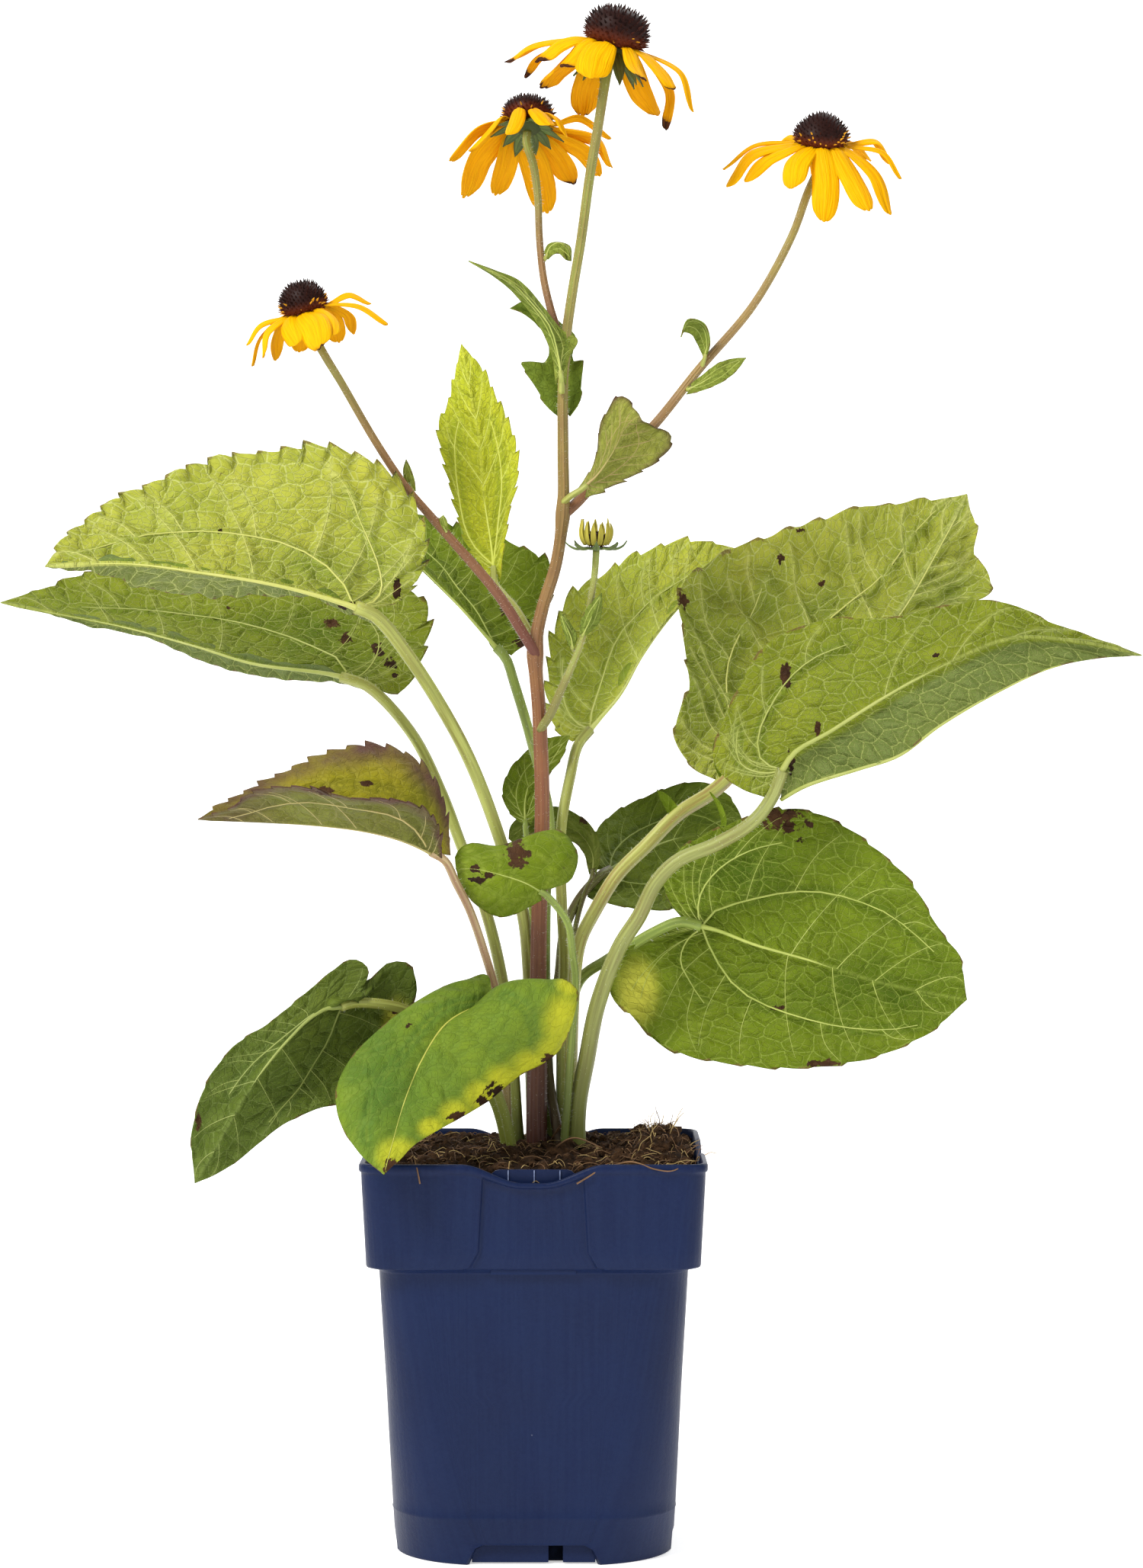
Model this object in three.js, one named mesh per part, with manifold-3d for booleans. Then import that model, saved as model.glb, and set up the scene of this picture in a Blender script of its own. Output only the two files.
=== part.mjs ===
// A goldsturm black-eyed susan growing in a square nursery pot.
// Millimetres, +Z up, +X to the viewer's right, +Y away from the viewer.
// The origin is in the middle of the pot's base.
import * as THREE from "three";
import { mergeVertices } from "three/addons/utils/BufferGeometryUtils.js";
import Module from "manifold-3d";

const wasm = await Module();
wasm.setup();

const UP = new THREE.Vector3(0, 0, 1);
const GAP = 0.35; // clearance where one piece is seated in or against another

// The plant is laid out as seen from one viewing point in front of the pot. A place is given as
// [across, up, behind]: across and up are read on the upright plane through the pot's axis, and
// behind is how far the place lies beyond that plane. Across is counted from the crown.
const VIEWER = new THREE.Vector3(13.2, -1386, 292.5);
const CROWN_ACROSS = 0.6; // the crown stands this far to the right of the pot's axis

const POT = {
  height: 140.5,
  rimHalf: 60, // half the width across the flats at the rim
  collarHalf: 58.2, // the same at the collar's lower edge
  collarBottom: 104.2,
  bodyHalf: 54, // just under the collar
  shoulder: 102.4,
  waistHalf: 51.8, // half-way down the body
  waist: 60,
  heelHalf: 50, // at the top of the heel, below which the walls turn in faster
  heel: 16.3,
  baseHalf: 49.2,
  rimCorner: 7, // the radius of the square's corners, at the same heights
  collarCorner: 9,
  bodyCorner: 12,
  waistCorner: 18,
  heelCorner: 27,
  baseCorner: 33,
  wall: 1.5,
  floorTop: 9,
  floorThick: 2,
  floorFlare: 0.4, // how much wider the pot is at its floor than at its base
  floorCorner: 30,
  footHalf: 8,
  notchHalf: 20,
  notchHeight: 7,
  drainRadius: 3.5,
  drainOffset: 28,
  panelDepth: 1, // how far the middle panel of each collar face lies behind its corner tabs
  panelTopHalf: 17.3,
  panelBottomHalf: 19.2,
  tabCorner: 5,
  dipHalf: 25, // the finger dip in the middle of each rim edge
  dipDepth: 5.6,
  pocketHalf: 14.7,
  pocketTop: 138.3,
  pocketOuter: 56, // the label pocket's plate stands this far from the pot's axis
  pocketThick: 1.2,
};

const SOIL = {
  edge: 135.5,
  crown: 140.4,
  half: 59.3, // half the pot's outer width at the height of the peat's edge
  heap: 5, // how much higher the peat lies where it is heaped, and where that is
  heapAcross: 46,
  heapBehind: -4,
  heapWide: 14,
  heapDeep: 26,
  stepClear: 1.2, // how far above the wall's inner steps the peat's own steps lie
  rings: [0.8, 0.6, 0.42, 0.22, 0.04], // where its surface has rings, as shares of its width
};

const BLADE_THICK = 0.8;
const RAY_THICK = 0.6;
const SEPAL_THICK = 0.6;
const BRACT_THICK = 0.7;
const CORNER_POINTS = 4;
const CUT_DEEP = 8; // how deep a bar that cuts through a wall is

const COLOURS = {
  pot: 0x22335a,
  soil: 0x2c2018,
  stem: 0x6e412d,
  olive: 0x96903f,
  underside: 0xa8ba5c,
  shaded: 0x6e823c,
  deep: 0x5a872a,
  yellowing: 0xb4b432,
  purple: 0x6c5a4a,
  ray: 0xffc400,
  cone: 0x3a2224,
  bract: 0x4f5f24,
};

const material = (color, roughness) =>
  new THREE.MeshStandardMaterial({ color, roughness, metalness: 0, side: THREE.DoubleSide });

const SATIN = material(COLOURS.pot, 0.45);
const PEAT = material(COLOURS.soil, 0.95);
const BARK = material(COLOURS.stem, 0.7);
const SHOOT = material(COLOURS.olive, 0.65);
const RAY = material(COLOURS.ray, 0.55);
const CONE = material(COLOURS.cone, 0.85);
const BRACT = material(COLOURS.bract, 0.7);

// A place on the viewing plane and behind it, as a point in the part's frame.
function at([across, up, behind]) {
  const spread = 1 - behind / VIEWER.y;
  return new THREE.Vector3(
    VIEWER.x + (across + CROWN_ACROSS - VIEWER.x) * spread,
    behind,
    VIEWER.z + (up - VIEWER.z) * spread,
  );
}

// A value between those of a list, t of the way along it.
function along(values, t) {
  const place = t * (values.length - 1);
  const index = Math.min(Math.floor(place), values.length - 2);
  return THREE.MathUtils.lerp(values[index], values[index + 1], place - index);
}

// A geometry as a solid whose faces point outwards.
function solid(geometry) {
  const bare = geometry.clone();
  bare.deleteAttribute("normal");
  bare.deleteAttribute("uv");
  const merged = mergeVertices(bare, 1e-4);
  const faces = [];
  for (let i = 0; i < merged.index.count; i += 3) {
    const [a, b, c] = [0, 1, 2].map((k) => merged.index.getX(i + k));
    if (a !== b && b !== c && c !== a) faces.push(a, b, c);
  }
  const make = (triVerts) =>
    new wasm.Manifold(
      new wasm.Mesh({
        numProp: 3,
        vertProperties: new Float32Array(merged.attributes.position.array),
        triVerts: new Uint32Array(triVerts),
      }),
    );
  const body = make(faces);
  return body.volume() < 0 ? make(faces.reverse()) : body;
}

// The largest body of a solid that a cut has left in pieces, without its inner pockets.
function largest(body) {
  const bodies = body.decompose();
  return bodies.reduce((best, next) => (next.volume() > best.volume() ? next : best));
}

// A solid as a named mesh.
function meshOf(name, body, finish) {
  const data = body.getMesh();
  const geometry = new THREE.BufferGeometry();
  geometry.setAttribute("position", new THREE.BufferAttribute(data.vertProperties, 3));
  geometry.setIndex(new THREE.BufferAttribute(data.triVerts, 1));
  geometry.computeVertexNormals();
  const mesh = new THREE.Mesh(geometry, finish);
  mesh.name = name;
  return mesh;
}

// A closed skin over a row of rings that all have the same even number of points. Its patches are
// halved the same way on a plate's two faces, so that a twisted plate keeps its thickness.
function loft(rings) {
  const count = rings[0].length;
  const index = [];
  for (let r = 0; r + 1 < rings.length; r++)
    for (let i = 0; i < count; i++) {
      const a = r * count + i;
      const b = r * count + ((i + 1) % count);
      const [c, d] = [a + count, b + count];
      index.push(...(i < count / 2 ? [a, b, d, a, d, c] : [a, b, c, b, d, c]));
    }
  const cap = (first, turned) => {
    for (let i = 0; i < count / 2 - 1; i++) {
      const [a, b] = [first + i, first + i + 1];
      const [c, d] = [first + count - 2 - i, first + count - 1 - i];
      index.push(...(turned ? [a, d, c, a, c, b] : [a, b, c, a, c, d]));
    }
  };
  cap(0, true);
  cap((rings.length - 1) * count, false);
  const geometry = new THREE.BufferGeometry().setFromPoints(rings.flat());
  geometry.setIndex(index);
  return solid(geometry);
}

// A round stem along points. grow makes it fatter and longer, which gives the socket it sits in.
function tube({ points, radii, sides, steps }, grow = 0) {
  const ends = points.map((p) => p.clone());
  const last = ends.length - 1;
  ends[0].addScaledVector(points[0].clone().sub(points[1]).normalize(), grow);
  ends[last].addScaledVector(points[last].clone().sub(points[last - 1]).normalize(), grow);
  const curve = new THREE.CatmullRomCurve3(ends, false, "centripetal");
  const { normals, binormals } = curve.computeFrenetFrames(steps, false);
  const rings = normals.map((normal, step) => {
    const centre = curve.getPointAt(step / steps);
    const radius = along(radii, step / steps) + grow;
    return Array.from({ length: sides }, (_, i) => {
      const angle = ((i + 0.5) / sides) * 2 * Math.PI;
      return centre
        .clone()
        .addScaledVector(normal, radius * Math.cos(angle))
        .addScaledVector(binormals[step], radius * Math.sin(angle));
    });
  });
  return loft(rings);
}

// A square outline with round corners, at height z.
function squareRing(half, corner, z) {
  const ring = [];
  for (let side = 0; side < 4; side++)
    for (let i = 0; i < CORNER_POINTS; i++) {
      const turn = (side + i / (CORNER_POINTS - 1)) * (Math.PI / 2);
      const middle = (side + 0.5) * (Math.PI / 2);
      const reach = (half - corner) * Math.SQRT2;
      ring.push(
        new THREE.Vector3(
          reach * Math.cos(middle) + corner * Math.cos(turn),
          reach * Math.sin(middle) + corner * Math.sin(turn),
          z,
        ),
      );
    }
  return ring;
}

const box = (sx, sy, sz, x, y, z) =>
  solid(new THREE.BoxGeometry(sx, sy, sz).translate(x, y, z));

// The same cut or plate on all four faces of the pot.
function onFourSides(body, change, tool) {
  let result = body;
  for (let side = 0; side < 4; side++) result = change(result, tool.rotate([0, 0, 90 * side]));
  return result;
}

// The middle panel of a collar face, as the slab that is cut away to set it back.
function panelSlab() {
  const { panelTopHalf, panelBottomHalf, tabCorner, height, collarBottom, collarHalf, rimHalf } =
    POT;
  const outline = new THREE.Shape();
  const low = collarBottom - 1;
  outline.moveTo(-panelTopHalf, height + 2);
  outline.lineTo(-panelBottomHalf, collarBottom + tabCorner);
  outline.quadraticCurveTo(-panelBottomHalf, collarBottom, -panelBottomHalf - tabCorner, low);
  outline.lineTo(panelBottomHalf + tabCorner, low);
  outline.quadraticCurveTo(panelBottomHalf, collarBottom, panelBottomHalf, collarBottom + tabCorner);
  outline.lineTo(panelTopHalf, height + 2);
  const slab = new THREE.ExtrudeGeometry(outline, {
    depth: CUT_DEEP,
    bevelEnabled: false,
    curveSegments: 3,
  });
  slab.rotateX(Math.PI / 2);
  slab.translate(0, 0, -collarBottom);
  slab.rotateX(Math.atan2(rimHalf - collarHalf, height - collarBottom));
  slab.translate(0, -(collarHalf - POT.panelDepth), collarBottom);
  return solid(slab);
}

// The finger dip in a rim edge, as the bar that is cut through the wall.
function dipBar() {
  const { height, dipHalf, dipDepth, rimHalf } = POT;
  const over = 3;
  const bow = dipHalf * 0.6;
  const low = height - dipDepth;
  const outline = new THREE.Shape();
  outline.moveTo(-dipHalf, height + over);
  outline.lineTo(-dipHalf, height);
  outline.bezierCurveTo(-bow, height, -bow, low, 0, low);
  outline.bezierCurveTo(bow, low, bow, height, dipHalf, height);
  outline.lineTo(dipHalf, height + over);
  const bar = new THREE.ExtrudeGeometry(outline, {
    depth: CUT_DEEP,
    bevelEnabled: false,
    curveSegments: 5,
  });
  bar.rotateX(Math.PI / 2);
  bar.translate(0, CUT_DEEP / 2 + 1 - rimHalf, 0);
  return solid(bar);
}

// The label pocket's plate behind the dip, from the collar's inner step up to just under the rim.
function pocketPlate(grow = 0) {
  const { pocketHalf, pocketTop, pocketOuter, pocketThick, shoulder } = POT;
  const radius = 3;
  const outline = new THREE.Shape();
  const foot = shoulder - 0.5;
  const side = pocketHalf + grow;
  const top = pocketTop + grow;
  outline.moveTo(-side, foot);
  outline.lineTo(side, foot);
  outline.lineTo(side, pocketTop - radius);
  outline.quadraticCurveTo(side, top, pocketHalf - radius, top);
  outline.lineTo(-pocketHalf + radius, top);
  outline.quadraticCurveTo(-side, top, -side, pocketTop - radius);
  const plate = new THREE.ExtrudeGeometry(outline, {
    depth: pocketThick + grow * 4,
    bevelEnabled: false,
    curveSegments: 2,
  });
  plate.rotateX(Math.PI / 2);
  plate.translate(0, -(pocketOuter - pocketThick) + grow, 0);
  return solid(plate);
}

function pot() {
  const { wall, height, heel, shoulder, collarBottom, floorTop, floorThick } = POT;
  const outer = [
    [POT.baseHalf, POT.baseCorner, 0],
    [POT.heelHalf, POT.heelCorner, heel],
    [POT.waistHalf, POT.waistCorner, POT.waist],
    [POT.bodyHalf, POT.bodyCorner, shoulder],
    [POT.collarHalf, POT.collarCorner, collarBottom],
    [POT.rimHalf, POT.rimCorner, height],
  ];
  const inner = [
    [POT.rimHalf, POT.rimCorner, height],
    [POT.collarHalf, POT.collarCorner, collarBottom + wall],
    [POT.bodyHalf, POT.bodyCorner, shoulder + wall / 2],
    [POT.waistHalf, POT.waistCorner, POT.waist],
    [POT.heelHalf, POT.heelCorner, heel],
    [POT.baseHalf + POT.floorFlare, POT.floorCorner, floorTop],
  ];
  const inset = ([half, corner, z]) => squareRing(half - wall, corner - wall, z);
  let body = loft([...outer.map((ring) => squareRing(...ring)), ...inner.map(inset)]);
  const underside = loft([
    inset([POT.baseHalf, POT.baseCorner, -1]),
    inset([POT.baseHalf + POT.floorFlare, POT.floorCorner, floorTop - floorThick]),
  ]);
  body = body.subtract(underside);
  const cut = (from, tool) => from.subtract(tool);
  const join = (to, tool) => to.add(tool);
  const { notchHalf, notchHeight, footHalf } = POT;
  const notch = box(2 * notchHalf, 12, 2 * notchHeight, 0, -POT.baseHalf, 0);
  body = onFourSides(body, cut, notch);
  body = onFourSides(body, cut, panelSlab());
  body = onFourSides(body, cut, dipBar());
  body = onFourSides(body, join, pocketPlate());
  const footTop = floorTop - floorThick / 2;
  body = body.add(box(2 * footHalf, 2 * footHalf, footTop, 0, 0, footTop / 2));
  const drain = new THREE.CylinderGeometry(POT.drainRadius, POT.drainRadius, 12, 8);
  drain.rotateX(Math.PI / 2);
  drain.translate(POT.drainOffset, 0, floorTop);
  body = onFourSides(body, cut, solid(drain).rotate([0, 0, 45]));
  return body;
}

// How high the peat lies: mounded round the crown of the plant, and heaped in the right-hand corner.
function peatHeight(x, y) {
  const out = Math.min(Math.max(Math.abs(x), Math.abs(y)) / POT.rimHalf, 1);
  const mound = (SOIL.crown - SOIL.edge) * (1 - out ** 2);
  const aside = (x - SOIL.heapAcross) / SOIL.heapWide;
  const behind = (y - SOIL.heapBehind) / SOIL.heapDeep;
  const heap = SOIL.heap * Math.exp(-(aside ** 2) - behind ** 2);
  return SOIL.edge + mound + heap;
}

function soil(sockets) {
  const { floorTop, wall, heel, shoulder, collarBottom, rimCorner } = POT;
  const inset = (half, corner, z) => squareRing(half - wall - GAP, corner - wall, z);
  const rings = [
    inset(POT.baseHalf, POT.floorCorner, floorTop + GAP),
    inset(POT.heelHalf, POT.heelCorner, heel),
    inset(POT.waistHalf, POT.waistCorner, POT.waist),
    inset(POT.bodyHalf, POT.bodyCorner, shoulder + wall / 2 + SOIL.stepClear),
    inset(POT.collarHalf, POT.collarCorner, collarBottom + wall + SOIL.stepClear),
    inset(SOIL.half, rimCorner + wall, SOIL.edge),
  ];
  for (const share of SOIL.rings) {
    const ring = squareRing((SOIL.half - wall - GAP) * share, rimCorner * share, 0);
    rings.push(ring.map((p) => p.setZ(peatHeight(p.x, p.y))));
  }
  let body = loft(rings);
  body = onFourSides(body, (from, tool) => from.subtract(tool), pocketPlate(GAP));
  for (const socket of sockets) body = body.subtract(socket);
  return largest(body);
}

// Stems and flower stalks: places along each, and the radius at even steps along it.
const STEMS = {
  main_stem: {
    route: [
      [0.5, 125, 0], [0, 139.5, 0], [0.5, 199, 0], [1, 228.5, 0], [2, 262, 0], [1, 295, 0],
      [-0.5, 319.5, 0], [2, 333.5, 1], [7, 350, 1], [9.5, 369, 1], [9.5, 391, 1],
      [9.5, 415.5, 1], [10.5, 430.5, 0], [13, 448.5, -1], [16, 466.5, -2], [19, 488.5, -3],
      [22, 506.5, -4], [25, 525, -5],
    ],
    radii: [3.8, 3.6, 2.9, 2.7, 2.6, 2.4, 2.1, 2.0, 1.8, 1.7, 1.7, 1.7],
    sides: 8,
    steps: 26,
  },
  second_flower_stalk: {
    route: [
      [9.5, 422.5, 1], [8, 432, 3], [5, 442, 5], [2.5, 453, 7], [1, 468, 9], [0.5, 481.5, 10],
      [-1, 493, 8],
    ],
    radii: [1.3, 1.4, 1.3, 1.3, 1.4, 1.6],
    sides: 6,
    steps: 10,
  },
  right_branch: {
    route: [
      [9.5, 367.5, 1], [14.5, 372, 3], [26.5, 385, 6], [41.5, 399, 8], [58.5, 420, 11],
      [78, 443, 16], [92, 468, 22], [97.5, 483, 25],
    ],
    radii: [1.9, 1.7, 1.6, 1.5, 1.4, 1.4, 1.6],
    sides: 6,
    steps: 13,
  },
  left_branch: {
    route: [
      [0, 317, -1], [-4, 323.5, -4], [-13.5, 338.5, -7], [-31, 359, -10], [-38.5, 367.5, -12],
      [-47, 377.5, -14], [-58, 394, -18], [-70.5, 415.5, -22], [-76, 424.5, -24],
    ],
    radii: [1.9, 1.9, 1.7, 1.5, 1.4, 1.4, 1.6],
    sides: 6,
    steps: 13,
  },
  bud_shoot: {
    route: [
      [1, 290, -1], [4.5, 295, -4], [8, 302.5, -6], [16.5, 323, -8], [19.5, 336.5, -8],
      [21, 347, -8],
    ],
    radii: [1.6, 1.5, 1.2, 1.1, 1.1, 1.2],
    sides: 6,
    steps: 9,
  },
};

// Leaves. stalk runs from the soil or stem to the blade, midrib from there to the tip. left and
// right are the blade's margins, from the stalk round to the tip, as seen on its upper face.
// girth is the stalk's radius at its foot and at the blade. lean is how much further the tip
// bends away from the viewer than its listed place.
const LEAVES = {
  upper_left_leaf: {
    lean: -50,
    stalk: [[-1, 129, 9], [-2, 169, 9], [-3, 205, 8], [-5, 224, 6], [-13, 250, 2], [-21, 272, -2],
      [-29, 289, -5], [-45, 315, -10], [-58, 331, -12]],
    midrib: [[-58, 331, -12], [-67, 335, -14], [-92, 342, -16], [-122, 347, -16],
      [-148, 350, -12], [-177, 349, -5]],
    left: [[-56, 334, -9], [-48, 338, 0], [-41, 357, 10], [-48, 376, 18], [-70, 389, 24],
      [-94, 389, 27], [-121, 384, 26], [-150, 372, 18], [-166, 362, 8], [-177, 349, -5]],
    right: [[-58, 328, -8], [-68, 333, 10], [-86, 339, 20], [-107, 339, 24], [-125, 340, 24],
      [-141, 343, 19], [-158, 347, 9], [-177, 349, -5]],
    girth: [2.1, 2.6],
    colour: COLOURS.underside,
  },
  lower_left_leaf: {
    lean: 55,
    stalk: [[-6, 129, 4.5], [-8.5, 169, 4.5], [-12, 198, 6], [-18, 224, 8], [-28, 251, 10],
      [-34, 267, 11], [-45, 289, 12], [-61, 306, 12]],
    midrib: [[-61, 306, 12], [-73, 310, 11], [-102, 314, 9], [-122, 320, 8], [-148, 327, 8],
      [-173, 332, 10], [-193, 336, 12]],
    left: [[-58, 306, 14], [-51, 303, 18], [-44, 311, 24], [-40, 328, 32], [-43, 336, 34],
      [-61, 344, 36], [-89, 347, 36], [-125, 347, 34], [-161, 346, 28], [-177, 341, 20],
      [-193, 336, 12]],
    right: [[-63, 305, 15], [-73, 308, 26], [-99, 310, 34], [-124, 317, 34], [-141, 324, 29],
      [-163, 328, 20], [-193, 336, 12]],
    girth: [2.1, 2.2],
    colour: COLOURS.underside,
  },
  curled_leaf: {
    lean: -45,
    stalk: [[-9.5, 129, 0], [-10.5, 150, -3], [-11.5, 172, -7], [-13.5, 190, -12],
      [-15.5, 199, -15], [-18.5, 209, -16], [-24, 225, -15], [-29, 235, -14], [-33, 243, -14]],
    midrib: [[-33, 243, -14], [-40, 247, -16], [-50, 251, -18], [-63, 254, -20],
      [-81, 256, -21], [-97, 257, -20], [-122, 258, -16]],
    left: [[-34, 244, -16], [-35, 253, -24], [-38, 260, -31], [-48, 265, -38], [-64, 266, -43],
      [-83, 270, -43], [-100, 268, -36], [-111, 262, -26], [-122, 258, -16]],
    right: [[-31, 245, -11], [-32, 254, -5], [-35, 269, 4], [-43, 279, 10], [-55, 284, 12],
      [-72, 283, 11], [-89, 276, 5], [-108, 266, -7], [-122, 258, -16]],
    girth: [1.5, 1.6],
    colour: COLOURS.purple,
  },
  heart_leaf: {
    lean: -10,
    stalk: [[9, 129, -9], [12, 169, -10], [14, 200, -10], [13, 209, -11], [11, 221, -12],
      [3, 231, -13]],
    midrib: [[3, 231, -13], [-4, 235, -16], [-13, 238, -18], [-22, 240, -17], [-29, 240, -12]],
    left: [[2, 229, -12], [-5, 225, -14], [-13, 223, -16], [-20, 226, -17], [-26, 232, -16],
      [-29, 240, -12]],
    right: [[5, 233, -12], [12, 236, -10], [15, 245, -7], [9, 254, -7], [-1, 253, -9],
      [-13, 249, -10], [-25, 249, -11], [-29, 245, -12], [-29, 240, -12]],
    girth: [1.5, 1.4],
    colour: COLOURS.shaded,
  },
  young_leaf: {
    lean: 15,
    stalk: [[0, 129, 14], [-1, 169, 14], [-1.5, 196, 14], [-2, 229, 13], [-3, 246, 12],
      [-4, 255, 11]],
    midrib: [[-4, 255, 11], [-4, 265, 12], [-1, 274, 13], [5, 281, 14], [12, 288, 16]],
    left: [[-2, 256, 11], [1, 263, 11], [4, 273, 11], [9, 280, 13], [12, 288, 16]],
    right: [[-5, 256, 11], [-10, 261, 13], [-12, 268, 15], [-9, 276, 17], [-2, 283, 18],
      [5, 287, 18], [12, 288, 16]],
    girth: [1.3, 1.1],
    colour: COLOURS.deep,
  },
  torn_leaf: {
    lean: 15,
    stalk: [[8, 129, 18], [9, 169, 17.5], [12, 196, 18], [14, 219, 20], [18, 233, 20],
      [20, 237, 20]],
    midrib: [[20, 237, 20], [20, 246, 20], [14, 254, 21], [4, 256, 22], [-4, 255, 22],
      [-10, 251, 21]],
    left: [[19, 238, 20], [17, 246, 21], [12, 250.5, 22], [7, 250, 22], [0, 249, 22],
      [-6, 248, 22], [-10, 251, 21]],
    right: [[21.5, 238, 20], [23, 247, 20], [20, 255, 21], [13, 260.5, 22], [7, 262.5, 23],
      [0, 261, 23], [-6, 259, 23], [-9.5, 255, 22], [-10, 251, 21]],
    girth: [1.2, 1],
    colour: COLOURS.deep,
  },
  inner_right_leaf: {
    lean: 50,
    stalk: [[7, 129, 7], [8.6, 150, 8.5], [9, 165, 7.5], [9.2, 185, 6], [10, 207, 5.5],
      [9, 229, 8], [8.5, 246, 10], [9.2, 258, 12], [12, 273, 15], [15, 285, 18]],
    midrib: [[15, 285, 18], [21.5, 293, 20], [30, 303, 21], [38, 317, 22], [51, 334, 26],
      [74, 355, 34]],
    left: [[16.5, 287, 21], [24, 299, 32], [31, 312, 42], [41, 326, 44], [53, 339, 45],
      [63, 349, 42], [74, 355, 34]],
    right: [[13, 286, 19], [8, 289, 22], [5, 299, 26], [5, 311, 29], [7, 325, 31],
      [12, 336, 32], [23, 344, 34], [39, 353, 36], [57, 357, 36], [74, 355, 34]],
    girth: [2, 2.1],
    colour: COLOURS.underside,
  },
  back_left_leaf: {
    lean: 50,
    stalk: [[5, 129, 12], [4.8, 150, 14], [4, 175, 17.5], [3.3, 197, 18.5], [3.2, 215, 14],
      [3.6, 235, 9], [4.9, 252, 6.5], [4.2, 262, 6], [2, 272, 6.5], [-1, 283, 8], [-4, 294, 11],
      [-8, 307, 13], [-11, 316, 14]],
    midrib: [[-11, 316, 14], [-18, 324, 13], [-27, 334, 14], [-37, 344, 16], [-44, 351, 18],
      [-55, 364, 24]],
    left: [[-9, 317, 15], [-2, 324, 18], [3, 336, 20], [4, 347, 22], [-4, 354, 24],
      [-13, 357, 25], [-26, 361, 27], [-40, 366, 28], [-55, 364, 24]],
    right: [[-13, 316, 16], [-19, 326, 26], [-29, 337, 34], [-38, 347, 36], [-46, 356, 33],
      [-55, 364, 24]],
    girth: [1.8, 2],
    colour: COLOURS.shaded,
  },
  upper_right_leaf: {
    lean: 50,
    stalk: [[12.2, 129, 3.5], [12.4, 169, 0], [14, 205, -1], [16, 215, -1], [21, 225, 0],
      [29, 238, 0],
      [40, 249, 1], [51, 260, 3], [62, 267, 6], [68, 272, 8]],
    midrib: [[68, 272, 8], [81, 287, 11], [98, 302, 15], [114, 316, 18], [129, 331, 20],
      [144, 355, 22], [155, 375, 22]],
    left: [[70, 271, 10], [87, 279, 22], [106, 292, 30], [125, 309, 35], [142, 324, 36],
      [152, 334, 34], [162, 343, 30], [158, 357, 26], [155, 375, 22]],
    right: [[65, 272, 9], [57, 276, 10], [50, 289, 12], [55, 305, 14], [53, 324, 17],
      [52, 340, 19], [65, 352, 24], [83, 358, 29], [107, 367, 32], [131, 371, 30],
      [146, 373, 26], [155, 375, 22]],
    girth: [2.1, 3],
    colour: COLOURS.underside,
  },
  lower_right_leaf: {
    lean: -60,
    stalk: [[14, 129, -3], [15, 155, -6], [18, 171, -8], [22, 191, -11], [30, 212, -15],
      [37, 223, -17], [43, 235, -18], [51, 243, -18], [65, 249, -17], [78, 257, -14],
      [85, 266, -12]],
    midrib: [[85, 266, -12], [92, 281, -13], [105, 289, -14], [124, 301, -15], [146, 313, -14],
      [171, 323, -10], [194, 322, -4], [218, 317, 4]],
    left: [[88, 265, -12], [97, 270, -14], [116, 276, -18], [131, 281, -20], [146, 292, -21],
      [165, 303, -18], [184, 312, -11], [202, 316, -3], [218, 317, 4]],
    right: [[82, 266, -11], [74, 269, -8], [65, 277, -3], [66, 290, -1], [74, 306, 0],
      [84, 321, 1], [100, 328, 2], [127, 330, 3], [159, 336, 4], [177, 331, 5], [198, 324, 5],
      [218, 317, 4]],
    girth: [3.2, 2.5],
    colour: COLOURS.underside,
  },
  round_leaf: {
    lean: -20,
    stalk: [[11, 129, 13], [11.5, 169, 14], [15, 199, 12], [25, 207, 8], [32, 211, 3],
      [42, 217, -1], [52, 221, -4]],
    midrib: [[52, 221, -4], [65, 218, -5], [78, 213, -7], [99, 207, -9], [121, 200, -11],
      [138, 196, -12], [155, 193, -12]],
    left: [[50, 219, -3], [39, 215, 0], [28, 207, 3], [27, 196, 4], [35, 187, 3], [44, 178, 0],
      [61, 172, -5], [83, 169, -10], [101, 169, -13], [126, 174, -15], [142, 182, -15],
      [155, 193, -12]],
    right: [[52, 223, -3], [48, 228, 0], [46, 236, 3], [51, 246, 6], [68, 255, 8], [86, 261, 9],
      [103, 259, 8], [118, 250, 5], [133, 237, 1], [145, 218, -5], [152, 208, -9],
      [155, 193, -12]],
    girth: [2, 2.1],
    colour: COLOURS.deep,
  },
  back_right_leaf: {
    lean: 50,
    stalk: [[8.8, 129, -1.5], [8.3, 140, -0.5], [6.8, 150, 1.5], [5, 160, 4.5], [3.8, 174, 6.5],
      [4.3, 186, 6.5], [7.8, 200, 7], [9.8, 217, 8], [15, 229, 9], [23, 238, 10]],
    midrib: [[23, 238, 12], [36, 245, 18], [51, 251, 24], [66, 252, 27], [77, 248, 24]],
    left: [[24, 236, 12], [18, 230, 11], [26, 227, 11], [46, 225, 14], [62, 231, 18],
      [77, 248, 24]],
    right: [[22, 240, 13], [21, 252, 16], [28, 260, 20], [40, 266, 25], [57, 271, 29],
      [69, 266, 30], [77, 248, 24]],
    girth: [1.9, 1.8],
    colour: COLOURS.shaded,
  },
  yellowing_leaf: {
    lean: -15,
    stalk: [[-7, 129, -10], [-11, 150, -13], [-15, 163, -16], [-16.5, 180, -18],
      [-14.5, 193, -20]],
    midrib: [[-14.5, 193, -20], [-23, 190, -28], [-33, 184, -37], [-42, 170, -48],
      [-48, 155, -56], [-52, 141, -61], [-55, 130, -64]],
    left: [[-12.5, 194.5, -21], [0, 199, -19], [9, 201, -18], [15, 196, -18], [14, 188, -21],
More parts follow.
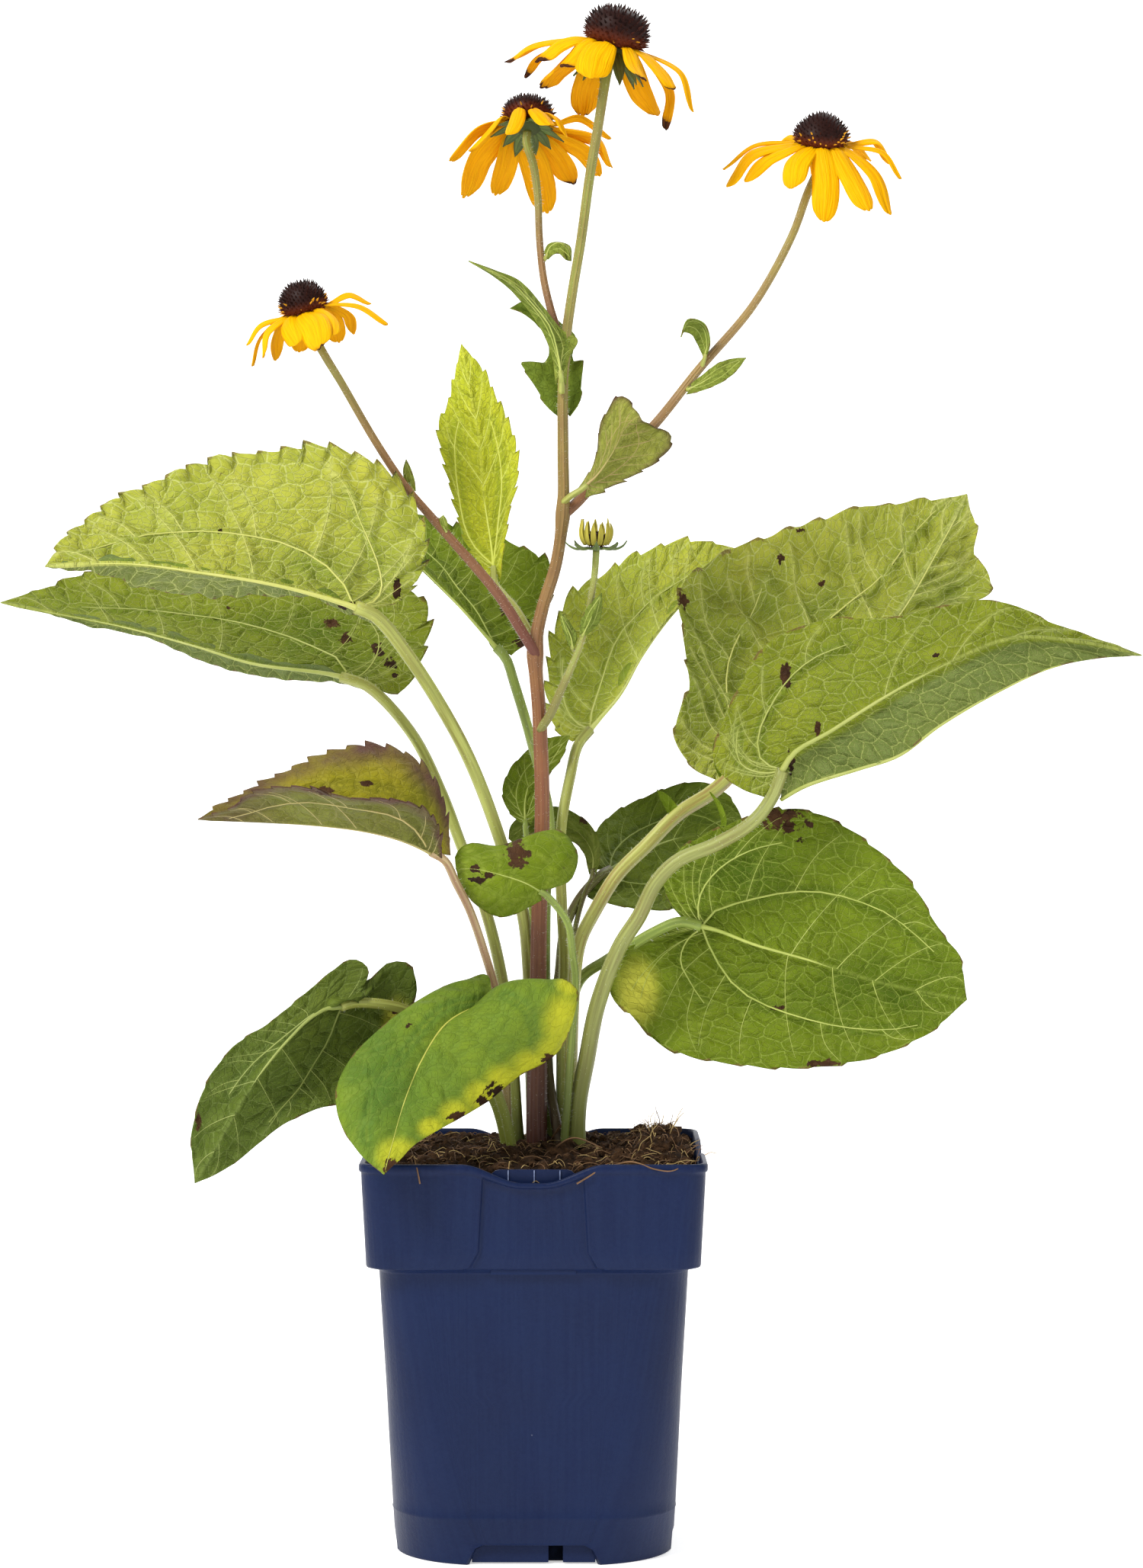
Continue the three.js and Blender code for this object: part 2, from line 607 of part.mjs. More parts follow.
      [8, 174, -26], [-6, 165, -34], [-17, 156, -41], [-28, 150, -48], [-42, 142, -57],
      [-55, 130, -64]],
    right: [[-16, 196, -19], [-18, 202, -12], [-26, 200, -18], [-37, 196, -28], [-47, 190, -38],
      [-57, 182, -46], [-68, 170, -54], [-72, 159, -58], [-70, 148, -61], [-63, 137, -63],
      [-55, 130, -64]],
    girth: [1.8, 1.7],
    colour: COLOURS.yellowing,
  },
  front_left_leaf: {
    lean: -25,
    stalk: [[-9, 129, -4], [-13, 150, -7], [-16, 158, -9], [-29, 176, -14], [-40, 185, -19],
      [-49, 190, -23], [-65, 192, -28]],
    midrib: [[-65, 192, -28], [-79, 188, -33], [-89, 179, -37], [-99, 167, -41],
      [-108, 153, -44], [-116, 139, -45], [-123, 127, -44]],
    left: [[-64, 194, -27], [-61, 204, -22], [-66, 207, -20], [-74, 202, -22], [-83, 195, -25],
      [-97, 184, -31], [-110, 175, -35], [-120, 160, -40], [-124, 144, -43], [-123, 127, -44]],
    right: [[-65.5, 195.5, -26], [-58, 201, -21], [-48, 206, -16], [-45, 199, -16], [-47, 188, -18],
      [-50, 173, -24], [-64, 158, -32], [-80, 154, -38], [-92, 148, -41], [-103, 139, -43],
      [-114, 131, -44], [-123, 127, -44]],
    girth: [1.8, 2],
    colour: COLOURS.deep,
  },
  tall_leaf: {
    lean: 10,
    stalk: [[-1, 322, 4], [-7, 333, 7], [-12, 339, 8], [-15, 343, 9]],
    midrib: [[-15, 343, 9], [-16, 355, 10], [-19, 375, 11], [-21, 397, 12], [-24, 413, 13],
      [-27, 429, 15]],
    left: [[-13, 344, 9], [-12, 354, 7], [-10, 368, 7], [-7, 383, 8], [-9, 397, 10],
      [-15, 410, 12], [-20, 420, 14], [-27, 429, 15]],
    right: [[-16, 344, 9], [-25, 358, 11], [-30, 375, 13], [-33, 387, 14], [-35, 398, 15],
      [-31, 409, 16], [-29, 418, 16], [-27, 429, 15]],
    girth: [1.6, 1.3],
    colour: COLOURS.underside,
    host: "main_stem",
  },
};

// The small leaves on the stem, its branches and the flower stalks. host is what each clasps.
const STEM_LEAVES = {
  right_node_leaf: {
    stalk: [[9.5, 372, 0], [12.5, 374.5, -2.5], [16.5, 377, -3]],
    midrib: [[16.5, 377, -3], [22, 382, -4], [28, 391, -5], [32.5, 399.5, -4], [38, 401.5, -2]],
    left: [[17.5, 373.5, -2], [26.5, 378, -1], [37, 383.5, 2], [45, 389, 4], [48, 395.5, 5],
      [43.5, 398.5, 3], [38, 401.5, -2]],
    right: [[15, 377, -1], [19.5, 383, 1], [22, 389.5, 4], [23.5, 399.5, 6], [27, 406, 7],
      [30, 410, 6], [35, 405.5, 2], [38, 401.5, -2]],
    girth: [1.3, 1.1],
    colour: COLOURS.underside,
    host: "main_stem",
  },
  spoon_leaf: {
    stalk: [[9, 411.5, -2], [9, 415.5, -4]],
    midrib: [[9, 415.5, -5], [8, 424, -6], [5, 435, -7], [-1, 443, -8], [-9, 451, -8],
      [-24.5, 459, -6]],
    left: [[10.5, 414.5, -3], [11.5, 424, -2], [14.5, 430.5, 0], [9, 434, -2], [2, 442.5, -3],
      [-6, 451.5, -4], [-15, 455.5, -5], [-24.5, 459, -6]],
    right: [[7, 414.5, -3], [6, 424, -2], [2.5, 433.5, -2], [-3.5, 442.5, -3], [-10, 449.5, -4],
      [-16, 454, -5], [-24.5, 459, -6]],
    girth: [1.2, 1],
    colour: COLOURS.underside,
    host: "main_stem",
  },
  collar_leaf: {
    stalk: [[10, 399.5, 2], [10, 402.5, 5]],
    midrib: [[10, 402.5, 6], [9.5, 410, 9], [8, 421, 11], [5, 432, 12], [-0.5, 439.5, 11],
      [-9.5, 442, 7]],
    left: [[8, 403, 5], [5, 405.5, 5], [-0.5, 414.5, 7], [-5.5, 423, 6], [0.5, 420.5, 11],
      [4.5, 425, 12], [3.5, 432, 12], [-0.5, 437, 10], [-5, 440.5, 8], [-9.5, 442, 7]],
    right: [[12, 403, 5], [15, 407.5, 5], [16, 415.5, 6], [16, 423, 6], [13, 423, 11],
      [12.5, 426, 12], [14.5, 430.5, 10], [10, 435.5, 12], [2, 442, 11], [-4, 444.5, 9],
      [-9.5, 442, 7]],
    girth: [1.2, 1],
    colour: COLOURS.deep,
    host: "main_stem",
  },
  stalk_hook_leaf: {
    stalk: [[2, 458.5, 9], [3.5, 460.5, 7]],
    midrib: [[3.5, 460.5, 7], [5, 464, 6], [8, 465.5, 5], [11, 463.5, 4], [12.5, 459, 3]],
    left: [[4, 459.5, 6], [6.5, 461.5, 4], [8.5, 461.5, 3], [10.5, 459.5, 2], [12.5, 459, 3]],
    right: [[2.5, 461.5, 8], [4.5, 465, 8], [8, 465.5, 8], [12, 464, 6], [12.5, 459, 3]],
    girth: [0.9, 0.8],
    colour: COLOURS.deep,
    host: "second_flower_stalk",
  },
  branch_hook_leaf: {
    stalk: [[59.5, 421, 10.5], [60.5, 424, 9]],
    midrib: [[60.5, 424, 9], [61.5, 429.5, 8], [59.5, 435.5, 7], [54.5, 436.5, 6],
      [52, 431.5, 5]],
    left: [[61, 424, 9], [62.5, 430, 6], [60.5, 436.5, 5], [54.5, 438, 4], [52, 431.5, 5]],
    right: [[60, 424.5, 9], [58, 429, 10], [56, 432.5, 10], [53, 433.5, 8], [52, 431.5, 5]],
    girth: [0.9, 0.8],
    colour: COLOURS.deep,
    host: "right_branch",
  },
  branch_side_leaf: {
    stalk: [[55, 415.5, 10.5], [54.5, 412.5, 8.5]],
    midrib: [[54.5, 412.5, 7.5], [59.5, 415, 6], [65, 418.5, 6], [70.5, 422, 8], [75.5, 424, 10]],
    left: [[54, 411, 7.5], [58.5, 412, 4], [66, 415, 4], [71.5, 419, 7], [75.5, 424, 10]],
    right: [[55.5, 414.5, 8.5], [59.5, 417.5, 8], [65.5, 422, 9], [70.5, 423.5, 11],
      [75.5, 424, 10]],
    girth: [0.9, 0.8],
    colour: COLOURS.deep,
    host: "right_branch",
  },
  branch_sprout_leaf: {
    stalk: [[-44, 374, -13.5], [-44.5, 376, -12.5]],
    midrib: [[-44.5, 376, -11.5], [-45.5, 380, -9.5], [-46.5, 384, -8.5], [-47, 387.5, -8.5]],
    left: [[-43.5, 376, -11.5], [-44, 380, -10.5], [-45.5, 384.5, -9.5], [-47, 387.5, -8.5]],
    right: [[-46, 376, -11.5], [-47.5, 379.5, -8.5], [-48, 384, -7.5], [-47, 387.5, -8.5]],
    girth: [0.7, 0.6],
    colour: COLOURS.deep,
    host: "left_branch",
  },
  node_sprout_leaf: {
    stalk: [[-32, 360.5, -10], [-32.5, 361.5, -11]],
    midrib: [[-32.5, 361.5, -12], [-33.5, 363.5, -13], [-34, 365.5, -13], [-33.5, 367.5, -12]],
    left: [[-32, 362, -12], [-32, 364, -13], [-32.5, 366, -13], [-33.5, 367.5, -12]],
    right: [[-33.5, 361.5, -12], [-35, 363.5, -12], [-35, 366, -12], [-33.5, 367.5, -12]],
    girth: [0.7, 0.6],
    colour: COLOURS.deep,
    host: "left_branch",
  },
  bud_right_leaf: {
    stalk: [[16, 322, -8], [16.5, 324, -9]],
    midrib: [[16.5, 324, -10], [18.5, 328, -12], [21, 333.5, -12], [23.5, 339.5, -10]],
    left: [[17.5, 324, -10], [22, 328, -10], [23.5, 333.5, -10], [23.5, 339.5, -10]],
    right: [[15.5, 324.5, -10], [16, 329.5, -12], [18.5, 334.5, -12], [23.5, 339.5, -10]],
    girth: [0.8, 0.7],
    colour: COLOURS.deep,
    host: "bud_shoot",
  },
  bud_left_leaf: {
    stalk: [[14.5, 317.5, -7], [13, 319.5, -7]],
    midrib: [[13, 319.5, -8], [12.5, 323, -9], [10.5, 328, -8], [8.5, 332.5, -6]],
    left: [[13.5, 320, -8], [14.5, 323.5, -7], [12, 328.5, -6], [8.5, 332.5, -6]],
    right: [[12, 320, -7], [10.5, 323.5, -8], [9, 328, -7], [8.5, 332.5, -6]],
    girth: [0.8, 0.7],
    colour: COLOURS.deep,
    host: "bud_shoot",
  },
};

const LEAF_DETAIL = { rows: 8, stalkSteps: 9, stalkSides: 6 };
const SMALL_DETAIL = { rows: 5, stalkSteps: 2, stalkSides: 4 };
const LEAN_CURVE = 2.5; // a leaf bends away mostly towards its tip
const TIP_SHARE = 0.97; // the blade's solid stops just short of its sharp tip
const STALK_REACH = 0.12; // the stalk's tube runs this far along the midrib
const ROW_START = 0.07; // the first row leaves the midrib this far along it
const ROW_GATHER = 1.35; // rows start closer together on the midrib near the stalk

// A leaf's form with its lean added to the places, little near its foot and in full at its tip.
function leaning(form) {
  const foot = at(form.stalk[0]);
  const length = foot.distanceTo(at(form.midrib.at(-1)));
  const bend = (places) =>
    places.map((place) => {
      const share = Math.min(foot.distanceTo(at(place)) / length, 1);
      return [place[0], place[1], place[2] + (form.lean ?? 0) * share ** LEAN_CURVE];
    });
  const [stalk, midrib, left, right] = [form.stalk, form.midrib, form.left, form.right].map(bend);
  return { ...form, stalk, midrib, left, right };
}

const spline = (places) =>
  new THREE.CatmullRomCurve3(places.map(at), false, "centripetal");

// The direction square to a grid of places at each of them, from the patches that meet there.
function liftsOf(grid) {
  const patch = (row, column) => {
    const [a, b] = [grid[row][column], grid[row + 1][column + 1]];
    const [c, d] = [grid[row][column + 1], grid[row + 1][column]];
    return b.clone().sub(a).cross(d.clone().sub(c));
  };
  return grid.map((line, row) =>
    line.map((_, column) => {
      const lift = new THREE.Vector3();
      for (const r of [row - 1, row])
        for (const c of [column - 1, column])
          if (r >= 0 && c >= 0 && r + 1 < grid.length && c + 1 < line.length)
            lift.add(patch(r, c));
      return lift.setLength(BLADE_THICK / 2);
    }),
  );
}

// The thin blade between the midrib and the two margins, two steps wide on each side.
function blade({ midrib, left, right }, rows) {
  const [middle, port, starboard] = [midrib, left, right].map(spline);
  const grid = Array.from({ length: rows + 1 }, (_, row) => {
    const t = (row / rows) * TIP_SHARE;
    const m = middle.getPointAt(ROW_START + (1 - ROW_START) * t ** ROW_GATHER);
    const l = port.getPointAt(t);
    const r = starboard.getPointAt(t);
    return [l, l.clone().lerp(m, 0.5), m, m.clone().lerp(r, 0.5), r];
  });
  const lifts = liftsOf(grid);
  const rings = grid.map((line, row) => {
    const upper = line.map((p, column) => p.clone().add(lifts[row][column]));
    const lower = line.map((p, column) => p.clone().sub(lifts[row][column]));
    return [...upper, ...lower.reverse()];
  });
  return loft(rings);
}

// The stalk's route, which runs a little way on into the midrib.
function stalkTube({ stalk, midrib, girth }, detail) {
  const points = [...stalk.map(at), spline(midrib).getPointAt(STALK_REACH)];
  return {
    points,
    radii: [girth[0], girth[1], BLADE_THICK],
    sides: detail.stalkSides,
    steps: detail.stalkSteps,
  };
}

// A whole leaf. Where its halves and stalk close round a small pocket, the pocket is filled.
const leaf = (form, detail) =>
  largest(blade(form, detail.rows).add(tube(stalkTube(form, detail))));

// Flower heads. centre is the middle of the cone's foot. lean tips the head to the right and back
// tips it away from the viewer, in degrees. Each ray is [bearing, middle, tip, width]: the bearing
// is counted from the right, anticlockwise from above, and middle and tip are [across, up].
const HEADS = {
  top_flower: {
    centre: [28, 537.5, -5],
    lean: 14,
    back: -8,
    disc: 10,
    cone: [[10.2, 0], [11.6, 3], [11.8, 7], [10.6, 11], [8, 14], [4, 15.4]],
    bracts: { count: 10, reach: 11.5, drop: 8.5, width: 4.6, drooped: 0.5 },
    rays: [
      [175, [-1, 537], [-11.5, 530.5], 5], [200, [8.5, 538.5], [-0.5, 530.5], 8],
      [163, [0.5, 532.5], [-4.5, 525], 4], [148, [8.5, 529.5], [1, 521.5], 9],
      [215, [15, 536], [9, 528.5], 8], [255, [21.5, 533.5], [19.5, 524.5], 13],
      [108, [18, 521.5], [16.5, 511], 9], [62, [38, 521.5], [44, 511.5], 8],
      [305, [36, 530.5], [39, 524], 6], [332, [45, 528.5], [49.5, 520.5], 7],
      [355, [52.5, 527], [56.5, 512.5], 4], [28, [48.5, 520], [46.5, 506], 4],
    ],
  },
  second_flower: {
    centre: [-3, 509.5, 12],
    lean: 4,
    back: 24,
    disc: 9,
    cone: [[9, 0], [9.8, 2.4], [9.2, 4.8], [7, 7], [3.6, 8.4]],
    bracts: { count: 10, reach: 12.5, drop: 5, width: 4.4, drooped: 0.3 },
    rays: [
      [178, [-21.5, 506.5], [-31.5, 495], 6], [195, [-17.5, 506], [-24.5, 498.5], 6],
      [150, [-21.5, 496.5], [-26.5, 481.5], 12], [128, [-11.5, 494], [-15, 482.5], 9],
      [98, [0, 492.5], [4, 476], 11], [60, [8.5, 496.5], [13.5, 486.5], 10],
      [35, [18, 498.5], [23, 489.5], 8], [15, [22, 503.5], [27.5, 492.5], 8],
      [355, [15.5, 511], [27, 503], 4], [250, [-7.5, 510.5], [-10, 504.5], 6],
      [285, [2, 512], [5, 508], 7], [320, [8.5, 509.5], [11, 503.5], 6],
    ],
  },
  right_flower: {
    centre: [102.5, 502, 24],
    lean: 3,
    back: -20,
    disc: 9.2,
    cone: [[9.6, 0], [10.4, 2.4], [9.8, 4.6], [7.2, 7.6], [4.2, 9.8], [2, 10.6]],
    bracts: { count: 10, reach: 10.5, drop: 6, width: 4, drooped: 0.4 },
    rays: [
      [172, [78.5, 501], [67, 492], 4], [193, [77, 498], [68.5, 485.5], 9],
      [212, [82.5, 496], [75, 487.5], 8], [242, [93.5, 495], [92, 485], 10],
      [270, [104.5, 487], [103.5, 473], 10], [303, [114, 489.5], [120, 477], 9],
      [328, [122.5, 490.5], [127.5, 475.5], 8], [350, [125, 498.5], [131.5, 488.5], 4],
      [15, [122.5, 502.5], [128, 493.5], 6], [48, [115.5, 501], [120.5, 495], 7],
      [95, [103, 496.5], [104.5, 484.5], 10], [138, [91, 504], [86, 496.5], 7],
    ],
  },
  left_flower: {
    centre: [-83.5, 442, -24],
    lean: -17,
    back: -14,
    disc: 7.8,
    cone: [[8, 0], [8.6, 2.2], [7.8, 5], [6, 7.6], [3.4, 9.2]],
    bracts: { count: 9, reach: 11, drop: 6.5, width: 4, drooped: 0.4 },
    rays: [
      [175, [-100, 436], [-104.5, 428.5], 5], [160, [-100, 431], [-102.5, 421], 4],
      [200, [-98, 433], [-98.5, 424], 8], [140, [-94, 432], [-94, 423], 8],
      [228, [-89, 435], [-86, 429], 9], [270, [-80.5, 436.5], [-78, 427], 11],
      [303, [-74.5, 437.5], [-73.5, 432], 6], [45, [-67.5, 440], [-66, 432.5], 7],
      [12, [-67.5, 447.5], [-59.5, 443.5], 5], [345, [-64, 443], [-53.5, 436], 4],
      [75, [-75, 440.5], [-71, 429.5], 8], [108, [-85, 436.5], [-85.5, 426], 8],
    ],
  },
};

const HEAD = {
  segments: 10,
  rayTop: -GAP, // heights below the cone's foot, along the head's own axis
  rayFoot: -1.3,
  bractTop: -1.65,
  bractFoot: -3,
  neck: -4.6,
  underNeck: -9, // from here up, the stalk follows the head's axis
  hubRadius: 4.6,
  neckRadius: 2.2,
  middleSpread: 15, // how far a ray's middle and tip stand out towards or away from the viewer
  tipSpread: 22,
};

const BUD = {
  centre: [21.5, 357.5, -8],
  back: -4,
  disc: [[0, 0], [4, 0], [4.4, 1.6], [3.2, 3.4], [0, 4]], // [radius, height] pairs
  collar: 5.2,
  collarFoot: -1.2,
  rays: 7,
  rayTurn: 10, // degrees from the right to the first ray
  rayWidth: 2.2,
  rayPath: [[4.4, -0.8], [5.6, 1.5], [6, 4.5], [5.2, 8]],
  cup: 4.6,
  cupTop: -1.55,
  sepals: 8,
  sepalWidth: 2.6,
  sepalPath: [[3.2, -1.9], [7, -2.2], [10.5, -0.8]],
  sepalStep: 0.6, // how much lower each of three neighbours ends than the one before it
  stalkTop: -2.6,
};

const STALK_OF = {
  top_flower: "main_stem",
  second_flower: "second_flower_stalk",
  right_flower: "right_branch",
  left_flower: "left_branch",
};

// A solid turned about the head's axis from a profile of [radius, height] pairs.
function turned(profile) {
  const points = profile.map(([radius, height]) => new THREE.Vector2(radius, height));
  return solid(new THREE.LatheGeometry(points, HEAD.segments).rotateX(Math.PI / 2));
}

// A thin strap along points: across is its width direction, and shares its outline.
function strap(points, across, width, thick, shares) {
  const curve = new THREE.CatmullRomCurve3(points, false, "centripetal");
  const rings = shares.map((share, row) => {
    const t = row / (shares.length - 1);
    const centre = curve.getPointAt(t);
    const lift = curve.getTangentAt(t).cross(across).normalize();
    const corner = (side, face) =>
      centre
        .clone()
        .addScaledVector(across, (side * share * width) / 2)
        .addScaledVector(lift, (face * thick) / 2);
    return [corner(-1, 1), corner(1, 1), corner(1, -1), corner(-1, -1)];
  });
  return loft(rings);
}

// The radial and sideways directions at a bearing in degrees, and places out along it.
function bearing(degrees) {
  const turn = THREE.MathUtils.degToRad(degrees);
  const outward = new THREE.Vector3(Math.cos(turn), Math.sin(turn), 0);
  return {
    outward,
    across: new THREE.Vector3(-Math.sin(turn), Math.cos(turn), 0),
    place: (radius, height) => outward.clone().multiplyScalar(radius).setZ(height),
  };
}

function headGroup({ centre, lean, back }) {
  const [side, away] = [lean, back].map(THREE.MathUtils.degToRad);
  const axis = new THREE.Vector3(
    Math.sin(side) * Math.cos(away),
    Math.sin(away),
    Math.cos(side) * Math.cos(away),
  );
  const group = new THREE.Group();
  group.position.copy(at(centre));
  group.quaternion.setFromUnitVectors(UP, axis);
  group.updateMatrixWorld(true);
  return group;
}

function rayRing({ centre, disc, rays }, group) {
  const { rayFoot, rayTop } = HEAD;
  let ring = turned([[0, rayFoot], [disc, rayFoot], [disc, rayTop], [0, rayTop]]);
  const middle = (rayFoot + rayTop) / 2;
  for (const [degrees, mid, tip, width] of rays) {
    const { outward, across, place } = bearing(degrees);
    const aside = (seen, spread) =>
      group.worldToLocal(at([...seen, centre[2] + outward.y * spread]));
    const points = [
      place(disc - 2, middle),
      place(disc + 1, middle),
      aside(mid, HEAD.middleSpread),
      aside(tip, HEAD.tipSpread),
    ];
    ring = ring.add(strap(points, across, width, RAY_THICK, [0.55, 0.85, 1, 0.85, 0.35]));
  }
  return ring;
}

function bractRing({ bracts }) {
  let ring = turned([
    [0, HEAD.neck],
    [HEAD.neckRadius, HEAD.neck],
    [HEAD.hubRadius, HEAD.bractFoot],
    [HEAD.hubRadius, HEAD.bractTop],
    [0, HEAD.bractTop],
  ]);
  for (let i = 0; i < bracts.count; i++) {
    const { place, across } = bearing((i * 360) / bracts.count);
    const low = HEAD.bractFoot + 0.5;
    const points = [
      place(HEAD.hubRadius - 1, low),
      place(bracts.reach * 0.65, low - bracts.drop * bracts.drooped),
      place(bracts.reach, low - bracts.drop),
    ];
    ring = ring.add(strap(points, across, bracts.width, BRACT_THICK, [0.8, 1, 0.25]));
  }
  return ring;
}

function flowerHead(name, form) {
  const group = headGroup(form);
  const foot = [0, form.cone[0][1]];
  const top = [0, form.cone.at(-1)[1] + 0.6];
  group.add(
    meshOf(name + "_cone", turned([foot, ...form.cone, top]), CONE),
    meshOf(name + "_rays", rayRing(form, group), RAY),
    meshOf(name + "_bracts", bractRing(form), BRACT),
  );
  return group;
}

const budGroup = () => headGroup({ centre: BUD.centre, lean: 0, back: BUD.back });

// The opening bud: a small dark disc, short upright rays round it, and sepals bent outwards.
function budHead() {
  const group = budGroup();
  const { collar, collarFoot, cup, cupTop } = BUD;
  const foot = BUD.stalkTop + GAP;
  let rays = turned([[0, collarFoot], [collar, collarFoot], [collar, -GAP], [0, -GAP]]);
  for (let i = 0; i < BUD.rays; i++) {
    const { place, across } = bearing((i * 360) / BUD.rays + BUD.rayTurn);
    const points = BUD.rayPath.map(([radius, height]) => place(radius, height));
    rays = rays.add(strap(points, across, BUD.rayWidth, RAY_THICK, [0.9, 1, 0.4]));
  }
  let sepals = turned([[0, foot], [HEAD.neckRadius, foot], [cup, cupTop], [0, cupTop]]);
  for (let i = 0; i < BUD.sepals; i++) {
    const { place, across } = bearing((i * 360) / BUD.sepals);
    const points = BUD.sepalPath.map(([radius, height]) => place(radius, height));
    points.at(-1).z -= (i % 3) * BUD.sepalStep;
    sepals = sepals.add(strap(points, across, BUD.sepalWidth, SEPAL_THICK, [0.9, 1, 0.25]));
  }
  group.add(
    meshOf("bud_disc", turned(BUD.disc), CONE),
    meshOf("bud_rays", rays, RAY),
    meshOf("bud_sepals", sepals, BRACT),
  );
  return group;
}

// A stem ends on its flower head's own axis, just under the head.
function stemTube(name) {
  const { route, radii, sides, steps } = STEMS[name];
  const points = route.map(at);
  const flower = Object.keys(STALK_OF).find((key) => STALK_OF[key] === name);
  if (flower) {
    const group = headGroup(HEADS[flower]);
    for (const height of [HEAD.underNeck, HEAD.neck - GAP])
      points.push(group.localToWorld(new THREE.Vector3(0, 0, height)));
  }
  if (name === "bud_shoot") {
    points.push(budGroup().localToWorld(new THREE.Vector3(0, 0, BUD.stalkTop)));
  }
  return { points, radii, sides, steps };
}

const plant = new THREE.Group();
const stemTubes = Object.fromEntries(Object.keys(STEMS).map((name) => [name, stemTube(name)]));
const socketOf = (name) => tube(stemTubes[name], GAP);

for (const name of Object.keys(STEMS)) {
  let body = tube(stemTubes[name]);
  if (name !== "main_stem") body = largest(body.subtract(socketOf("main_stem")));
  plant.add(meshOf(name, body, name === "main_stem" ? BARK : SHOOT));
}

const rootSockets = [socketOf("main_stem")];
for (const [forms, detail] of [[LEAVES, LEAF_DETAIL], [STEM_LEAVES, SMALL_DETAIL]])
  for (const [name, upright] of Object.entries(forms)) {
    const form = leaning(upright);
    let body = leaf(form, detail);
    if (form.host) body = largest(body.subtract(socketOf(form.host)));
    else rootSockets.push(tube(stalkTube(form, detail), GAP));
    plant.add(meshOf(name, body, material(form.colour, 0.6)));
  }

for (const [name, form] of Object.entries(HEADS)) plant.add(flowerHead(name, form));
plant.add(budHead());

const part = new THREE.Group();
part.add(meshOf("pot", pot(), SATIN), meshOf("soil", soil(rootSockets), PEAT), plant);

export default part;
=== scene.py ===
"""A goldsturm black-eyed susan in a square nursery pot, modelled and finished around its frame."""

import math

import bmesh
import bpy
import numpy as np
from bpy.props import FloatProperty, FloatVectorProperty, IntProperty, PointerProperty
from mathutils import Matrix, Vector
from mathutils.kdtree import KDTree


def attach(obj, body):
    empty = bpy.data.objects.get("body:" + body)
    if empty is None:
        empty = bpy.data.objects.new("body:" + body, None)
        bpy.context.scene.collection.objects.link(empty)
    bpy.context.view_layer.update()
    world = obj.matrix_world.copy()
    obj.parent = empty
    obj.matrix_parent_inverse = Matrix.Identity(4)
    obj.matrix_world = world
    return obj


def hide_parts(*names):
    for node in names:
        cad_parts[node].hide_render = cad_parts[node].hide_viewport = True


bl_info = {
    "name": "Potted Goldsturm Black-Eyed Susan",
    "version": (1, 0, 0),
    "blender": (4, 5, 0),
    "location": "View3D > Sidebar > Black-Eyed Susan",
    "description": "Leaves, flowers, peat and pot of a black-eyed susan, one operator for each kind of piece",
    "category": "Object",
}

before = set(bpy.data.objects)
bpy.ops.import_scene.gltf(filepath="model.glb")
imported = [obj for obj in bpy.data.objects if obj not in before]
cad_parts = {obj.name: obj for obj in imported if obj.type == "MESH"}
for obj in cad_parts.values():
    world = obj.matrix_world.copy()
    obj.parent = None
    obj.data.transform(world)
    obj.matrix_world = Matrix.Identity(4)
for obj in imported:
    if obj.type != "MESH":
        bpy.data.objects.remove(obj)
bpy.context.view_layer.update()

MM = 0.001
UP = Vector((0, 0, 1))

# The plant is laid out as seen from one viewing point, in millimetres. A place is [across, up,
# behind]: across and up are read on the upright plane through the pot's axis, and behind is how
# far the place lies beyond that plane. Across is counted from the crown.
VIEWER = np.array((13.2, -1386.0, 292.5))
CROWN_ACROSS = 0.6

CAMERA_LENS = 88.38
CAMERA_SHIFT = -0.03865

# The backdrop in metres: half its width, its whole run, and how far behind the pot it bends up.
BACKDROP_HALF, BACKDROP_RUN, BACKDROP_BEND = 5, 10, 1.2

# Where stems swell at their joints, as (share of the length, how much).
STEM_JOINTS = {
    "main_stem": [(0.47, 0.28), (0.595, 0.28), (0.735, 0.25)],
    "second_flower_stalk": [(0.02, 0.2)],
}

# How the main stem and the thinner ones are made: columns, rows a millimetre, and their ridges as
# a count and a depth.
MAIN_STEM = (48, 0.55, (9, 0.05))
THIN_STEM = (30, 0.8, (6, 0.045))

# The width of petals, bracts and winglets at even steps along them, as a share of the widest.
PETAL_GRID = (12, 30)
PETAL_OUTLINE = [0.5, 0.64, 0.82, 0.94, 1.0, 1.0, 1.0, 0.94, 0.82, 0.52]
BUD_RAY_OUTLINE = [0.85, 1.0, 0.95, 0.75, 0.15]
BRACT_OUTLINE = [0.75, 0.95, 1.0, 0.86, 0.55, 0.08]
WINGLET_OUTLINE = [1.0, 0.92, 0.8, 0.6, 0.2]

POT_COLUMNS, POT_ROW_PITCH = 480, 4
STRAIGHT_SHARE = 0.86  # the share of half a side's columns that lie on its straight part

# The pot's small parts, in millimetres: a label pocket's plate as (across, up) places, the pips on
# it, the ribs behind a notch as (start, end) across, the central foot's centre and size, and the
# floor with its drain holes, whose section is (share of the way out from a hole, height).
POCKET_PLATE = [
    (-14.7, 102), (14.7, 102), (14.7, 135.3), (14.3, 136.9), (13.2, 137.9), (11.7, 138.3),
    (-11.7, 138.3), (-13.2, 137.9), (-14.3, 136.9), (-14.7, 135.3),
]
PLATE_FRONT, PLATE_THICKNESS = -56, 1.2
PIPS_ACROSS, PIP_SIZE = (-8.7, 0.3, 9.2), (0.35, 0.5, 4.2)
FOOT_RIBS = ((-21.5, 5.2), (10.2, 21.5))
CENTRAL_FOOT = ((0, 0, 4), (16, 16, 8))
FLOOR_HALF, FLOOR_CORNER = 48.1, 28.5
HOLE_OUT, HOLE_RADIUS = 28, 3.5
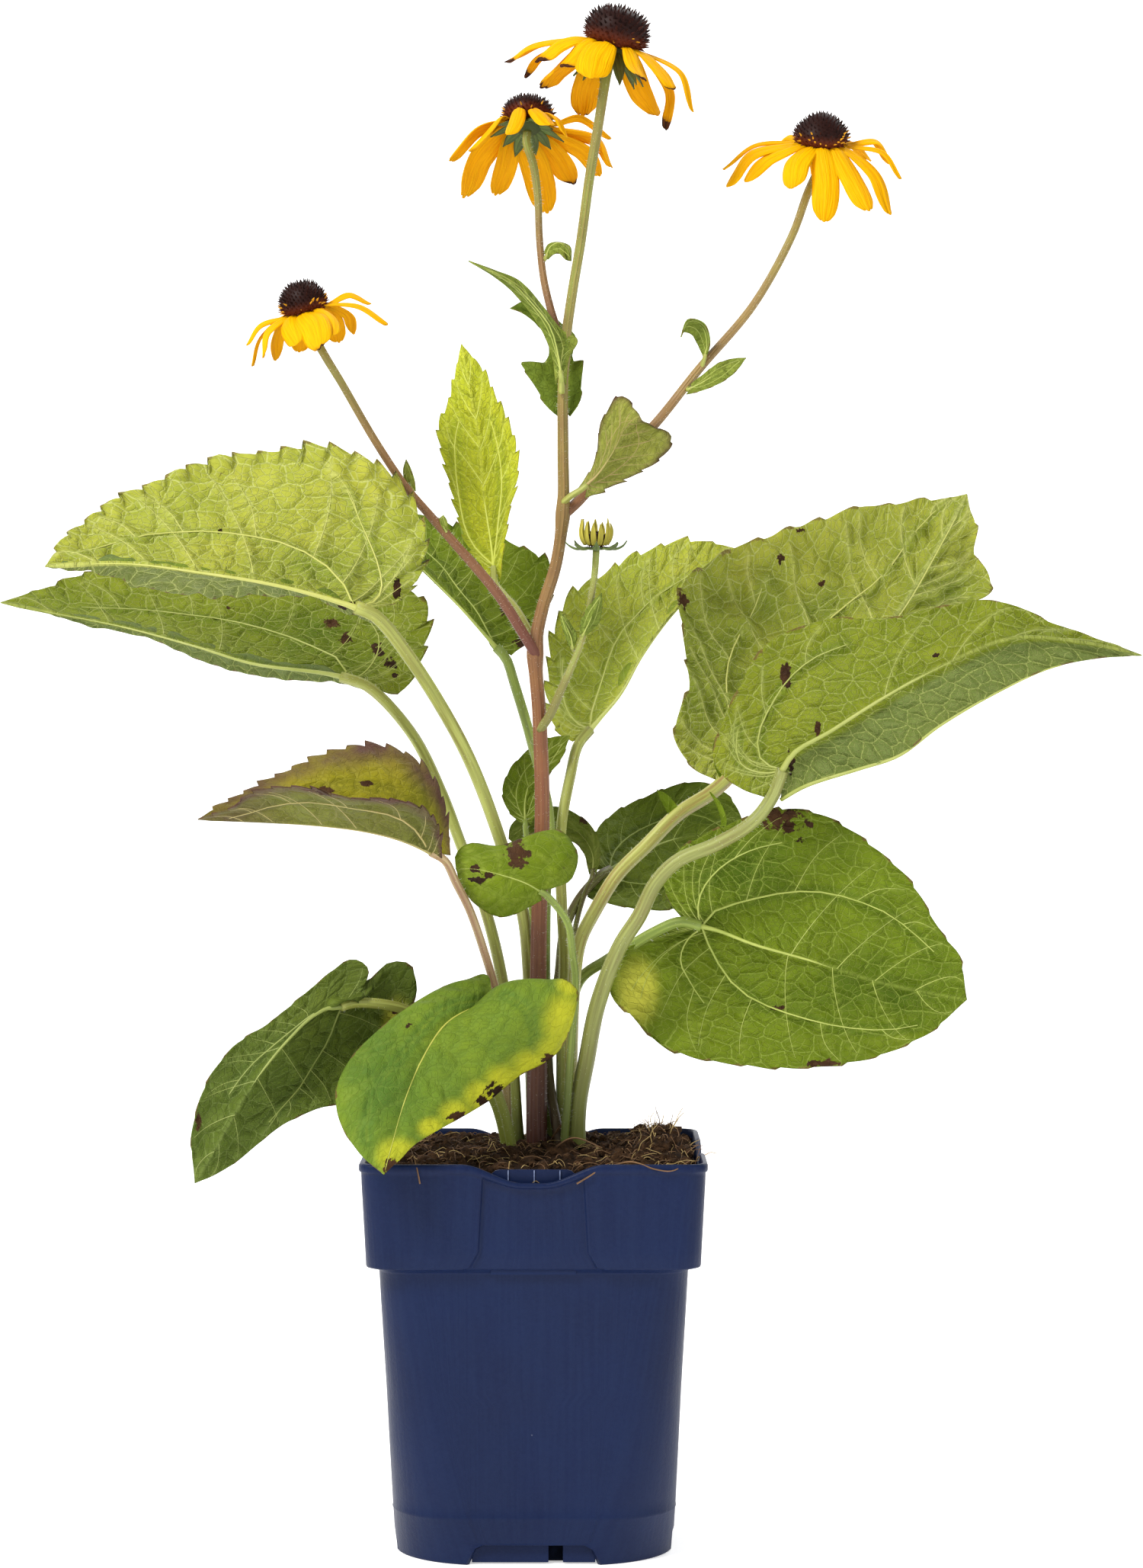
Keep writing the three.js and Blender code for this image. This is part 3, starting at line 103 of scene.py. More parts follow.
FLOOR_SECTION = [(1, 9), (0.5, 9), (0.02, 9), (0, 8.9), (0, 7.1), (0.02, 7), (0.5, 7), (1, 7)]

# The peat's top: its level at the rim, its mound round the crown, how far it sinks by a pocket and
# at its edge, and the middle, spread and height of its heap at the right-hand rim.
PEAT_HALF, PEAT_CORNER, PEAT_GRID = 57.6, 6, 150
PEAT_LEVEL, PEAT_MOUND, POCKET_HOLLOW, EDGE_HOLLOW = 135.5, 4.9, 4.5, 2.5
HEAP_MIDDLE, HEAP_SPREAD, HEAP_HEIGHT = (47, -4), (15, 24), 9.2
PEAT_LUMPS = [(22, 0.9), (7, 0.8), (2.6, 0.45)]  # (from crest to crest, height)
PEAT_GRIT = (1.3, 0.35)

# The peat's sides, from the top down: half width, corner radius, height.
PEAT_SIDES = [
    (57.3, 6, 128), (56, 7.4, 108), (52, 10.5, 104), (49.8, 16, 60), (48.1, 25.5, 16.3),
    (47.6, 28, 9.4),
]

# Roots that lie over the peat and the rim: points in millimetres, and radius.
PEAT_ROOTS = [
    ([(26, -54, 139), (34, -58, 141.2), (42, -61, 139), (48, -61, 138.5), (54, -58, 141.6)], 0.4),
    ([(15, -60.6, 134), (20, -60.8, 137), (26, -57, 140.5), (33, -52, 140)], 0.3),
    ([(6, -20, 141), (14, -26, 146), (24, -30, 143)], 0.5),
    ([(-39, -60.8, 134), (-40, -60.6, 139), (-41, -57, 142), (-43, -50, 146)], 0.3),
    ([(4, 4, 139), (10, -4, 149), (15, -8, 155)], 0.6),
]

# How a blade's rows run from its midrib to its margins, and where its lean shows.
ROW_START = 0.07
ROW_GATHER = 1.35
LEAN_CURVE = 2.5
TOOTH_ROWS = 5  # so that one row lies at each tooth's peak
TOOTH_PEAK = 0.8
LONG_TOOTH = 9  # the pitch in millimetres from which a tooth gets twice as many rows
TOOTH_OUT, TOOTH_AHEAD = 0.75, 0.6  # how far a tooth points outwards and towards the leaf's tip
SMALL_BLADE = 30  # the length in millimetres under which a blade has its main veins only
COLUMNS_PER_MM, LEAST_COLUMNS, MOST_COLUMNS = 0.42, 6, 44  # in each half of a blade
WAVE_PITCH, FOLD_PITCH, QUILT_PITCH = 0.035, 0.02, 0.009  # from crest to crest, in metres
VEIN_SAMPLES = 64

HAIR_RADIUS = 0.045 * MM
HAIRS_PER_MM = 2.2
STEM_HAIRINESS = 2.2  # how many times as many hairs a stem has as a leaf's stalk
HAIRS_AT_ONCE = 150  # hairs are made in small lots, because a large mesh takes new ones slowly
RIB_TIP = 0.12 * MM
RIB_FOOT = 0.9  # a midrib's thickness at its foot, as a share of the stalk's there
RIB_SHARE = 0.38  # a midrib's thickness beyond its foot, as a share of the stalk's
STOUT_VEIN = 0.25  # the least foot radius of a strong vein, in millimetres
VEIN_SINK = 0.35  # how far a vein's middle lies below the blade's, as a share of its thickness
# The strong side vein of a leaf without listed ones, as (across its half, along it).
BASAL_VEIN = [(0.0, 0.02), (0.28, 0.14), (0.45, 0.32), (0.5, 0.52), (0.44, 0.72), (0.25, 0.9)]

# The large leaves. Each has its stalk from the peat to the blade, its midrib from there to the tip,
# and its left and right margins as far as the tip. lean is how far the tip leans away from the
# viewer, and girth is the stalk's radius at its foot and at the blade.
LEAVES = {
    "upper_left_leaf": {
        "lean": -50,
        "stalk": [(-1, 129, 9), (-2, 169, 9), (-3, 205, 8), (-5, 224, 6), (-13, 250, 2), (-21, 272, -2),
            (-29, 289, -5), (-45, 315, -10), (-58, 331, -12)],
        "midrib": [(-58, 331, -12), (-67, 335, -14), (-92, 342, -16), (-122, 347, -16),
            (-148, 350, -12), (-177, 349, -5)],
        "left": [(-56, 334, -9), (-48, 338, 0), (-41, 357, 10), (-48, 376, 18), (-70, 389, 24),
            (-94, 389, 27), (-121, 384, 26), (-150, 372, 18), (-166, 362, 8)],
        "right": [(-58, 328, -8), (-68, 333, 10), (-86, 339, 20), (-107, 339, 24), (-125, 340, 24),
            (-141, 343, 19), (-158, 347, 9)],
        "girth": (2.1, 2.6),
    },
    "lower_left_leaf": {
        "lean": 55,
        "stalk": [(-6, 129, 4.5), (-8.5, 169, 4.5), (-12, 198, 6), (-18, 224, 8), (-28, 251, 10),
            (-34, 267, 11), (-45, 289, 12), (-61, 306, 12)],
        "midrib": [(-61, 306, 12), (-73, 310, 11), (-102, 314, 9), (-122, 320, 8), (-148, 327, 8),
            (-173, 332, 10), (-193, 336, 12)],
        "left": [(-58, 306, 14), (-51, 303, 18), (-44, 311, 24), (-40, 328, 32), (-43, 336, 34),
            (-61, 344, 36), (-89, 347, 36), (-125, 347, 34), (-161, 346, 28), (-177, 341, 20)],
        "right": [(-63, 305, 15), (-73, 308, 26), (-99, 310, 34), (-124, 317, 34), (-141, 324, 29),
            (-163, 328, 20)],
        "girth": (2.1, 2.2),
    },
    "curled_leaf": {
        "lean": -45,
        "stalk": [(-9.5, 129, 0), (-10.5, 150, -3), (-11.5, 172, -7), (-13.5, 190, -12),
            (-15.5, 199, -15), (-18.5, 209, -16), (-24, 225, -15), (-29, 235, -14), (-33, 243, -14)],
        "midrib": [(-33, 243, -14), (-40, 247, -16), (-50, 251, -18), (-63, 254, -20), (-81, 256, -21),
            (-97, 257, -20), (-122, 258, -16)],
        "left": [(-34, 244, -16), (-35, 253, -24), (-38, 260, -31), (-48, 265, -38), (-64, 266, -43),
            (-83, 270, -43), (-100, 268, -36), (-111, 262, -26)],
        "right": [(-31, 245, -11), (-32, 254, -5), (-35, 269, 4), (-43, 279, 10), (-55, 284, 12),
            (-72, 283, 11), (-89, 276, 5), (-108, 266, -7)],
        "girth": (1.5, 1.6),
    },
    "heart_leaf": {
        "lean": -10,
        "stalk": [(9, 129, -9), (12, 169, -10), (14, 200, -10), (13, 209, -11), (11, 221, -12),
            (3, 231, -13)],
        "midrib": [(3, 231, -13), (-4, 235, -16), (-13, 238, -18), (-22, 240, -17), (-29, 240, -12)],
        "left": [(2, 229, -12), (-5, 225, -14), (-13, 223, -16), (-20, 226, -17), (-26, 232, -16)],
        "right": [(5, 233, -12), (12, 236, -10), (15, 245, -7), (9, 254, -7), (-1, 253, -9),
            (-13, 249, -10), (-25, 249, -11), (-29, 245, -12)],
        "girth": (1.5, 1.4),
    },
    "young_leaf": {
        "lean": 15,
        "stalk": [(0, 129, 14), (-1, 169, 14), (-1.5, 196, 14), (-2, 229, 13), (-3, 246, 12),
            (-4, 255, 11)],
        "midrib": [(-4, 255, 11), (-4, 265, 12), (-1, 274, 13), (5, 281, 14), (12, 288, 16)],
        "left": [(-2, 256, 11), (1, 263, 11), (4, 273, 11), (9, 280, 13)],
        "right": [(-5, 256, 11), (-10, 261, 13), (-12, 268, 15), (-9, 276, 17), (-2, 283, 18),
            (5, 287, 18)],
        "girth": (1.3, 1.1),
    },
    "torn_leaf": {
        "lean": 15,
        "stalk": [(8, 129, 18), (9, 169, 17.5), (12, 196, 18), (14, 219, 20), (18, 233, 20),
            (20, 237, 20)],
        "midrib": [(20, 237, 20), (20, 246, 20), (14, 254, 21), (4, 256, 22), (-4, 255, 22),
            (-10, 251, 21)],
        "left": [(19, 238, 20), (17, 246, 21), (12, 250.5, 22), (7, 250, 22), (0, 249, 22),
            (-6, 248, 22)],
        "right": [(21.5, 238, 20), (23, 247, 20), (20, 255, 21), (13, 260.5, 22), (7, 262.5, 23),
            (0, 261, 23), (-6, 259, 23), (-9.5, 255, 22)],
        "girth": (1.2, 1),
    },
    "inner_right_leaf": {
        "lean": 50,
        "stalk": [(7, 129, 7), (8.6, 150, 8.5), (9, 165, 7.5), (9.2, 185, 6), (10, 207, 5.5),
            (9, 229, 8), (8.5, 246, 10), (9.2, 258, 12), (12, 273, 15), (15, 285, 18)],
        "midrib": [(15, 285, 18), (21.5, 293, 20), (30, 303, 21), (38, 317, 22), (51, 334, 26),
            (74, 355, 34)],
        "left": [(16.5, 287, 21), (24, 299, 32), (31, 312, 42), (41, 326, 44), (53, 339, 45),
            (63, 349, 42)],
        "right": [(13, 286, 19), (8, 289, 22), (5, 299, 26), (5, 311, 29), (7, 325, 31), (12, 336, 32),
            (23, 344, 34), (39, 353, 36), (57, 357, 36)],
        "girth": (2, 2.1),
    },
    "back_left_leaf": {
        "lean": 50,
        "stalk": [(5, 129, 12), (4.8, 150, 14), (4, 175, 17.5), (3.3, 197, 18.5), (3.2, 215, 14),
            (3.6, 235, 9), (4.9, 252, 6.5), (4.2, 262, 6), (2, 272, 6.5), (-1, 283, 8), (-4, 294, 11),
            (-8, 307, 13), (-11, 316, 14)],
        "midrib": [(-11, 316, 14), (-18, 324, 13), (-27, 334, 14), (-37, 344, 16), (-44, 351, 18),
            (-55, 364, 24)],
        "left": [(-9, 317, 15), (-2, 324, 18), (3, 336, 20), (4, 347, 22), (-4, 354, 24),
            (-13, 357, 25), (-26, 361, 27), (-40, 366, 28)],
        "right": [(-13, 316, 16), (-19, 326, 26), (-29, 337, 34), (-38, 347, 36), (-46, 356, 33)],
        "girth": (1.8, 2),
    },
    "upper_right_leaf": {
        "lean": 50,
        "stalk": [(12.2, 129, 3.5), (12.4, 169, 0), (14, 205, -1), (16, 215, -1), (21, 225, 0),
            (29, 238, 0), (40, 249, 1), (51, 260, 3), (62, 267, 6), (68, 272, 8)],
        "midrib": [(68, 272, 8), (81, 287, 11), (98, 302, 15), (114, 316, 18), (129, 331, 20),
            (144, 355, 22), (155, 375, 22)],
        "left": [(70, 271, 10), (87, 279, 22), (106, 292, 30), (125, 309, 35), (142, 324, 36),
            (152, 334, 34), (162, 343, 30), (158, 357, 26)],
        "right": [(65, 272, 9), (57, 276, 10), (50, 289, 12), (55, 305, 14), (53, 324, 17),
            (52, 340, 19), (65, 352, 24), (83, 358, 29), (107, 367, 32), (131, 371, 30), (146, 373, 26)],
        "girth": (2.1, 3),
    },
    "lower_right_leaf": {
        "lean": -60,
        "stalk": [(14, 129, -3), (15, 155, -6), (18, 171, -8), (22, 191, -11), (30, 212, -15),
            (37, 223, -17), (43, 235, -18), (51, 243, -18), (65, 249, -17), (78, 257, -14),
            (85, 266, -12)],
        "midrib": [(85, 266, -12), (92, 281, -13), (105, 289, -14), (124, 301, -15), (146, 313, -14),
            (171, 323, -10), (194, 322, -4), (218, 317, 4)],
        "left": [(88, 265, -12), (97, 270, -14), (116, 276, -18), (131, 281, -20), (146, 292, -21),
            (165, 303, -18), (184, 312, -11), (202, 316, -3)],
        "right": [(82, 266, -11), (74, 269, -8), (65, 277, -3), (66, 290, -1), (74, 306, 0),
            (84, 321, 1), (100, 328, 2), (127, 330, 3), (159, 336, 4), (177, 331, 5), (198, 324, 5)],
        "girth": (3.2, 2.5),
    },
    "round_leaf": {
        "lean": -20,
        "stalk": [(11, 129, 13), (11.5, 169, 14), (15, 199, 12), (25, 207, 8), (32, 211, 3),
            (42, 217, -1), (52, 221, -4)],
        "midrib": [(52, 221, -4), (65, 218, -5), (78, 213, -7), (99, 207, -9), (121, 200, -11),
            (138, 196, -12), (155, 193, -12)],
        "left": [(50, 219, -3), (39, 215, 0), (28, 207, 3), (27, 196, 4), (35, 187, 3), (44, 178, 0),
            (61, 172, -5), (83, 169, -10), (101, 169, -13), (126, 174, -15), (142, 182, -15)],
        "right": [(52, 223, -3), (48, 228, 0), (46, 236, 3), (51, 246, 6), (68, 255, 8), (86, 261, 9),
            (103, 259, 8), (118, 250, 5), (133, 237, 1), (145, 218, -5), (152, 208, -9)],
        "girth": (2, 2.1),
    },
    "back_right_leaf": {
        "lean": 50,
        "stalk": [(8.8, 129, -1.5), (8.3, 140, -0.5), (6.8, 150, 1.5), (5, 160, 4.5), (3.8, 174, 6.5),
            (4.3, 186, 6.5), (7.8, 200, 7), (9.8, 217, 8), (15, 229, 9), (23, 238, 10)],
        "midrib": [(23, 238, 12), (36, 245, 18), (51, 251, 24), (66, 252, 27), (77, 248, 24)],
        "left": [(24, 236, 12), (18, 230, 11), (26, 227, 11), (46, 225, 14), (62, 231, 18)],
        "right": [(22, 240, 13), (21, 252, 16), (28, 260, 20), (40, 266, 25), (57, 271, 29),
            (69, 266, 30)],
        "girth": (1.9, 1.8),
    },
    "yellowing_leaf": {
        "lean": -15,
        "stalk": [(-7, 129, -10), (-11, 150, -13), (-15, 163, -16), (-16.5, 180, -18), (-14.5, 193, -20)],
        "midrib": [(-14.5, 193, -20), (-23, 190, -28), (-33, 184, -37), (-42, 170, -48),
            (-48, 155, -56), (-52, 141, -61), (-55, 130, -64)],
        "left": [(-12.5, 194.5, -21), (0, 199, -19), (9, 201, -18), (15, 196, -18), (14, 188, -21),
            (8, 174, -26), (-6, 165, -34), (-17, 156, -41), (-28, 150, -48), (-42, 142, -57)],
        "right": [(-16, 196, -19), (-18, 202, -12), (-26, 200, -18), (-37, 196, -28), (-47, 190, -38),
            (-57, 182, -46), (-68, 170, -54), (-72, 159, -58), (-70, 148, -61), (-63, 137, -63)],
        "girth": (1.8, 1.7),
    },
    "front_left_leaf": {
        "lean": -25,
        "stalk": [(-9, 129, -4), (-13, 150, -7), (-16, 158, -9), (-29, 176, -14), (-40, 185, -19),
            (-49, 190, -23), (-65, 192, -28)],
        "midrib": [(-65, 192, -28), (-79, 188, -33), (-89, 179, -37), (-99, 167, -41), (-108, 153, -44),
            (-116, 139, -45), (-123, 127, -44)],
        "left": [(-64, 194, -27), (-61, 204, -22), (-66, 207, -20), (-74, 202, -22), (-83, 195, -25),
            (-97, 184, -31), (-110, 175, -35), (-120, 160, -40), (-124, 144, -43)],
        "right": [(-65.5, 195.5, -26), (-58, 201, -21), (-48, 206, -16), (-45, 199, -16),
            (-47, 188, -18), (-50, 173, -24), (-64, 158, -32), (-80, 154, -38), (-92, 148, -41),
            (-103, 139, -43), (-114, 131, -44)],
        "girth": (1.8, 2),
    },
    "tall_leaf": {
        "lean": 10,
        "stalk": [(-1, 322, 4), (-7, 333, 7), (-12, 339, 8), (-15, 343, 9)],
        "midrib": [(-15, 343, 9), (-16, 355, 10), (-19, 375, 11), (-21, 397, 12), (-24, 413, 13),
            (-27, 429, 15)],
        "left": [(-13, 344, 9), (-12, 354, 7), (-10, 368, 7), (-7, 383, 8), (-9, 397, 10),
            (-15, 410, 12), (-20, 420, 14)],
        "right": [(-16, 344, 9), (-25, 358, 11), (-30, 375, 13), (-33, 387, 14), (-35, 398, 15),
            (-31, 409, 16), (-29, 418, 16)],
        "girth": (1.6, 1.3),
    },
}

STEM_LEAVES = {
    "right_node_leaf": {
        "stalk": [(9.5, 372, 0), (12.5, 374.5, -2.5), (16.5, 377, -3)],
        "midrib": [(16.5, 377, -3), (22, 382, -4), (28, 391, -5), (32.5, 399.5, -4), (38, 401.5, -2)],
        "left": [(17.5, 373.5, -2), (26.5, 378, -1), (37, 383.5, 2), (45, 389, 4), (48, 395.5, 5),
            (43.5, 398.5, 3)],
        "right": [(15, 377, -1), (19.5, 383, 1), (22, 389.5, 4), (23.5, 399.5, 6), (27, 406, 7),
            (30, 410, 6), (35, 405.5, 2)],
        "girth": (1.3, 1.1),
    },
    "spoon_leaf": {
        "stalk": [(9, 411.5, -2), (9, 415.5, -4)],
        "midrib": [(9, 415.5, -5), (8, 424, -6), (5, 435, -7), (-1, 443, -8), (-9, 451, -8),
            (-24.5, 459, -6)],
        "left": [(10.5, 414.5, -3), (11.5, 424, -2), (14.5, 430.5, 0), (9, 434, -2), (2, 442.5, -3),
            (-6, 451.5, -4), (-15, 455.5, -5)],
        "right": [(7, 414.5, -3), (6, 424, -2), (2.5, 433.5, -2), (-3.5, 442.5, -3), (-10, 449.5, -4),
            (-16, 454, -5)],
        "girth": (1.2, 1),
    },
    "collar_leaf": {
        "stalk": [(10, 399.5, 2), (10, 402.5, 5)],
        "midrib": [(10, 402.5, 6), (9.5, 410, 9), (8, 421, 11), (5, 432, 12), (-0.5, 439.5, 11),
            (-9.5, 442, 7)],
        "left": [(8, 403, 5), (5, 405.5, 5), (-0.5, 414.5, 7), (-5.5, 423, 6), (0.5, 420.5, 11),
            (4.5, 425, 12), (3.5, 432, 12), (-0.5, 437, 10), (-5, 440.5, 8)],
        "right": [(12, 403, 5), (15, 407.5, 5), (16, 415.5, 6), (16, 423, 6), (13, 423, 11),
            (12.5, 426, 12), (14.5, 430.5, 10), (10, 435.5, 12), (2, 442, 11), (-4, 444.5, 9)],
        "girth": (1.2, 1),
    },
    "stalk_hook_leaf": {
        "stalk": [(2, 458.5, 9), (3.5, 460.5, 7)],
        "midrib": [(3.5, 460.5, 7), (5, 464, 6), (8, 465.5, 5), (11, 463.5, 4), (12.5, 459, 3)],
        "left": [(4, 459.5, 6), (6.5, 461.5, 4), (8.5, 461.5, 3), (10.5, 459.5, 2)],
        "right": [(2.5, 461.5, 8), (4.5, 465, 8), (8, 465.5, 8), (12, 464, 6)],
        "girth": (0.9, 0.8),
    },
    "branch_hook_leaf": {
        "stalk": [(59.5, 421, 10.5), (60.5, 424, 9)],
        "midrib": [(60.5, 424, 9), (61.5, 429.5, 8), (59.5, 435.5, 7), (54.5, 436.5, 6), (52, 431.5, 5)],
        "left": [(61, 424, 9), (62.5, 430, 6), (60.5, 436.5, 5), (54.5, 438, 4)],
        "right": [(60, 424.5, 9), (58, 429, 10), (56, 432.5, 10), (53, 433.5, 8)],
        "girth": (0.9, 0.8),
    },
    "branch_side_leaf": {
        "stalk": [(55, 415.5, 10.5), (54.5, 412.5, 8.5)],
        "midrib": [(54.5, 412.5, 7.5), (59.5, 415, 6), (65, 418.5, 6), (70.5, 422, 8), (75.5, 424, 10)],
        "left": [(54, 411, 7.5), (58.5, 412, 4), (66, 415, 4), (71.5, 419, 7)],
        "right": [(55.5, 414.5, 8.5), (59.5, 417.5, 8), (65.5, 422, 9), (70.5, 423.5, 11)],
        "girth": (0.9, 0.8),
    },
    "branch_sprout_leaf": {
        "stalk": [(-44, 374, -13.5), (-44.5, 376, -12.5)],
        "midrib": [(-44.5, 376, -11.5), (-45.5, 380, -9.5), (-46.5, 384, -8.5), (-47, 387.5, -8.5)],
        "left": [(-43.5, 376, -11.5), (-44, 380, -10.5), (-45.5, 384.5, -9.5)],
        "right": [(-46, 376, -11.5), (-47.5, 379.5, -8.5), (-48, 384, -7.5)],
        "girth": (0.7, 0.6),
    },
    "node_sprout_leaf": {
        "stalk": [(-32, 360.5, -10), (-32.5, 361.5, -11)],
        "midrib": [(-32.5, 361.5, -12), (-33.5, 363.5, -13), (-34, 365.5, -13), (-33.5, 367.5, -12)],
        "left": [(-32, 362, -12), (-32, 364, -13), (-32.5, 366, -13)],
        "right": [(-33.5, 361.5, -12), (-35, 363.5, -12), (-35, 366, -12)],
        "girth": (0.7, 0.6),
    },
    "bud_right_leaf": {
        "stalk": [(16, 322, -8), (16.5, 324, -9)],
        "midrib": [(16.5, 324, -10), (18.5, 328, -12), (21, 333.5, -12), (23.5, 339.5, -10)],
        "left": [(17.5, 324, -10), (22, 328, -10), (23.5, 333.5, -10)],
        "right": [(15.5, 324.5, -10), (16, 329.5, -12), (18.5, 334.5, -12)],
        "girth": (0.8, 0.7),
    },
    "bud_left_leaf": {
        "stalk": [(14.5, 317.5, -7), (13, 319.5, -7)],
        "midrib": [(13, 319.5, -8), (12.5, 323, -9), (10.5, 328, -8), (8.5, 332.5, -6)],
        "left": [(13.5, 320, -8), (14.5, 323.5, -7), (12, 328.5, -6)],
        "right": [(12, 320, -7), (10.5, 323.5, -8), (9, 328, -7)],
        "girth": (0.8, 0.7),
    },
}

STEMS = {
    "main_stem": {
        "route": [(0.5, 125, 0), (0, 139.5, 0), (0.5, 199, 0), (1, 228.5, 0), (2, 262, 0), (1, 295, 0),
            (-0.5, 319.5, 0), (2, 333.5, 1), (7, 350, 1), (9.5, 369, 1), (9.5, 391, 1), (9.5, 415.5, 1),
            (10.5, 430.5, 0), (13, 448.5, -1), (16, 466.5, -2), (19, 488.5, -3), (22, 506.5, -4),
            (25, 525, -5)],
        "radii": [3.8, 3.6, 2.9, 2.7, 2.6, 2.4, 2.1, 2, 1.8, 1.7, 1.7, 1.7],
    },
    "second_flower_stalk": {
        "route": [(9.5, 422.5, 1), (8, 432, 3), (5, 442, 5), (2.5, 453, 7), (1, 468, 9),
            (0.5, 481.5, 10), (-1, 493, 8)],
        "radii": [1.3, 1.4, 1.3, 1.3, 1.4, 1.6],
    },
    "right_branch": {
        "route": [(9.5, 367.5, 1), (14.5, 372, 3), (26.5, 385, 6), (41.5, 399, 8), (58.5, 420, 11),
            (78, 443, 16), (92, 468, 22), (97.5, 483, 25)],
        "radii": [1.9, 1.7, 1.6, 1.5, 1.4, 1.4, 1.6],
    },
    "left_branch": {
        "route": [(0, 317, -1), (-4, 323.5, -4), (-13.5, 338.5, -7), (-31, 359, -10),
            (-38.5, 367.5, -12), (-47, 377.5, -14), (-58, 394, -18), (-70.5, 415.5, -22),
            (-76, 424.5, -24)],
        "radii": [1.9, 1.9, 1.7, 1.5, 1.4, 1.4, 1.6],
    },
    "bud_shoot": {
        "route": [(1, 290, -1), (4.5, 295, -4), (8, 302.5, -6), (16.5, 323, -8), (19.5, 336.5, -8),
            (21, 347, -8)],
        "radii": [1.6, 1.5, 1.2, 1.1, 1.1, 1.2],
    },
}

# What a leaf has where LEAF_TRAITS doesn't say otherwise.
USUAL_TRAITS = {
    "arch": 0.1, "folds": 0, "look": "small", "stalk": "pale", "main_veins": [], "marks": [],
    "winglets": [],
}

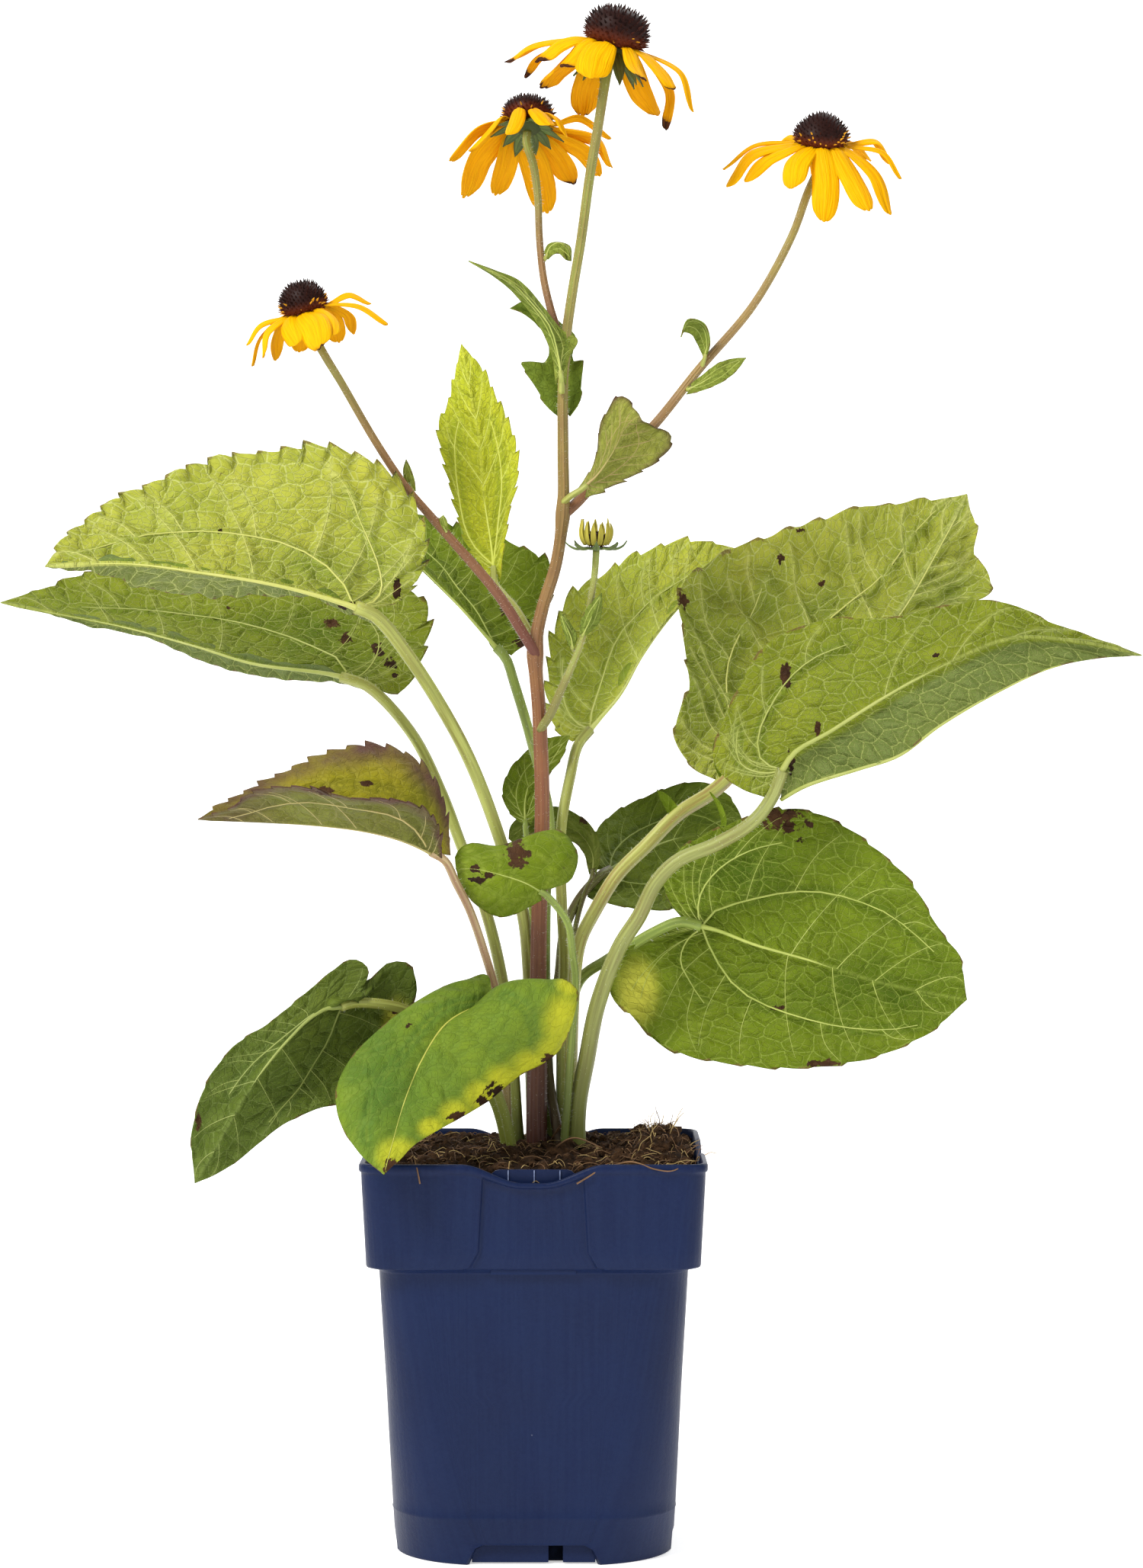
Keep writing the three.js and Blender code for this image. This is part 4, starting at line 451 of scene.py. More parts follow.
# What each leaf has of its own:
#   teeth: how many stand along a margin, and how deep they are
#   arch: how far its halves bulge, as a share of their width
#   quilt, wave, folds: how far it swells between its veins, its margin rises and falls, and broad
#     folds run over it, in millimetres
#   look, stalk: the names of the finishes of its blade and its stalk
#   main_veins: the strong side veins, as [across, up] places, each with its half of the blade
#   marks: patches of colour, as (kind, across, up, half width, half height); the dark ones
#     are painted shade
#   shaded_half: the half that is turned over, smooth and without strong veins, and how strongly
#     it is greyed as painted shade
#   rolled_margin: the half whose margin shows as a pale roll
#   edge_band: the share of the way to the margin from which it flushes brown
#   winglets: leaflets on the stalk, as [across, up] places and a width
LEAF_TRAITS = {
    "upper_left_leaf": {
        "teeth": (24, 3.8), "quilt": 1.7, "wave": 0.8, "look": "pale",
        "shaded_half": ("right", 0.95), "folds": 0.9,
        "main_veins": [
            ("left", [(-61, 333), (-69, 344), (-78, 353), (-90, 359), (-104, 363), (-125, 364),
                (-148, 360), (-168, 353)]),
            ("left", [(-56, 333), (-54.5, 341), (-55.5, 350), (-61, 365), (-68, 378)]),
        ],
        "marks": [
            ("brown", -113, 382.5, 0.9, 0.9), ("brown", -50, 341, 1.2, 3), ("brown", -67, 335, 3, 1),
            ("brown", -114, 362, 1, 0.8), ("dark", -84, 347, 18, 7), ("dark", -54, 343, 9, 14),
        ],
    },
    "lower_left_leaf": {
        "teeth": (20, 3), "arch": 0.12, "quilt": 1.1, "wave": 1, "look": "dull",
        "shaded_half": ("right", 0.8), "folds": 0.4,
        "main_veins": [
            ("left", [(-60, 307), (-68, 316), (-80, 325), (-95, 330), (-115, 334), (-140, 336),
                (-165, 337)]),
            ("left", [(-59, 307), (-57, 318), (-60, 331)]),
        ],
        "marks": [
            ("brown", -73, 329, 2.4, 1.6), ("brown", -69, 323, 1.8, 1.5), ("brown", -57, 319, 1.8, 1.5),
            ("brown", -53, 314, 2, 1.3), ("brown", -51, 310, 1, 1), ("brown", -110, 334, 1.2, 0.7),
            ("dark", -82, 322, 26, 11),
        ],
    },
    "curled_leaf": {
        "stalk": "pink", "teeth": (18, 2.4), "arch": 0.06, "quilt": 0.8, "wave": 0.8, "look": "purple",
        "edge_band": 0.55,
        "marks": [("brown", -76, 268, 2.4, 1), ("brown", -62, 271, 2, 0.6), ("dark", -40, 264, 6, 12)],
    },
    "heart_leaf": {
        "stalk": "green", "teeth": (7, 0.3), "arch": 0.12, "quilt": 0.5, "wave": 1.2, "look": "green",
        "marks": [
            ("brown", -6.5, 246, 3, 3.5), ("brown", -21, 236, 2.5, 1), ("brown", -17, 238, 2, 1),
            ("brown", -22, 240, 1.5, 1),
        ],
    },
    "young_leaf": {"stalk": "green", "teeth": (7, 0.8), "quilt": 0.4, "wave": 0.4, "look": "green"},
    "torn_leaf": {
        "stalk": "dark", "teeth": (7, 0.5), "quilt": 0.4, "wave": 0.6, "look": "dull",
        "marks": [("brown", 1, 249, 9, 2), ("brown", 20, 259, 3, 4)],
    },
    "inner_right_leaf": {
        "teeth": (14, 3.4), "quilt": 1.2, "wave": 0.8, "look": "fresh", "folds": 0.5,
        "main_veins": [
            ("right", [(16, 288), (20, 298), (24, 312), (31, 328), (41, 338), (62, 350)]),
            ("right", [(13, 290), (10, 302), (9, 315)]),
        ],
    },
    "back_left_leaf": {
        "stalk": "green", "teeth": (12, 3.4), "quilt": 1, "wave": 0.8, "look": "green",
        "main_veins": [
            ("left", [(-12, 318), (-20, 330), (-28, 342), (-36, 352), (-44, 359)]),
        ],
        "marks": [("brown", -3, 322, 4, 5), ("brown", -10, 333, 2, 2)],
    },
    "upper_right_leaf": {
        "winglets": [
            ([(49.4, 260.4), (46.9, 264.2), (45, 266.7), (43.3, 268.6)], 4.7),
            ([(69.7, 270.8), (66, 277), (64.8, 285), (68, 291.5)], 4.4),
        ],
        "stalk": "flushed", "teeth": (15, 1.8), "quilt": 2, "wave": 1.4, "look": "pale",
        "folds": 2.4,
        "main_veins": [
            ("right", [(68, 273), (70, 290), (68, 308), (76, 328), (84, 347)]),
            ("right", [(90, 291), (98, 316), (108, 334), (128, 349), (150, 372)]),
            ("left", [(112, 310), (128, 328), (140, 348), (152, 370)]),
        ],
        "marks": [
            ("brown", 52.5, 337, 1.6, 2), ("brown", 128, 322, 1.5, 1), ("brown", 95, 362, 1.2, 0.8),
            ("brown", 88, 352, 1, 1), ("brown", 102, 343, 1.4, 0.7), ("dark", 64, 312, 14, 34),
            ("dark", 108, 334, 16, 6), ("dark", 146, 340, 14, 6), ("dark", 84, 340, 6, 12),
        ],
    },
    "lower_right_leaf": {
        "winglets": [([(67, 255.4), (67.2, 258.2), (65.6, 263.1), (62.3, 268)], 2.4)],
        "teeth": (12, 0.9), "quilt": 1.3, "wave": 0.8, "look": "dull",
        "shaded_half": ("left", 0.75), "rolled_margin": "left",
        "stalk": "dim", "folds": 0.9,
        "main_veins": [
            ("right", [(80, 268), (79, 283), (82, 297), (94, 312), (112, 322)]),
            ("right", [(78, 267), (73, 279), (72, 290)]),
        ],
        "marks": [
            ("brown", 90, 310, 1.2, 4), ("brown", 91.5, 279, 1, 3), ("brown", 101, 291, 0.8, 2),
            ("brown", 144, 317, 1, 0.7),
        ],
    },
    "round_leaf": {
        "stalk": "green", "teeth": (15, 1.2), "arch": 0.09, "quilt": 1, "wave": 1, "look": "green",
        "main_veins": [
            ("right", [(54, 221), (66, 226), (79, 230), (93, 232.5), (106, 232), (127, 224),
                (144, 210)]),
            ("right", [(54, 222), (61, 234), (69, 244), (87, 250)]),
            ("left", [(54, 220), (65, 206), (79, 192), (91, 187), (111, 183), (136, 184)]),
            ("left", [(53, 219), (51, 206), (58, 192)]),
        ],
        "marks": [
            ("brown", 86, 258.5, 6, 2.3), ("brown", 91, 256, 3, 2.2), ("brown", 99.5, 256.5, 1.4, 1.2),
            ("brown", 94, 250.5, 2.4, 0.6), ("brown", 86, 190, 2, 0.8), ("brown", 105, 170, 5, 1),
            ("yellow", 36, 196, 6, 10), ("dark", 122, 196, 20, 9), ("dark", 70, 240, 14, 8),
        ],
    },
    "back_right_leaf": {
        "stalk": "dark", "teeth": (11, 0.9), "quilt": 0.5, "wave": 0.8, "look": "shaded",
    },
    "yellowing_leaf": {
        "teeth": (8, 0.25), "arch": 0.14, "quilt": 0.8, "wave": 1.2, "look": "yellowing",
        "main_veins": [
            ("right", [(-17, 193), (-35, 188), (-46, 176), (-57, 160), (-61, 142)]),
            ("left", [(-12, 192), (-4, 187), (-5, 172), (-20, 158)]),
        ],
        "marks": [
            ("yellow", 10, 184, 6, 9), ("yellow", 6, 174, 5, 5), ("yellow", -2, 169, 6, 4.5),
            ("yellow", -11, 164, 6, 4.5), ("yellow", -20, 158, 5, 4.5), ("yellow", -29, 152, 5, 4),
            ("yellow", -38, 147, 4, 3), ("yellow", -50, 137, 6, 5), ("yellow", 12, 198, 4, 3),
            ("brown", -14, 160, 3, 2.4), ("brown", -19, 157, 2.4, 1.4), ("brown", -28, 151, 3, 1.4),
            ("brown", -53, 133, 2.6, 2), ("brown", 4, 171, 2.4, 1.6), ("brown", -46, 184, 1.2, 0.8),
            ("dark", -58, 166, 10, 14),
        ],
    },
    "front_left_leaf": {
        "teeth": (11, 0.6), "arch": 0.14, "quilt": 0.9, "wave": 1, "look": "deep",
        "main_veins": [
            ("right", [(-66, 192), (-72, 178), (-80, 166), (-96, 148)]),
            ("left", [(-80, 188), (-96, 176), (-110, 160)]),
        ],
        "marks": [("brown", -52, 190, 3, 0.8), ("brown", -122, 150, 0.8, 2), ("yellow", -50, 184, 4, 7)],
    },
    "tall_leaf": {
        "teeth": (14, 1.7), "arch": 0.07, "quilt": 0.6, "wave": 0.4, "look": "bright",
        "main_veins": [
            ("right", [(-17, 346), (-25, 362), (-29, 380), (-28, 402)]),
            ("left", [(-15, 346), (-14, 362), (-13, 380), (-17, 402)]),
        ],
    },
    "right_node_leaf": {
        "teeth": (7, 2), "quilt": 0.4, "wave": 0.3, "look": "purple_green",
        "edge_band": 0.88,
    },
    "spoon_leaf": {"teeth": (6, 0.4), "quilt": 0.1, "wave": 0.2},
    "collar_leaf": {"teeth": (6, 0.9), "quilt": 0.2, "wave": 0.3},
    "stalk_hook_leaf": {"teeth": (4, 0.2), "quilt": 0, "wave": 0.1},
    "branch_hook_leaf": {"teeth": (4, 0.2), "quilt": 0, "wave": 0.1},
    "branch_side_leaf": {"teeth": (5, 0.5), "quilt": 0.1, "wave": 0.2},
    "branch_sprout_leaf": {"teeth": (3, 0.1), "quilt": 0, "wave": 0},
    "node_sprout_leaf": {"teeth": (3, 0.1), "quilt": 0, "wave": 0},
    "bud_right_leaf": {"teeth": (4, 0.3), "quilt": 0, "wave": 0.1},
    "bud_left_leaf": {"teeth": (4, 0.3), "quilt": 0, "wave": 0.1},
}

# The flower heads. centre is the middle of the cone's foot, lean tips the head to the right and
# back tips it away from the viewer, in degrees. disc is the radius at which the rays spring, and
# cone is a profile of (radius, height). bracts are their count, reach, drop and width, and the
# share of the drop at two thirds of the reach. Each ray is (bearing, middle, tip, width): the
# bearing is counted from the right, anticlockwise from above. withered is the share of rays with
# burnt tips, from which the rays at the bearings in sound_rays are kept. spiky is how uneven the
# florets are, and pollen is how many of the low ones are dusted with it.
HEADS = {
    "top_flower": {
        "centre": (28, 537.5, -5), "lean": 14, "back": -8, "disc": 10,
        "cone": [(9.9, 0), (11.3, 2.4), (11.3, 5.6), (10.2, 8.8), (8, 11.2), (4, 12.6)],
        "bracts": {"count": 11, "reach": 12.5, "drop": 11.5, "width": 5, "drooped": 0.42},
        "rays": [
            (175, (-1, 537), (-11.5, 530.5), 7), (200, (8.5, 538.5), (-0.5, 530.5), 10),
            (163, (0.5, 532.5), (-4.5, 525), 6), (148, (8.5, 529.5), (1, 521.5), 12),
            (215, (15, 536), (9, 528.5), 10.5), (255, (21.5, 533.5), (19.5, 524.5), 13),
            (108, (18, 521.5), (16.5, 511), 11), (62, (38, 521.5), (44, 511.5), 10),
            (305, (36, 530.5), (39, 524), 9), (332, (45, 528.5), (49.5, 520.5), 9.5),
            (355, (52.5, 527), (56.5, 512.5), 6), (28, (48.5, 520), (46.5, 506), 6),
        ],
        "withered": 1.0, "sound_rays": (255, 355), "spiky": 1.0, "pollen": 0.0,
    },
    "second_flower": {
        "centre": (-3, 509.5, 12), "lean": 4, "back": 24, "disc": 9,
        "cone": [(9, 0), (9.8, 2.4), (9.2, 4.8), (7, 7), (3.6, 8.4)],
        "bracts": {"count": 10, "reach": 12.5, "drop": 5, "width": 4.4, "drooped": 0.3},
        "rays": [
            (178, (-21.5, 506.5), (-31.5, 495), 6), (195, (-17.5, 506), (-24.5, 498.5), 6),
            (150, (-21.5, 496.5), (-26.5, 481.5), 12), (128, (-11.5, 494), (-15, 482.5), 9),
            (98, (0, 492.5), (4, 476), 11), (60, (8.5, 496.5), (13.5, 486.5), 10),
            (35, (18, 498.5), (23, 489.5), 8), (15, (22, 503.5), (27.5, 492.5), 8),
            (355, (15.5, 511), (27, 503), 4), (250, (-7.5, 510.5), (-10, 504.5), 6),
            (285, (2, 512), (5, 508), 7), (320, (8.5, 509.5), (11, 503.5), 6),
        ],
        "withered": 0.1, "spiky": 0.4, "pollen": 0.1,
    },
    "right_flower": {
        "centre": (102.5, 502, 24), "lean": 3, "back": -20, "disc": 9.2,
        "cone": [(9.6, 0), (10.4, 2.4), (9.8, 4.6), (7.2, 7.6), (4.2, 9.8), (2, 10.6)],
        "bracts": {"count": 10, "reach": 10.5, "drop": 6, "width": 4, "drooped": 0.4},
        "rays": [
            (172, (78.5, 501), (67, 492), 4), (193, (77, 498), (68.5, 485.5), 9),
            (212, (82.5, 496), (75, 487.5), 8), (242, (93.5, 495), (92, 485), 10),
            (270, (104.5, 487), (103.5, 473), 10), (303, (114, 489.5), (120, 477), 9),
            (328, (122.5, 490.5), (127.5, 475.5), 8), (350, (125, 498.5), (131.5, 488.5), 4),
            (15, (122.5, 502.5), (128, 493.5), 6), (48, (115.5, 501), (120.5, 495), 7),
            (95, (103, 496.5), (104.5, 484.5), 10), (138, (91, 504), (86, 496.5), 7),
        ],
        "withered": 0.0, "spiky": 0.3, "pollen": 0.3,
    },
    "left_flower": {
        "centre": (-83.5, 442, -24), "lean": -17, "back": -14, "disc": 7.8,
        "cone": [(8, 0), (8.6, 2.2), (7.8, 5), (6, 7.6), (3.4, 9.2)],
        "bracts": {"count": 9, "reach": 11, "drop": 6.5, "width": 4, "drooped": 0.4},
        "rays": [
            (175, (-100, 436), (-104.5, 428.5), 5), (160, (-100, 431), (-102.5, 421), 4),
            (200, (-98, 433), (-98.5, 424), 8), (140, (-94, 432), (-94, 423), 8),
            (228, (-89, 435), (-86, 429), 9), (270, (-80.5, 436.5), (-78, 427), 11),
            (303, (-74.5, 437.5), (-73.5, 432), 6), (45, (-67.5, 440), (-66, 432.5), 7),
            (12, (-67.5, 447.5), (-59.5, 443.5), 5), (345, (-64, 443), (-53.5, 436), 4),
            (75, (-75, 440.5), (-71, 429.5), 8), (108, (-85, 436.5), (-85.5, 426), 8),
        ],
        "withered": 0.1, "spiky": 0.5, "pollen": 0.2,
    },
}

STALK_OF = {
    "top_flower": "main_stem", "second_flower": "second_flower_stalk",
    "right_flower": "right_branch", "left_flower": "left_branch",
}

# Heights along a head's own axis, from its cone's foot, and how far rays stand out sideways.
HEAD_NECK, HEAD_UNDER_NECK = -4.6, -9.0
HUB_PROFILE = [(2.2, -4.6), (3.2, -4.1), (4.6, -3), (4.8, -2.2), (4.6, -1.65)]
RAY_LEVEL = -0.8
MIDDLE_SPREAD, TIP_SPREAD = 15, 22

# The opening bud, in its own frame as the heads are. Paths are (radius, height) places.
BUD = {
    "centre": (21.5, 357.5, -8), "lean": 0, "back": -4,
    "cone": [(4, 0), (4.4, 1.6), (3.2, 3.4), (0.3, 4)],
    "florets": 90, "floret_size": 0.75,
    "ray_path": [(4.4, -0.8), (5.6, 1.5), (6, 4.5), (5.2, 8)],
    "ray_count": 13, "ray_turn": 10, "ray_width": 1.9,
    "cup": [(2.2, -2.3), (3.6, -2.1), (4.6, -1.55)],
    "sepal_path": [(3.2, -1.9), (7, -2.4), (9.6, -1.2), (11, 0.8)],
    "sepal_count": 8, "sepal_width": 2.8,
    "stalk_top": -2.6,
}

# Places and curves

def place(points):
    """[across, up, behind] places as points of the part, in metres."""
    points = np.asarray(points, float)
    spread = 1 - points[..., 2] / VIEWER[1]
    x = VIEWER[0] + (points[..., 0] + CROWN_ACROSS - VIEWER[0]) * spread
    z = VIEWER[2] + (points[..., 1] - VIEWER[2]) * spread
    return np.stack([x, points[..., 2], z], -1) * MM


def seen(points):
    """Where points of the part are seen, as [across, up]."""
    points = np.asarray(points, float) / MM
    spread = 1 - points[..., 1] / VIEWER[1]
    across = VIEWER[0] + (points[..., 0] - VIEWER[0]) / spread - CROWN_ACROSS
    up = VIEWER[2] + (points[..., 2] - VIEWER[2]) / spread
    return np.stack([across, up], -1)


def unit(vectors):
    length = np.linalg.norm(vectors, axis=-1, keepdims=True)
    return vectors / np.maximum(length, 1e-12)


def ease(low, high, value):
    """0 below low, 1 above high, and a smooth rise between them."""
    t = np.clip((value - low) / (high - low), 0, 1)
    return t * t * (3 - 2 * t)


def ripple(points, size, seed, waves=7):
    """Smooth random rises and falls between about -1 and 1, size from crest to crest."""
    draw = np.random.default_rng(seed)
    total = np.zeros(points.shape[:-1])
    for _ in range(waves):
        heading = unit(draw.normal(size=points.shape[-1]))
        pitch = 2 * np.pi / (size * draw.uniform(0.7, 1.5))
        total += np.sin(points @ heading * pitch + draw.uniform(0, 2 * np.pi))
    return total / waves**0.5 / 1.4


class SmoothLine:
    """A smooth line through points, read by the share of its length."""

    STEPS = 30

    def __init__(self, points):
        points = np.asarray(points, float)
        ends = [2 * points[0] - points[1]], [2 * points[-1] - points[-2]]
        padded = np.vstack([ends[0], points, ends[1]])
        w = np.linspace(0, 1, self.STEPS, endpoint=False)[:, None]
        pieces = []
        for p0, p1, p2, p3 in zip(padded, padded[1:], padded[2:], padded[3:]):
            d0, d1, d2 = [np.linalg.norm(b - a) ** 0.5 for a, b in ((p0, p1), (p1, p2), (p2, p3))]
            leave = ((p1 - p0) / d0 - (p2 - p0) / (d0 + d1) + (p2 - p1) / d1) * d1
            arrive = ((p2 - p1) / d1 - (p3 - p1) / (d1 + d2) + (p3 - p2) / d2) * d1
            bend = 3 * (p2 - p1) - 2 * leave - arrive
            curl = 2 * (p1 - p2) + leave + arrive
            pieces.append(p1 + leave * w + bend * w**2 + curl * w**3)
        self.line = np.vstack(pieces + [points[-1:]])
        run = np.linalg.norm(np.diff(self.line, axis=0), axis=1)
        self.length = run.sum()
        self.share = np.concatenate([[0], np.cumsum(run)]) / self.length

    def at(self, t):
        t = np.clip(t, 0, 1)
        return np.stack([np.interp(t, self.share, column) for column in self.line.T], -1)

    def heading(self, t, reach=0.01):
        t = np.asarray(t)
        return unit(self.at(t + reach) - self.at(t - reach))

    def frames(self, t):
        """Two directions square to the line at each t, turning as little as possible along it."""
        heading = self.heading(t)
        sides = [unit(np.cross(heading[0], (0.31, 0.92, 0.23)))]
        for direction in heading[1:]:
            sides.append(unit(sides[-1] - direction * np.dot(sides[-1], direction)))
        side = np.array(sides)
        return side, np.cross(heading, side)


def leaning(form):
    """A leaf's form, with its margins run on to its tip and its lean added to all places: in full
    at the tip and little near the foot."""
    foot = place(form["stalk"][0])
    length = np.linalg.norm(place(form["midrib"][-1]) - foot)
    bent = dict(form)
    for part in ("stalk", "midrib", "left", "right"):
        tip = form["midrib"][-1:] if part in ("left", "right") else []
        points = np.array(form[part] + tip, float)
        share = np.minimum(np.linalg.norm(place(points) - foot, axis=1) / length, 1)
        points[:, 2] += form.get("lean", 0) * share**LEAN_CURVE
        bent[part] = points
    return bent


# Meshes

def sheet(bm, columns, rows, shape, uv_shape=None, material=0, around=False):
    """Adds a grid at shape(s, t), s from -1 to 1 and t from 0 to 1, closed on itself if around."""
    made = bmesh.ops.create_grid(bm, x_segments=columns, y_segments=rows, size=1)["verts"]
    flat = np.array([v.co[:2] for v in made])
    s, t = flat[:, 0] / abs(flat[:, 0]).max(), (flat[:, 1] / abs(flat[:, 1]).max() + 1) / 2
    for vert, point in zip(made, shape(s, t)):
        vert.co = point
    faces = list({face for vert in made for face in vert.link_faces})
    uv_layer = bm.loops.layers.uv.verify()
    flat_place = np.stack([s, t], -1) if uv_shape is None else uv_shape(s, t)
    place_on = dict(zip(made, flat_place))
    for face in faces:
        face.material_index = material
        face.smooth = True
        for loop in face.loops:
            loop[uv_layer].uv = place_on[loop.vert]
    if around:
        bmesh.ops.remove_doubles(bm, verts=made, dist=1e-7)
        made = list({vert for face in faces for vert in face.verts})
    return made, faces, s, t


def paint(made, finish):
    """Gives the faces of some vertices one of their piece's finishes, by its number."""
    for face in {face for vert in made for face in vert.link_faces}:
        face.material_index = finish


def block(bm, turn, centre, size, finish=0):
    """Adds a block, by its centre and its size in millimetres."""
    spot = turn @ Matrix.Translation([value * MM for value in centre])
    shape = Matrix.Diagonal([value * MM for value in size] + [1])
    made = bmesh.ops.create_cube(bm, size=1, matrix=spot @ shape)["verts"]
    paint(made, finish)
    return made


def close_ends(bm, faces):
    """Closes the open ends of a wrapped sheet."""
    open_edges = list({e for face in faces for e in face.edges if e.is_boundary})
    for cap in bmesh.ops.holes_fill(bm, edges=open_edges, sides=0)["faces"]:
        cap.material_index = faces[0].material_index
        cap.smooth = True


def append(bm, own):
    """Adds a finished mesh to another and frees it."""
    mesh = bpy.data.meshes.new("Passing")
    own.to_mesh(mesh)
    own.free()
    bm.loops.layers.uv.verify()
    bm.from_mesh(mesh)
    bpy.data.meshes.remove(mesh)


def rod(bm, line, radius, sides, rows, share=(0, 1), ridges=(0, 0), material=0, capped=True):
    """Adds a rod along a line. radius depends on the share of the length, ridges are a count and
    a depth."""
    steps = np.linspace(share[0], share[1], rows + 1)
    centre, girth = line.at(steps), radius(steps)
    side, other = line.frames(steps)

    def shape(s, t):
        row = np.rint(t * rows).astype(int)
        turn = np.pi * (s + 1)
        reach = girth[row] * (1 + ridges[1] * np.cos(ridges[0] * turn))
        out = side[row] * np.cos(turn)[:, None] + other[row] * np.sin(turn)[:, None]
        return centre[row] + out * reach[:, None]

    def laid_out(s, t):
        return np.stack([(s + 1) * np.pi * girth.mean(), steps[0] * line.length
                         + t * (steps[-1] - steps[0]) * line.length], -1)

    own = bmesh.new()
    faces = sheet(own, sides, rows, shape, laid_out, material, around=True)[1]
    if capped:
        close_ends(own, faces)
    append(bm, own)


def bristles(bm, line, radius, count, length, draw, share=(0, 1), rise=0.5, material=1):
    """Adds short stiff hairs that stand out from a rod."""
    steps = np.sort(draw.uniform(share[0], share[1], count))
    side, other = line.frames(steps)
    turn = draw.uniform(0, 2 * np.pi, count)
    out = side * np.cos(turn)[:, None] + other * np.sin(turn)[:, None]
    foot = line.at(steps) + out * radius(steps)[:, None] * 0.9
    lean = draw.normal(size=(count, 3)) * 0.25
    heading = unit(out + line.heading(steps) * rise + lean)
    lengths = length * draw.uniform(0.5, 1.2, count)
    for first in range(0, count, HAIRS_AT_ONCE):
        own = bmesh.new()
        for index in range(first, min(first + HAIRS_AT_ONCE, count)):
            spike(own, foot[index], heading[index], lengths[index], material)
        append(bm, own)


def spike(bm, start, direction, length, material, radius=HAIR_RADIUS):
    """Adds one hair."""
    turn = UP.rotation_difference(Vector(direction)).to_matrix().to_4x4()
    middle = Matrix.Translation(Vector(start) + Vector(direction) * length / 2)
    made = bmesh.ops.create_cone(
        bm, cap_ends=False, segments=3, radius1=radius, radius2=radius / 4,
        depth=length, matrix=middle @ turn)["verts"]
    paint(made, material)


def new_piece(name, bm, finishes, slot, *nodes):
    """Makes a mesh into a piece that stands for nodes of the frame."""
    mesh = bpy.data.meshes.new(name)
    bm.to_mesh(mesh)
    bm.free()
    piece = bpy.data.objects.new(name, mesh)
    bpy.context.scene.collection.objects.link(piece)
    for finish in finishes:
        mesh.materials.append(finish)
    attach(piece, "root")
    if nodes:
        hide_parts(*nodes)
    return piece


def write_layer(piece, name, values):
    """Stores one number for each vertex of a piece."""
    layer = piece.data.attributes.new(name, "FLOAT", "POINT")
    layer.data.foreach_set("value", np.asarray(values, np.float32))


def thicken(piece, thickness, faces_apart=True):
    """Gives a thin sheet its thickness, with a finish of its own on its second face."""
    solid = piece.modifiers.new("Thickness", "SOLIDIFY")
    solid.thickness = thickness
    solid.offset = 0
    if faces_apart:
        solid.material_offset = 1
        solid.material_offset_rim = 1


# Finishes

def srgb(*levels):
    """A colour given as 0 to 255 screen levels."""
    shares = [level / 255 for level in levels]
    return [s / 12.92 if s < 0.04045 else ((s + 0.055) / 1.055) ** 2.4 for s in shares] + [1.0]


def add(tree, kind, inputs=None, **settings):
    """Adds a node. inputs are values or sockets, by the input's name or number."""
    made = tree.nodes.new(kind)
    for key, value in settings.items():
        setattr(made, key, value)
    for key, value in (inputs or {}).items():
        if isinstance(value, bpy.types.NodeSocket):
            tree.links.new(value, made.inputs[key])
        else:
            made.inputs[key].default_value = value
    return made


def maths(tree, operation, *values):
    """A sum of values or sockets."""
    return add(tree, "ShaderNodeMath", dict(enumerate(values)), operation=operation).outputs[0]


def times(tree, first, second):
    return maths(tree, "MULTIPLY", first, second)


def rise(tree, value, low, high, bottom=0.0, top=1.0):
    """bottom where value is under low, top where it is over high, and smooth between."""
    inputs = {"Value": value, "From Min": low, "From Max": high, "To Min": bottom, "To Max": top}
    return add(tree, "ShaderNodeMapRange", inputs, interpolation_type="SMOOTHSTEP").outputs[0]


def tint(tree, share, first, second):
    """first, with as much of second as share says."""
    return add(tree, "ShaderNodeMix", {0: share, 6: first, 7: second}, data_type="RGBA").outputs[2]


def shader_group(name, inputs, outputs):
    """An empty node group, with its input sockets and the node that takes its outputs."""
    tree = bpy.data.node_groups.new(name, "ShaderNodeTree")
    for label, kind, default in inputs:
        socket = tree.interface.new_socket(label, in_out="INPUT", socket_type=kind)
        if default is not None:
            socket.default_value = default
    for label, kind in outputs:
        tree.interface.new_socket(label, in_out="OUTPUT", socket_type=kind)
    return tree, tree.nodes.new("NodeGroupInput").outputs, tree.nodes.new("NodeGroupOutput").inputs


def use_group(tree, group, **inputs):
    """Adds a node group and gives its outputs."""
    made = tree.nodes.new("ShaderNodeGroup")
    made.node_tree = group
    for key, value in inputs.items():
        socket = made.inputs[key.replace("_", " ")]
        if isinstance(value, bpy.types.NodeSocket):
            tree.links.new(value, socket)
        else:
            socket.default_value = value
    return made.outputs


VECTOR, NUMBER = "NodeSocketVector", "NodeSocketFloat"


def once(label):
    """Makes a node group the first time that it is asked for, and names it."""
    def keep(maker):
        def ask():
            return bpy.data.node_groups.get(label) or maker(label)
        return ask
    return keep


